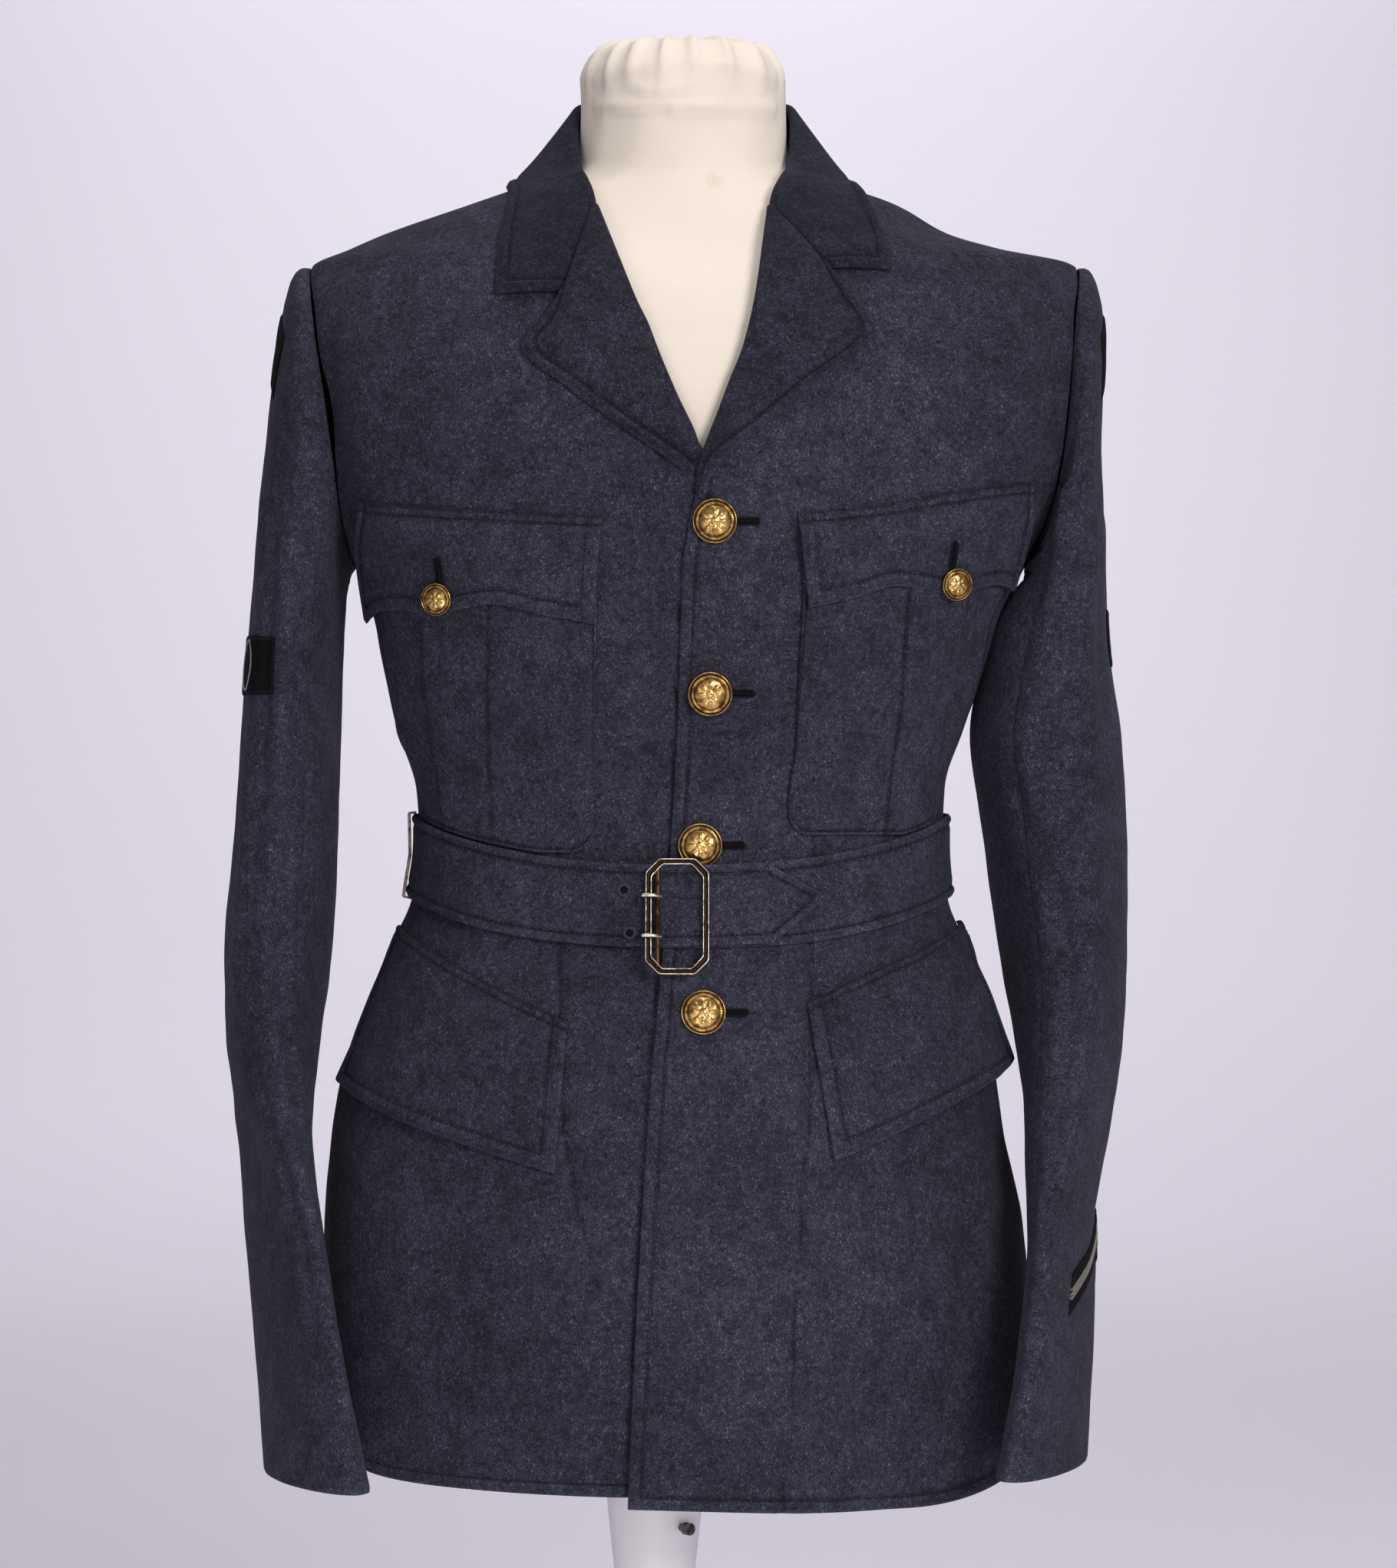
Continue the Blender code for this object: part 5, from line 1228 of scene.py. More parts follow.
def flap(name, side, table, ends, foot_lift, thickness, material, breast):
    """A stitched flap standing off the pocket or the skirt below it."""
    top_x, foot_x, outer_top_x, outer_foot_x = ends
    downs = stops(34 if breast else 50, 0.015, 0.965, 0.98, 0.99)
    shares = stops(88, 0.006, 0.014, 0.986, 0.994)
    down, share = np.meshgrid(downs, shares, indexing="ij")
    top, foot = curve(table, 1, share), curve(table, 2, share)
    extra = curve(table, 3, share) if len(table[0]) > 3 else np.zeros_like(share)
    height = mix(top, foot, down)
    start = angle_of(mix(top_x, foot_x, down), height)
    end = angle_of(mix(outer_top_x, outer_foot_x, down), height)
    angle = mix(start, end, share)
    flat = body_point(angle, height)
    base = ground(side, flat[..., 0], height)
    free = edge_distance(flat, ("last", "left", "right"))
    seam = edge_distance(flat, ("first",))
    curl = (0.0006 if breast else 0.0012) * np.sin(share * (9.0 if breast else 5.0) + side) * down**2
    bow = (0.0006 if breast else 0.0016) * np.sin(math.pi * down) ** 1.2 * np.sin(math.pi * share) ** 0.4
    lift = base + mix(0.0006, foot_lift, ease(down * 3.4)) + extra * ease(down)
    lift = lift + np.maximum(curl, -0.0004) + bow
    inset = settings().stitch_inset + (0.0014 if not breast else 0.0012)
    relief = sewn_edge(free, inset, 0.0007) - 0.0006 * bump(seam, 0.0012) - 0.0005 * bump(seam - 0.005, 0.0012)
    outer = cloth(angle, height, lift + thickness + relief)
    inner = cloth(angle, height, lift + relief * 0.3)
    stitched = np.minimum(np.abs(free - inset), np.abs(seam - 0.005))
    # seam darkens the flap's sewn top in the material: painted shade
    made = wall(name, outer, inner, free, stitched, seam)
    return finish_cloth(made, name, material)


# Belt, buckle and slide

def belt_ground(x, height):
    edge = curve(LEFT_EDGE, 1, height)
    return LAP * ease((x - edge + 0.03) / 0.026) * (1 - ease((x - edge - LAP_WIDTH) / LAP_FADE))


def belt_point(angle, across, layer, lift):
    """Across runs from -1 at the lower edge to 1 at the upper; layer 1 is the strap on top."""
    height = belt_height(angle) + across * BELT_HEIGHT / 2
    x = body_point(angle, height)[..., 0]
    raised = layer * (BELT_CLOTH + LAYER_GAP)
    return cloth(angle, height, belt_ground(x, height) + raised + BELT_REST + lift)


def belt(material):
    end = 360.0 + BELT_TIP
    angles = np.concatenate((np.linspace(BELT_START, 300.0, 290), np.linspace(300.0, end, 140)[1:]))
    angles = np.concatenate((angles, (end - 0.35, end - 0.15)))
    angles = np.unique(np.round(angles, 4))[:, None]
    across = np.unique(np.concatenate((np.linspace(-1, 1, 29), (-0.985, -0.97, 0.97, 0.985))))
    layer = ease((angles - LAYER_START) / LAYER_SPAN)
    to_tip = (end - angles) / TIP_SPAN
    width = np.where(to_tip < 1, np.minimum(1.0, 0.12 + 0.88 * to_tip), 1.0)
    flat = belt_point(angles, width * across, layer, 0.0)
    free = edge_distance(flat, ("left", "right", "last", "first"))
    inset = 0.0052
    relief = sewn_edge(free, inset, 0.0004)
    wave = 0.0004 * np.sin(angles * 0.11) * across + 0.00025 * np.sin(angles * 0.31 + 1.0)
    lean = 0.0012 * bump((angles - 360 - 8.0) / 9.0, 1.0) * across**2
    outer = belt_point(angles, width * across, layer, BELT_CLOTH + relief + wave + lean)
    inner = belt_point(angles, width * across, layer, relief * 0.2 + np.maximum(wave, 0) + lean)
    made = wall("belt", outer, inner, free, np.abs(free - inset), 0.02)
    return finish_cloth(made, "belt", material)


def buckle_plane():
    """The plane of the buckle's back, as a matrix: across, up, out."""
    angle = float(angle_of(BUCKLE_X, BUCKLE_Z))
    lift = LAP + BELT_REST + 2 * BELT_CLOTH + LAYER_GAP
    out = Vector(body_normal(angle, BUCKLE_LEAN_HEIGHT))
    smooth = Vector(body_point(angle, BELT_FRONT)) + Vector(body_normal(angle, BELT_FRONT)) * lift
    side_way = Vector((0, 0, 1)).cross(out).normalized()
    upward = out.cross(side_way)
    plane = Matrix((side_way, upward, out)).transposed().to_4x4()
    plane.translation = smooth + out * BUCKLE_REST + upward * (BUCKLE_Z - BELT_FRONT)
    return plane


def placed(points, matrix):
    points = np.asarray(points, float)
    return points @ np.array(matrix.to_3x3()).T + np.array(matrix.translation)


def buckle_frame():
    """An eight-sided frame with two bright ridges and a dark channel between them."""
    half_w, half_h, cut = BUCKLE_WIDTH / 2, BUCKLE_HEIGHT / 2, BUCKLE_CORNER
    corners = np.array((
        (half_w, half_h - cut), (half_w - cut, half_h), (cut - half_w, half_h), (-half_w, half_h - cut),
        (-half_w, cut - half_h), (cut - half_w, -half_h), (half_w - cut, -half_h), (half_w, cut - half_h),
    ))
    ring = []
    for i, corner in enumerate(corners):
        before, after = corners[i - 1], corners[(i + 1) % 8]
        start = corner + (before - corner) / np.linalg.norm(before - corner) * 0.0016
        end = corner + (after - corner) / np.linalg.norm(after - corner) * 0.0016
        for share in np.linspace(0, 1, 7):
            ring.append((1 - share) ** 2 * start + 2 * share * (1 - share) * corner + share**2 * end)
        for share in (0.25, 0.5, 0.75):
            next_start = after + (corner - after) / np.linalg.norm(corner - after) * 0.0016
            ring.append(mix(end, next_start, share))
    ring = np.array(ring)
    # distance inside the outer outline, height, brightness
    section = np.array((
        (0, 0, 0.2), (0, 0.0012, 0.5), (0.00008, 0.0018, 0.8), (0.0003, 0.0023, 1),
        (0.00055, 0.0026, 1), (0.0008, 0.0023, 0.5), (0.00095, 0.0016, 0), (0.0012, 0.0011, 0),
        (0.0019, 0.001, 0), (0.00255, 0.0011, 0), (0.0028, 0.0016, 0), (0.00298, 0.0023, 0.5),
        (0.00325, 0.0026, 1), (0.0035, 0.0023, 1), (0.00372, 0.0018, 0.7), (0.0038, 0.0012, 0.4),
        (0.0038, 0, 0.2),
    ))
    section = np.concatenate((section, section[-2:0:-1] * (1, 0, 0)))[:len(section) + 1]
    shrink = np.array((half_w, half_h))
    inwards, levels = section[:, :1] / shrink, section[:, 1]
    grid = np.array([np.column_stack((point * (1 - inwards), levels)) for point in ring])
    faces = quads(len(ring) + 1, len(section), True) % (len(ring) * len(section))
    made = mesh_object("buckle_frame", placed(grid.reshape(-1, 3), buckle_plane()), faces)
    set_values(made, "bright", np.tile(section[:, 2], len(ring)))
    face_outwards(made)
    return made


def tube(name, path, radius, sides=14):
    """A round bar along a path, closed and rounded at its ends."""
    path = np.asarray(path, float)
    at = np.linspace(0, len(path) - 1, 12 * (len(path) - 1) + 1)
    line = refine(path, 0, at)
    way = normalized(np.gradient(line, axis=0))
    side = normalized(np.cross(way, (0.0, 0.3, 1.0)))
    up = np.cross(side, way)
    caps = np.linspace(0, math.pi / 2, 5)[:-1]
    centres = [line[0] - way[0] * radius * math.cos(a) for a in caps] + list(line)
    centres += [line[-1] + way[-1] * radius * math.cos(a) for a in caps[::-1]]
    narrow = [max(0.03, math.sin(a)) for a in caps]
    sizes = narrow + [1.0] * len(line) + narrow[::-1]
    sides_at = np.concatenate((side[:1].repeat(4, 0), side, side[-1:].repeat(4, 0)))
    ups = np.concatenate((up[:1].repeat(4, 0), up, up[-1:].repeat(4, 0)))
    turns = np.linspace(0, math.tau, sides, endpoint=False)
    rings = np.array(centres)[:, None] + radius * np.array(sizes)[:, None, None] * (
        np.cos(turns)[None, :, None] * sides_at[:, None] + np.sin(turns)[None, :, None] * ups[:, None])
    made = mesh_object(name, rings, capped(len(rings), sides))
    face_outwards(made)
    return made


def finish_solid(made, slot, material, *nodes):
    made.data.materials.append(material)
    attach(made, "root")
    if nodes:
        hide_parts(*nodes)
    return made


def refinish(solid, material):
    """Give a solid of the frame its finish and leave its shape as it is."""
    slots = bpy.data.objects[solid].data.materials
    slots.clear()
    slots.append(material)


# Turned pieces: buttons, post, base and screw

def turned(name, profile, steps, matrix=None, relief=None, marks=None):
    """A turned solid from (radius, height) rows, closed at both ends; relief may vary round it."""
    radius, level = np.asarray(profile, float)[:, 0], np.asarray(profile, float)[:, 1]
    turns = np.linspace(0, math.tau, steps, endpoint=False)
    height = level[:, None] + (relief(radius[:, None], turns[None]) if relief else 0.0)
    height = np.broadcast_to(height, (len(radius), steps))
    grid = np.stack((radius[:, None] * np.cos(turns), radius[:, None] * np.sin(turns), height), axis=-1)
    points = grid if matrix is None else placed(grid.reshape(-1, 3), matrix)
    made = mesh_object(name, points, capped(len(radius), steps))
    if marks is not None:
        set_values(made, "bright", np.repeat(marks, steps))
    face_outwards(made)
    return made


def rounded_profile(rows, parts):
    """More rows on a smooth line through a profile's rows."""
    return refine(np.asarray(rows, float), 0, np.linspace(0, len(rows) - 1, parts * (len(rows) - 1) + 1))


def button_place(x, height, side_lift):
    angle = float(angle_of(x, height))
    foot = Vector(body_point(angle, height)) + Vector(body_normal(angle, height)) * side_lift
    out = Vector(body_normal(angle, height)) + Vector((0.0, -0.6, 0.0))
    matrix = out.to_track_quat("Z", "Y").to_matrix().to_4x4()
    matrix.translation = foot
    return matrix


# Button's face: share of the radius, height, brightness
BUTTON_PROFILE = (
    (0.02, 0.001, 0), (0.6, 0.001, 0), (0.9, 0.0012, 0), (0.985, 0.0016, 0.3), (1, 0.0022, 0.7),
    (0.985, 0.0029, 1), (0.955, 0.0032, 1), (0.93, 0.003, 0.3), (0.905, 0.0028, 0), (0.88, 0.003, 0.1),
    (0.84, 0.0034, 0.4), (0.78, 0.0036, 0.6), (0.72, 0.0036, 0.2), (0.67, 0.0039, 0.4), (0.6, 0.0043, 0.8),
    (0.5, 0.0047, 0.9), (0.38, 0.005, 0.9), (0.26, 0.0053, 1), (0.14, 0.0055, 1), (0.02, 0.0056, 1),
)


BEAD_RING = 0.8  # the beads' place, as a share of the radius


def rosette(radius, turns, whole):
    """Raised petals round a boss, the plain motif of the buttons."""
    share = radius / whole
    petals = np.maximum(0.0, np.cos(turns * 8)) ** 0.6 * bump(share - 0.4, 0.15)
    boss = bump(share, 0.13)
    ring = bump(share - 0.2, 0.035)
    return whole / BUTTON_RADIUS * (0.00055 * petals + 0.0003 * boss - 0.0003 * ring) * (share < 0.7)


def button(name, radius, matrix, material):
    rows = np.array(BUTTON_PROFILE)
    fine = rounded_profile(rows, 3)
    height_scale = 0.35 + 0.65 * radius / BUTTON_RADIUS
    profile = np.column_stack((np.maximum(fine[:, 0], 0.015) * radius, fine[:, 1] * height_scale))
    marks = np.clip(fine[:, 2], 0, 1)
    made = turned(name + "_face", profile, 72, matrix, lambda r, t: rosette(r, t, radius), marks)
    finish_solid(made, "button_brass", material, name)
    turns = np.linspace(0, math.tau, 97)[:-1]
    level = float(np.interp(BEAD_RING, rows[9:13, 0][::-1], rows[9:13, 1][::-1])) * height_scale
    reach = BEAD_RING * radius
    ring = np.column_stack((reach * np.cos(turns), reach * np.sin(turns), np.full(96, level)))
    return placed(np.concatenate((ring, ring[:1])), matrix)


# Stitches and other repeats that follow a path

def path_tree():
    """Small ellipsoids laid along paths, each turned to the path's own direction of thread."""
    tree = bpy.data.node_groups.new("thread_along_path", "GeometryNodeTree")
    face = tree.interface
    face.new_socket("Geometry", in_out="INPUT", socket_type="NodeSocketGeometry")
    for title, value in (("Length", 0.0024), ("Radius", 0.0003), ("Pitch", 0.003)):
        face.new_socket(title, in_out="INPUT", socket_type="NodeSocketFloat").default_value = value
    face.new_socket("Seed", in_out="INPUT", socket_type="NodeSocketInt").default_value = 7
    face.new_socket("Material", in_out="INPUT", socket_type="NodeSocketMaterial")
    face.new_socket("Geometry", in_out="OUTPUT", socket_type="NodeSocketGeometry")
    start = node(tree, "NodeGroupInput")
    half = node(tree, "ShaderNodeMath", {0: start.outputs["Length"], 1: 0.5}, operation="MULTIPLY")
    size = node(tree, "ShaderNodeCombineXYZ", {
        "X": start.outputs["Radius"], "Y": start.outputs["Radius"], "Z": half.outputs[0]})
    bead = node(tree, "GeometryNodeMeshUVSphere", {"Segments": 6, "Rings": 3, "Radius": 1.0})
    shaped = node(tree, "GeometryNodeTransform", {"Geometry": bead.outputs["Mesh"], "Scale": size.outputs[0]})
    line = node(tree, "GeometryNodeMeshToCurve", {"Mesh": start.outputs["Geometry"]})
    resampled = node(tree, "GeometryNodeResampleCurve", {
        "Curve": line.outputs["Curve"], "Length": start.outputs["Pitch"]}, mode="LENGTH")
    way = node(tree, "GeometryNodeInputNamedAttribute", {"Name": "way"}, data_type="FLOAT_VECTOR")
    turn = node(tree, "FunctionNodeAlignRotationToVector", {"Vector": way.outputs["Attribute"]}, axis="Z")
    vary = node(tree, "FunctionNodeRandomValue", {"Seed": start.outputs["Seed"]}, data_type="FLOAT_VECTOR")
    vary.inputs[0].default_value, vary.inputs[1].default_value = (0.9, 0.9, 0.88), (1.12, 1.12, 1.08)
    laid = node(tree, "GeometryNodeInstanceOnPoints", {
        "Points": resampled.outputs["Curve"], "Instance": shaped.outputs["Geometry"],
        "Rotation": turn.outputs["Rotation"], "Scale": vary.outputs["Value"]})
    real = node(tree, "GeometryNodeRealizeInstances", {"Geometry": laid.outputs["Instances"]})
    soft = node(tree, "GeometryNodeSetShadeSmooth", {"Geometry": real.outputs["Geometry"]})
    dressed = node(tree, "GeometryNodeSetMaterial", {
        "Geometry": soft.outputs["Geometry"], "Material": start.outputs["Material"]})
    node(tree, "NodeGroupOutput", {"Geometry": dressed.outputs["Geometry"]})
    return tree


def node(tree, kind, inputs=None, **options):
    made = tree.nodes.new(kind)
    for title, value in options.items():
        setattr(made, title, value)
    for title, value in (inputs or {}).items():
        if isinstance(value, bpy.types.NodeSocket):
            tree.links.new(value, made.inputs[title])
        else:
            made.inputs[title].default_value = value
    return made


def laid_along(name, paths, sizes, material):
    """Lay thread, beads or braid along (points, ways) paths as one plain mesh."""
    points, ways, edges, start = [], [], [], 0
    for line, way in paths:
        line = np.asarray(line, float)
        points.append(line)
        ways.append(np.broadcast_to(way, line.shape))
        edges += [(start + i, start + i + 1) for i in range(len(line) - 1)]
        start += len(line)
    mesh = bpy.data.meshes.new(name)
    mesh.from_pydata(np.concatenate(points).tolist(), edges, [])
    layer = mesh.attributes.new("way", "FLOAT_VECTOR", "POINT")
    layer.data.foreach_set("vector", np.concatenate(ways).astype(np.float32).ravel())
    made = bpy.data.objects.new(name, mesh)
    bpy.context.scene.collection.objects.link(made)
    tree = bpy.data.node_groups.get("thread_along_path") or path_tree()
    laying = made.modifiers.new("laid", "NODES")
    laying.node_group = tree
    values = dict(zip(("Length", "Radius", "Pitch"), sizes), Material=material)
    for socket in tree.interface.items_tree:
        if socket.in_out == "INPUT" and socket.name in values:
            laying[socket.identifier] = values[socket.name]
    seen_by = bpy.context.evaluated_depsgraph_get()
    plain = bpy.data.meshes.new_from_object(made.evaluated_get(seen_by))
    made.modifiers.clear()
    made.data = plain
    bpy.data.meshes.remove(mesh)
    plain.name = name
    if not len(plain.polygons):
        raise RuntimeError(name + " came out empty")
    if material.name not in plain.materials:
        plain.materials.append(material)
    face_outwards(made)
    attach(made, "root")
    return made


def inset_path(grid, edge, inset, trims=(0.0, 0.0)):
    """Points a distance inside an edge of a grid, with the thread's direction along them."""
    axis = 1 if edge in ("left", "right") else 0
    lines = grid if axis == 1 else np.swapaxes(grid, 0, 1)
    if edge in ("right", "last"):
        lines = lines[:, ::-1]
    found = []
    for line in lines:
        along = np.concatenate(([0.0], np.cumsum(np.linalg.norm(np.diff(line, axis=0), axis=1))))
        found.append([np.interp(inset, along, line[:, k]) for k in range(3)])
    found = np.array(found)
    along = np.concatenate(([0.0], np.cumsum(np.linalg.norm(np.diff(found, axis=0), axis=1))))
    keep = (along >= trims[0]) & (along <= along[-1] - trims[1])
    found = found[keep]
    return found, normalized(np.gradient(found, axis=0))


def slit(matrix, length, width):
    """A worked buttonhole's outline on a plane: points and the threads' directions, square to the slit."""
    turns = np.linspace(0, math.tau, 73)
    straight = (length - width) / 2
    x = np.sign(np.cos(turns)) * straight * (np.abs(np.cos(turns)) > 0.05) + np.cos(turns) * width / 2
    y = np.sin(turns) * width / 2
    ring = np.column_stack((x, y, np.zeros(73)))
    outward = np.column_stack((np.cos(turns), np.sin(turns), np.zeros(73)))
    return placed(ring, matrix), outward @ np.array(matrix.to_3x3()).T


# Form, stand and studio

FORM_CREASES = (
    (-58, 1.019, -6, 1.0135, 0.0034, 0.0026),
    (-6, 1.0135, 58, 1.0175, 0.0034, 0.0026),
    (-46, 1.0125, 44, 1.0085, 0.003, -0.002),
    (-33, 1.028, -14, 1.0235, 0.0026, 0.002),
    (-14, 1.0235, 2, 1.0275, 0.0026, 0.002),
    (-60, 1.033, -20, 1.037, 0.0028, 0.0013),
    (20, 1.039, 62, 1.034, 0.0028, 0.0014),
    (-34, 0.886, 26, 0.887, 0.0026, -0.0005),
    (-25, 0.97, 20, 0.966, 0.006, -0.0006),
    (110, 1.018, 200, 1.026, 0.004, 0.0015),
    (180, 1.012, 260, 1.015, 0.004, 0.0015),
    (140, 1.035, 230, 1.033, 0.003, -0.0014),
)
# Gathers on top of the neck: angle, width in degrees
GATHERS = ((-173, 8), (-146, 9), (-117, 7), (-91, 9), (-70, 9), (-48, 6), (-31, 7), (-12, 5), (6, 7), (27, 6),
           (48, 8), (74, 7), (103, 9), (131, 7), (158, 9))


def form_cover(material):
    """The form with its cotton cover drawn together on top of the neck."""
    rows = np.concatenate((np.linspace(0.335, 0.8, 40), np.linspace(0.8, 1.0475, 84)[1:]))
    top = ((1.0505, 0.98), (1.0535, 0.93), (1.0556, 0.86), (1.057, 0.76), (1.0577, 0.64), (1.058, 0.5),
           (1.0578, 0.36), (1.0572, 0.22), (1.0568, 0.1), (1.0566, 0.02))
    angles = np.arange(0.0, 360.0, 2.0)
    angle, height = np.meshgrid(angles, rows, indexing="xy")
    across = (angle + 180) % 360 - 180
    folds = creased(FORM_CREASES, angle, height, 0.001, 1.0)
    gather = sum(bump(across - middle, width * 0.6) for middle, width in GATHERS)
    drawn = ease((height - 1.018) / 0.034)
    soft = 0.00035 * np.sin(angle * 0.087 + 40 * height) + 0.0003 * np.sin(angle * 0.21 - 63 * height)
    lift = folds + (gather - 0.45) * 0.003 * drawn + soft * ease((height - 0.79) / 0.02)
    surface = body_point(angle, height, FORM_SECTIONS)
    surface = surface + body_normal(angle, height, FORM_SECTIONS) * lift[..., None]
    rim_ring = surface[-1]
    centre = np.array((BODY_X, 0.0, 0.0))
    caps = []
    for level, share in top:
        ring = centre + (rim_ring - centre) * share
        pleats = (gather[-1] - 0.45) * 0.0024 * min(1.0, share * 1.6)
        ring[:, 2] = level - 0.0012 + pleats * 0.8
        caps.append(ring)
    grid = np.concatenate((surface, np.array(caps)))
    made = mesh_object("form_cover", grid, capped(len(grid), len(angles)))
    face_outwards(made)
    return finish_solid(made, "form_cloth", material, "form")


# Materials

def material_tree(name, **settings_of):
    """A new material and its tree; the settings go on the shader's own sockets."""
    made = bpy.data.materials.new(name)
    made.use_nodes = True
    tree = made.node_tree
    shader = tree.nodes["Principled BSDF"]
    for title, value in settings_of.items():
        shader.inputs[title.replace("_", " ")].default_value = value
    return made, tree, shader


def noise(tree, scale, detail=2.0, stretch=(1, 1, 1), turn=(0, 0, 0)):
    where = node(tree, "ShaderNodeTexCoord").outputs["Object"]
    placed_at = node(tree, "ShaderNodeMapping", {"Vector": where, "Scale": stretch, "Rotation": turn})
    return node(tree, "ShaderNodeTexNoise", {
        "Vector": placed_at.outputs[0], "Scale": scale, "Detail": detail}).outputs["Fac"]


def ranged(tree, value, low, high, to_low=0.0, to_high=1.0):
    made = node(tree, "ShaderNodeMapRange", {
        "Value": value, "From Min": low, "From Max": high, "To Min": to_low, "To Max": to_high},
        interpolation_type="SMOOTHSTEP")
    return made.outputs["Result"]


def times(tree, a, b, operation="MULTIPLY"):
    return node(tree, "ShaderNodeMath", {0: a, 1: b}, operation=operation).outputs[0]


def blended(tree, share, a, b, way="MIX"):
    made = node(tree, "ShaderNodeMix", {"Factor": share}, data_type="RGBA", blend_type=way)
    for index, value in ((6, a), (7, b)):
        if isinstance(value, bpy.types.NodeSocket):
            tree.links.new(value, made.inputs[index])
        else:
            made.inputs[index].default_value = (*value, 1.0)[:4]
    return made.outputs[2]


def attribute(tree, name):
    return node(tree, "ShaderNodeAttribute", attribute_name=name).outputs["Fac"]


def bumped(tree, shader, height, distance, strength=1.0):
    made = node(tree, "ShaderNodeBump", {"Height": height, "Distance": distance, "Strength": strength})
    tree.links.new(made.outputs["Normal"], shader.inputs["Normal"])


def wool(name, tone):
    """Melange serge: pale and dark fibres over a blue-grey ground; lighter at its free edges, partly from wear
    and partly a painted highlight, with painted shade along its stitching, seams, darts and folds.
    """
    made, tree, shader = material_tree(
        name, Roughness=0.95, Sheen_Weight=0.03, Sheen_Roughness=0.5, Sheen_Tint=(0.8, 0.82, 1.0, 1.0),
        Specular_IOR_Level=0.12)
    ground_colour = tuple(c * tone for c in settings().serge)
    pale = tuple(c * tone for c in settings().fleck)
    dark = tuple(c * tone for c in SERGE_DARK)
    fibres = noise(tree, 1350.0, 3.0, (1, 1, 0.55), (0.0, 0.6, 0.0))
    light_fibres = ranged(tree, fibres, 0.54, 0.7)
    dark_fibres = ranged(tree, noise(tree, 1150.0, 3.0, (0.6, 1, 1), (0.0, -0.5, 0.0)), 0.5, 0.68)
    colour = blended(tree, times(tree, light_fibres, 0.42), ground_colour, pale)
    colour = blended(tree, times(tree, dark_fibres, 0.85), colour, dark)
    broad = ranged(tree, noise(tree, 9.0, 3.0), 0.3, 0.7, 0.78, 1.12)
    patchy = ranged(tree, noise(tree, 70.0, 3.0), 0.3, 0.7, 0.82, 1.18)
    cloudy = ranged(tree, noise(tree, 300.0, 2.0), 0.3, 0.7, 0.74, 1.26)
    shade_of = times(tree, times(tree, broad, patchy), cloudy)
    # painted light and shade: lighter at free edges (rubbed wear and a painted highlight), painted shade in the
    # stitching's grooves and along seams, darts and pleat folds
    for title, reach, at_line in (("edge", 0.0026, 1.35), ("stitched", 0.002, 0.5), ("seam", 0.0026, 0.48)):
        shade_of = times(tree, shade_of, ranged(tree, attribute(tree, title), 0.0, reach, at_line))
    whole = node(tree, "ShaderNodeCombineColor", {"Red": shade_of, "Green": shade_of, "Blue": shade_of})
    colour = blended(tree, 1.0, colour, whole.outputs[0], "MULTIPLY")
    tree.links.new(colour, shader.inputs["Base Color"])
    bumped(tree, shader, times(tree, fibres, noise(tree, 330.0, 2.0), "ADD"), 0.0007, 0.55)
    return made


def threadlike(name, colour):
    made, tree, shader = material_tree(name, Roughness=0.9, Specular_IOR_Level=0.1)
    share = ranged(tree, noise(tree, 1600.0, 2.0), 0.35, 0.65)
    tree.links.new(blended(tree, share, tuple(c * 0.7 for c in colour), colour), shader.inputs["Base Color"])
    bumped(tree, shader, noise(tree, 2600.0, 1.0, (1, 1, 0.3)), 0.0001, 0.5)
    return made


def metal(name, colour, dull, roughness, by_relief=False, scale=260.0):
    """Worn metal: bright on its high places, brown and dull in its hollows."""
    made, tree, shader = material_tree(name, Metallic=1.0)
    wear = ranged(tree, noise(tree, scale, 4.0), 0.3, 0.72)
    fine = ranged(tree, noise(tree, scale * 6, 2.0), 0.35, 0.7)
    high = attribute(tree, "bright") if by_relief else ranged(tree, noise(tree, scale * 0.4, 2.0), 0.2, 0.6)
    share = ranged(tree, times(tree, high, times(tree, wear, 0.35, "ADD")), 0.1, 0.75)
    share = times(tree, share, times(tree, times(tree, fine, 0.25), 0.8, "ADD"))
    tree.links.new(blended(tree, share, dull, colour), shader.inputs["Base Color"])
    tree.links.new(ranged(tree, share, 0.0, 1.0, roughness + 0.35, roughness), shader.inputs["Roughness"])
    bumped(tree, shader, wear, 0.00015, 0.35)
    return made


# Faint stains on the neck: place, size, strength
STAINS = (
    ((-0.0252, -0.052, 0.986), 0.005, 0.3),
    ((-0.0202, -0.052, 0.981), 0.0035, 0.25),
    ((0.0329, -0.054, 0.973), 0.006, 0.18),
    ((0.01, -0.06, 0.93), 0.012, 0.08),
)


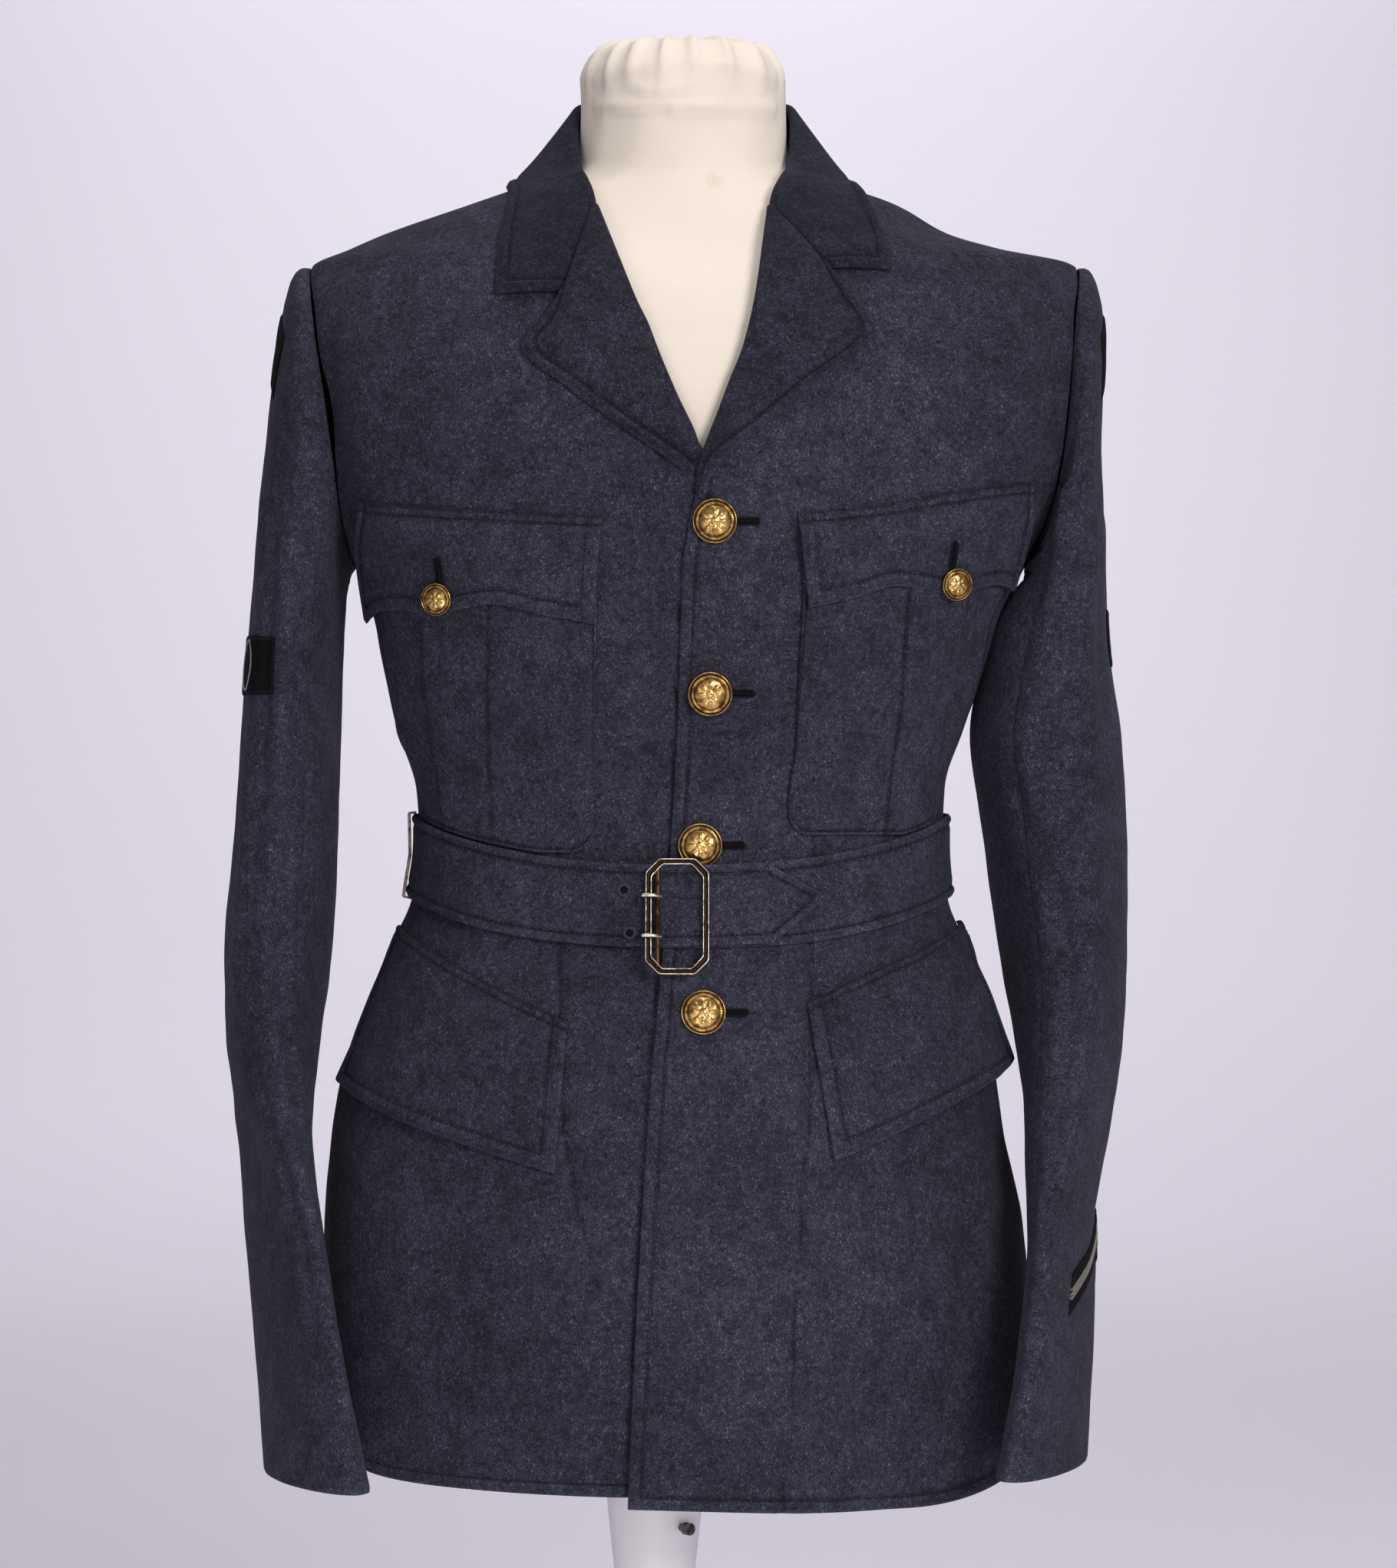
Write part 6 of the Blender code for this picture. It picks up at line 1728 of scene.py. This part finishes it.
def calico(name):
    made, tree, shader = material_tree(name, Roughness=0.88, Sheen_Weight=0.12)
    base = settings().calico
    where = node(tree, "ShaderNodeTexCoord").outputs["Object"]
    yarns = {"Vector": where, "Scale": 520.0, "Distortion": 2.0, "Detail": 1.0}
    upright, level = (node(tree, "ShaderNodeTexWave", yarns, bands_direction=way).outputs["Fac"] for way in "ZX")
    weave = times(tree, times(tree, upright, level, "ADD"), 0.5)
    cloudy = ranged(tree, noise(tree, 16.0, 4.0), 0.3, 0.72, 0.0, 0.3)
    colour = blended(tree, cloudy, base, tuple(c * k for c, k in zip(base, (0.9, 0.85, 0.8))))
    for spot, size, strength in STAINS:
        away = node(tree, "ShaderNodeVectorMath", {0: where, 1: spot}, operation="DISTANCE").outputs["Value"]
        away = times(tree, away, times(tree, noise(tree, 210.0, 2.0), 0.006), "ADD")
        mark_of = ranged(tree, away, size * 0.5 + 0.003, size * 1.3 + 0.003, strength, 0.0)
        colour = blended(tree, mark_of, colour, (0.42, 0.3, 0.2))
    fine = ranged(tree, weave, 0.2, 0.8, 0.0, 0.1)
    colour = blended(tree, fine, colour, tuple(c * 0.78 for c in base))
    tree.links.new(colour, shader.inputs["Base Color"])
    bumped(tree, shader, weave, 0.00018, 0.5)
    return made


def painted(name):
    made, tree, shader = material_tree(name, Roughness=0.42)
    tint = ranged(tree, noise(tree, 22.0, 4.0), 0.35, 0.75)
    colour = blended(tree, times(tree, tint, 0.5), (0.86, 0.83, 0.86), (0.8, 0.77, 0.8))
    tree.links.new(colour, shader.inputs["Base Color"])
    bumped(tree, shader, noise(tree, 420.0, 2.0), 0.00008, 0.3)
    return made


def badge_cloth(name):
    made, tree, shader = material_tree(name, Roughness=0.95, Specular_IOR_Level=0.06)
    share = ranged(tree, noise(tree, 1500.0, 2.0), 0.4, 0.65)
    colour = blended(tree, share, (0.0035, 0.0035, 0.0045), (0.009, 0.009, 0.011))
    border = ranged(tree, attribute(tree, "stitched"), 0.0, 0.0009, 0.6, 0.0)
    tree.links.new(blended(tree, border, colour, (0.016, 0.016, 0.019)), shader.inputs["Base Color"])
    bumped(tree, shader, noise(tree, 1500.0, 2.0), 0.0004, 0.5)
    return made


def backdrop_paint(name):
    made, tree, shader = material_tree(name, Roughness=0.95)
    share = ranged(tree, noise(tree, 0.8, 1.0), 0.3, 0.7)
    tree.links.new(blended(tree, share, (0.8, 0.77, 0.85), (0.82, 0.79, 0.87)), shader.inputs["Base Color"])
    return made


def kept(name, maker, *arguments):
    """A material made once and found again by its name."""
    return bpy.data.materials.get(name) or maker(name, *arguments)


def body_wool():
    return kept("body_wool", wool, 1.0)


def hole_shadow():
    return kept("hole_shadow", threadlike, (0.004, 0.004, 0.004))


# The add-on's operators

class JACKET_OT_body(bpy.types.Operator):
    """Cut the two fronts and the back, with their darts, seams and soft creases"""

    bl_idname = "jacket.body"
    bl_label = "Fronts and back"

    def execute(self, context):
        cloth_of = body_wool()
        body_panel("right_front", front_places(-1), 8, FRONT_LINES["right_front"], False, cloth_of)
        body_panel("left_front", front_places(1), 8, FRONT_LINES["left_front"], True, cloth_of)
        lines = [[(angle * GIRTH_STEP, height) for angle, height in line] for line in BACK_LINES]
        body_panel("back", back_places(), 6, lines, False, cloth_of)
        return {"FINISHED"}


class JACKET_OT_sleeves(bpy.types.Operator):
    """Make the two-piece sleeves with their lengthwise folds"""

    bl_idname = "jacket.sleeves"
    bl_label = "Sleeves"

    def execute(self, context):
        for side_name, side in (("right", -1), ("left", 1)):
            sleeve_piece(side_name + "_top_sleeve", side, -SEAM_TURN, SEAM_TURN, body_wool())
            sleeve_piece(side_name + "_under_sleeve", side, SEAM_TURN, 360 - SEAM_TURN, body_wool())
        return {"FINISHED"}


class JACKET_OT_collar(bpy.types.Operator):
    """Turn back the lapels and the collar, with their rolled folds and the stand"""

    bl_idname = "jacket.collar"
    bl_label = "Lapels and collar"

    def execute(self, context):
        # the lapels and the collar are darker copies of the body's serge: painted shade standing in for the shade
        # that falls on them
        lapel_wool, collar_wool = kept("lapel_wool", wool, 0.72), kept("collar_wool", wool, 0.56)
        lapel("right_lapel", -1, lapel_wool)
        lapel("left_lapel", 1, lapel_wool)
        collar(collar_wool)
        collar_stand(collar_wool)
        return {"FINISHED"}


class JACKET_OT_pockets(bpy.types.Operator):
    """Sew on the pleated breast pockets and the four flaps"""

    bl_idname = "jacket.pockets"
    bl_label = "Pockets and flaps"

    def execute(self, context):
        for side_name, side in (("right", -1), ("left", 1)):
            pocket(side_name, body_wool())
            table, ends = BREAST_FLAPS[side_name], BREAST_FLAP_ENDS[side_name]
            flap(side_name + "_breast_flap", side, table, ends, FLAP_LIFT, 0.0016, body_wool(), True)
            table, ends = HIP_FLAPS[side_name], HIP_FLAP_ENDS[side_name]
            flap(side_name + "_hip_flap", side, table, ends, 0.0012, 0.002, body_wool(), False)
        return {"FINISHED"}


class JACKET_OT_belt(bpy.types.Operator):
    """Lay the belt round the waist with its eyelets"""

    bl_idname = "jacket.belt"
    bl_label = "Belt and eyelets"

    def execute(self, context):
        belt(kept("belt_wool", wool, 1.02))
        rings, holes = [], []
        for x, height in EYELETS:
            angle = float(angle_of(x, height)) + 360.0
            across = (height - float(belt_height(angle))) / (BELT_HEIGHT / 2)
            spot = belt_point(np.array(angle), np.array(across), 1.0, BELT_CLOTH + 0.0006)
            matrix = body_matrix(spot, angle, height)
            turns = np.linspace(0, math.tau, 49)
            ring = np.column_stack((0.0029 * np.cos(turns), 0.0029 * np.sin(turns), np.full(49, 0.0002)))
            outward = np.column_stack((np.cos(turns), np.sin(turns), np.zeros(49)))
            rings.append((placed(ring, matrix), outward @ np.array(matrix.to_3x3()).T))
            holes.append(matrix)
        thread = kept("eyelet_thread", threadlike, (0.055, 0.055, 0.072))
        laid_along("belt_eyelets", rings, (0.0022, 0.00028, 0.00055), thread)
        for number, matrix in enumerate(holes, 1):
            made = turned(f"eyelet_hole_{number}", ((0.0003, -0.0002), (0.0018, -0.0002), (0.0019, 0.00055),
                                                    (0.001, 0.0006), (0.0003, 0.0006)), 20, matrix)
            finish_solid(made, "belt_serge", hole_shadow())
        return {"FINISHED"}


EYELETS = ((-0.0144, 0.5851), (-0.0115, 0.5606))


def body_matrix(spot, angle, height, way=(0.0, 0.0, 1.0)):
    """A plane on the body at a spot: across, up, out."""
    out = Vector(np.ravel(body_normal(angle, height)))
    side_way = Vector(way).cross(out).normalized()
    matrix = Matrix((side_way, out.cross(side_way), out)).transposed().to_4x4()
    matrix.translation = Vector(np.ravel(spot))
    return matrix


class JACKET_OT_buckle(bpy.types.Operator):
    """Make the eight-sided buckle, its bar and its prongs, and give the belt's side slide its metal"""

    bl_idname = "jacket.buckle"
    bl_label = "Buckle"

    def execute(self, context):
        plane = buckle_plane()
        nickel = kept("buckle_nickel", metal, tuple(settings().nickel), (0.035, 0.019, 0.012), 0.22, True)
        finish_solid(buckle_frame(), "buckle_metal", nickel, "buckle")
        outer_x = -BUCKLE_WIDTH / 2
        prong_metal = kept("prong_metal", metal, (0.72, 0.66, 0.56), (0.2, 0.14, 0.09), 0.22)
        bar_metal = kept("bar_metal", metal, (0.11, 0.055, 0.03), (0.03, 0.018, 0.012), 0.45)
        bar = [(outer_x + 0.0068, level, 0.0012) for level in np.linspace(-0.0265, 0.0265, 6)]
        finish_solid(tube("buckle_bar", placed(bar, plane), 0.0013), "buckle_metal", bar_metal)
        for number, up in enumerate((0.011, -0.011), 1):
            path = [(outer_x + x, up, level) for x, level in PRONG_PATH]
            made = tube(f"prong_{number}_bar", placed(path, plane), 0.0011)
            finish_solid(made, "buckle_metal", prong_metal, f"prong_{number}")
        refinish("belt_slide", kept("slide_metal", metal, (0.3, 0.25, 0.2), (0.06, 0.04, 0.03), 0.34))
        return {"FINISHED"}


PRONG_PATH = (
    (-0.001, 0.0041), (0.001, 0.0044), (0.003, 0.0043), (0.005, 0.0038), (0.0066, 0.0028), (0.0084, 0.001),
)


class JACKET_OT_buttons(bpy.types.Operator):
    """Turn the gilt buttons with their rosettes and beaded rings"""

    bl_idname = "jacket.buttons"
    bl_label = "Buttons"

    def execute(self, context):
        colour = tuple(settings().gilt)
        gilt = kept("button_gilt", metal, colour, (0.055, 0.026, 0.01), 0.24, True)
        ahead = (0.0, -1.0, 0.0)
        rings = []
        for number, (x, height) in enumerate(FRONT_BUTTONS, 1):
            matrix = button_place(x, height, float(lap_lift(x, height)) + 0.0003)
            rings.append((button(f"front_button_{number}", BUTTON_RADIUS, matrix, gilt), ahead))
        for side_name, values in BREAST_POCKETS.items():
            matrix = button_place(values[5], values[6], FLAP_LIFT + 0.0016 + 0.0018)
            rings.append((button(side_name + "_pocket_button", POCKET_BUTTON_RADIUS, matrix, gilt), ahead))
        bead = kept("bead_gilt", metal, colour, (0.16, 0.08, 0.03), 0.3)
        laid_along("button_beads", rings, (0.0009, 0.00045, 0.00125), bead)
        return {"FINISHED"}


class JACKET_OT_buttonholes(bpy.types.Operator):
    """Work the buttonholes of the front and of the flaps"""

    bl_idname = "jacket.buttonholes"
    bl_label = "Buttonholes"

    def execute(self, context):
        rings, slits = [], []
        for x, height in FRONT_BUTTONS:
            lift = float(lap_lift(np.array(x), np.array(height)))
            spot_x = x + 0.0162
            angle = float(angle_of(spot_x, height))
            spot = cloth(np.array(angle), np.array(height), lift + 0.0006)
            matrix = body_matrix(spot, angle, height)
            rings.append(slit(matrix, 0.015, 0.0034))
            slits.append((matrix, 0.0066, 0.0011))
        for side_name, values in BREAST_POCKETS.items():
            height = values[6] + BUTTON_HOLE_RISE
            angle = float(angle_of(values[5], height))
            spot = cloth(np.array(angle), np.array(height), FLAP_LIFT + 0.003)
            matrix = body_matrix(spot, angle, height) @ Matrix.Rotation(math.pi / 2, 4, "Z")
            rings.append(slit(matrix, 0.0148, 0.0036))
            slits.append((matrix, 0.0064, 0.0011))
        thread = kept("buttonhole_thread", threadlike, (0.01, 0.01, 0.014))
        laid_along("buttonholes", rings, (0.0017, 0.0003, 0.00055), thread)
        for number, (matrix, half, width) in enumerate(slits, 1):
            path = placed([(-half, 0, 0.0), (0, 0, 0.0001), (half, 0, 0.0)], matrix)
            finish_solid(tube(f"buttonhole_slit_{number}", path, width, 8), "serge", hole_shadow())
        return {"FINISHED"}


BUTTON_HOLE_RISE = 0.015


class JACKET_OT_stitching(bpy.types.Operator):
    """Sew the edge stitching of every stitched piece"""

    bl_idname = "jacket.stitching"
    bl_label = "Stitching"

    def execute(self, context):
        held = settings()
        inset = held.stitch_inset
        paths = []
        for name in ("left_front", "right_front"):
            grid = GRIDS[name]
            paths.append(inset_path(grid[: int(len(grid) * 0.66)], "left", inset, (inset, 0.0)))
            paths.append(inset_path(grid, "first", inset, (inset, 0.0)))
        paths.append(inset_path(GRIDS["back"], "first", inset))
        for name in ("right_lapel", "left_lapel"):
            paths.append(inset_path(GRIDS[name], "right", inset + 0.0005, (0.004, 0.001)))
        paths.append(inset_path(GRIDS["collar"], "right", inset, (inset, inset)))
        for end in ("first", "last"):
            paths.append(inset_path(GRIDS["collar"], end, inset, (0.01, inset)))
        for side_name in ("right", "left"):
            grid = GRIDS[side_name + "_breast_pocket"]
            for edge, trims in (("left", (0.0, 0.002)), ("right", (0.0, 0.002)), ("last", (0.002, 0.002))):
                paths.append(inset_path(grid, edge, 0.0022, trims))
            for kind, at in (("_breast_flap", inset + 0.0012), ("_hip_flap", inset + 0.0014)):
                grid = GRIDS[side_name + kind]
                for edge, trims in (("left", (0.0, at)), ("right", (0.0, at)), ("last", (at, at))):
                    paths.append(inset_path(grid, edge, at, trims))
                paths.append(inset_path(grid, "first", 0.005, (0.002, 0.002)))
        for edge in ("left", "right"):
            paths.append(inset_path(GRIDS["belt"], edge, 0.0052, (0.004, 0.004)))
        sizes = held.stitch_length, held.thread_radius, held.stitch_pitch
        thread = kept("sewing_thread", threadlike, (0.01, 0.01, 0.015))
        laid_along("edge_stitching", paths, sizes, thread)
        return {"FINISHED"}


class JACKET_OT_badges(bpy.types.Operator):
    """Sew the dark sleeve patches and the braided cuff stripe"""

    bl_idname = "jacket.badges"
    bl_label = "Patches and cuff stripe"

    def execute(self, context):
        rings = []
        for name, (side, top, foot, ahead, behind) in PATCHES.items():
            turns = np.linspace(ahead, behind, 60)
            rows = np.linspace(sleeve_row(side, top), sleeve_row(side, foot), 24)
            sleeve_badge(name, side, turns, rows[:, None] + 0 * turns)
            if name.endswith("lower_patch"):
                around = np.linspace(0, math.tau, 61)
                turn = (40.0 if side < 0 else -10.0) + 11.0 * np.cos(around)
                row = rows.mean() + 0.21 * np.sin(around)
                ring = sleeve_cloth(side, turn, row, settings().cloth_thickness + 0.0011)
                rings.append((ring, normalized(np.gradient(ring, axis=0))))
        pale = kept("pale_embroidery", threadlike, (0.3, 0.29, 0.3))
        laid_along("patch_rings", rings, (0.002, 0.0006, 0.0016), pale)
        turns = np.linspace(STRIPE_FRONT, STRIPE_BACK, 120)
        share = np.abs(turns - STRIPE_MIDDLE) / (STRIPE_FRONT - STRIPE_MIDDLE)
        level = mix(STRIPE_PEAK, STRIPE_LOW, share)
        table = np.array([(sleeve_row(1, h), h) for h in np.linspace(0.34, 0.43, 24)])
        heights = level + np.linspace(STRIPE_HEIGHT / 2, -STRIPE_HEIGHT / 2, 16)[:, None]
        rows = np.interp(heights, table[::-1, 1][::-1], table[::-1, 0][::-1])
        sleeve_badge("cuff_stripe", 1, turns, rows)
        grid = GRIDS["cuff_stripe"]
        braid = kept("braid_thread", threadlike, (0.27, 0.25, 0.23))
        paths = []
        down = normalized(grid[-1] - grid[0])
        for share, lean in ((0.4, 1.0), (0.5, -1.0), (0.6, 1.0)):
            line = refine(grid, 0, np.array([share * 15]))[0]
            along = normalized(np.gradient(line, axis=0))
            paths.append((line, normalized(along * 0.8 + down * lean * 0.75)))
        laid_along("cuff_braid", paths, (0.0028, 0.00036, 0.0015), braid)
        return {"FINISHED"}


def sleeve_badge(name, side, turns, rows):
    turn = np.broadcast_to(turns, rows.shape)
    rest = settings().cloth_thickness + 0.0002
    outer = sleeve_cloth(side, turn, rows, rest + 0.0008)
    free = edge_distance(outer, ("first", "last", "left", "right"))
    outer = sleeve_cloth(side, turn, rows, rest + 0.0008 - 0.0005 * bump(free, 0.0008))
    inner = sleeve_cloth(side, turn, rows, rest)
    made = wall(name, outer, inner, free, np.abs(free - 0.0014), 0.02)
    material = kept("badge_black", badge_cloth)
    return finish_cloth(made, name, material)


class JACKET_OT_form(bpy.types.Operator):
    """Cover the limbless form in cotton, gathered on top of the neck"""

    bl_idname = "jacket.form"
    bl_label = "Form"

    def execute(self, context):
        form_cover(kept("calico_cover", calico))
        return {"FINISHED"}


class JACKET_OT_stand(bpy.types.Operator):
    """Turn the post and the base and give the thumb screw its steel"""

    bl_idname = "jacket.stand"
    bl_label = "Post and base"

    def execute(self, context):
        paint = kept("white_paint", painted)
        for name, rows in (("post", POST), ("base", BASE)):
            profile = rounded_profile([(radius, height) for height, radius in rows], 6)
            profile = np.concatenate(([(0.001, profile[0][1])], profile, [(0.001, profile[-1][1])]))
            finish_solid(turned(name + "_turned", profile, 96), "stand_paint", paint, name)
        dark = kept("screw_steel", metal, (0.16, 0.15, 0.15), (0.03, 0.03, 0.03), 0.35, False, 300.0)
        refinish("thumb_screw", dark)
        return {"FINISHED"}


class JACKET_OT_studio(bpy.types.Operator):
    """Set the floor, the backdrop, the soft lights and the camera"""

    bl_idname = "jacket.studio"
    bl_label = "Studio"

    def execute(self, context):
        # the paper stands well back, so that a camera behind the jacket still has it at its back
        floor, bend_start, bend_radius = -0.0005, 4.2, 2.0
        profile = [(-8.0, floor), (bend_start, floor)]
        for turn in np.linspace(0, math.pi / 2, 24)[1:]:
            level = floor + bend_radius * (1 - math.cos(turn))
            profile.append((bend_start + bend_radius * math.sin(turn), level))
        profile += [(bend_start + bend_radius, 9.0)]
        points = [(x, y, z) for y, z in profile for x in (-9.0, 9.0)]
        faces = [(2 * i, 2 * i + 1, 2 * i + 3, 2 * i + 2) for i in range(len(profile) - 1)]
        paper = mesh_object("studio_backdrop", points, faces)
        paper.data.materials.append(kept("studio_paper", backdrop_paint))
        for name, place, aim, size, power in (
            ("key_light", (1.15, -2.2, 1.35), (0.02, 0, 0.72), 0.9, 41.0),
            ("fill_light", (-1.1, -3.0, 1.0), (0, 0, 0.66), 2.0, 13.0),
            ("low_light", (0.0, -1.2, 0.06), (0, 0, 0.16), 0.3, 3.0),
            ("top_light", (0.0, -0.6, 2.8), (0, 0, 0.8), 1.2, 6.0),
            ("paper_light", (0.0, 0.3, 3.4), (0, 2.4, 0.8), 3.0, 52.0),
            ("wall_light", (0.0, 4.3, 3.4), (0, 6.4, 0.8), 3.0, 56.0),
        ):
            lamp = bpy.data.lights.new(name, "AREA")
            lamp.shape, lamp.size, lamp.energy = "DISK", size, power
            lamp.color = (1.0, 0.985, 0.98)
            held = bpy.data.objects.new(name, lamp)
            held.location = place
            held.rotation_euler = (Vector(aim) - Vector(place)).to_track_quat("-Z", "Y").to_euler()
            context.scene.collection.objects.link(held)
        world = bpy.data.worlds.new("soft_room")
        context.scene.world = world
        world.use_nodes = True
        world.node_tree.nodes["Background"].inputs["Color"].default_value = (0.93, 0.92, 1.0, 1.0)
        world.node_tree.nodes["Background"].inputs["Strength"].default_value = 0.22
        camera = bpy.data.cameras.new("photo_camera")
        camera.lens, camera.sensor_width, camera.sensor_fit = 106.55, 36.0, "AUTO"
        camera.dof.use_dof = False
        held = bpy.data.objects.new("photo_camera", camera)
        held.location = (0.0245, -2.6, 0.643)
        held.rotation_euler = (math.radians(90), 0, 0)
        context.scene.collection.objects.link(held)
        context.scene.camera = held
        context.scene.view_settings.view_transform = "Standard"
        return {"FINISHED"}


STEPS = (
    JACKET_OT_body, JACKET_OT_sleeves, JACKET_OT_collar, JACKET_OT_pockets, JACKET_OT_belt, JACKET_OT_buckle,
    JACKET_OT_buttons, JACKET_OT_buttonholes, JACKET_OT_stitching, JACKET_OT_badges, JACKET_OT_form,
    JACKET_OT_stand, JACKET_OT_studio,
)


class JACKET_PT_panel(bpy.types.Panel):
    """Sizes, colours and pieces of the jacket"""

    bl_idname = "JACKET_PT_panel"
    bl_label = "Uniform jacket"
    bl_space_type = "VIEW_3D"
    bl_region_type = "UI"
    bl_category = "Jacket"

    def draw(self, context):
        for name in JacketSettings.__annotations__:
            self.layout.prop(context.scene.uniform_jacket, name)
        for step in STEPS:
            self.layout.operator(step.bl_idname)


CLASSES = (JacketSettings, *STEPS, JACKET_PT_panel)


def register():
    for item in CLASSES:
        bpy.utils.register_class(item)
    bpy.types.Scene.uniform_jacket = PointerProperty(type=JacketSettings)


def unregister():
    del bpy.types.Scene.uniform_jacket
    for item in reversed(CLASSES):
        bpy.utils.unregister_class(item)


def main():
    register()
    for step in STEPS:
        group, title = step.bl_idname.split(".")
        getattr(getattr(bpy.ops, group), title)()


if __name__ == "__main__":
    main()
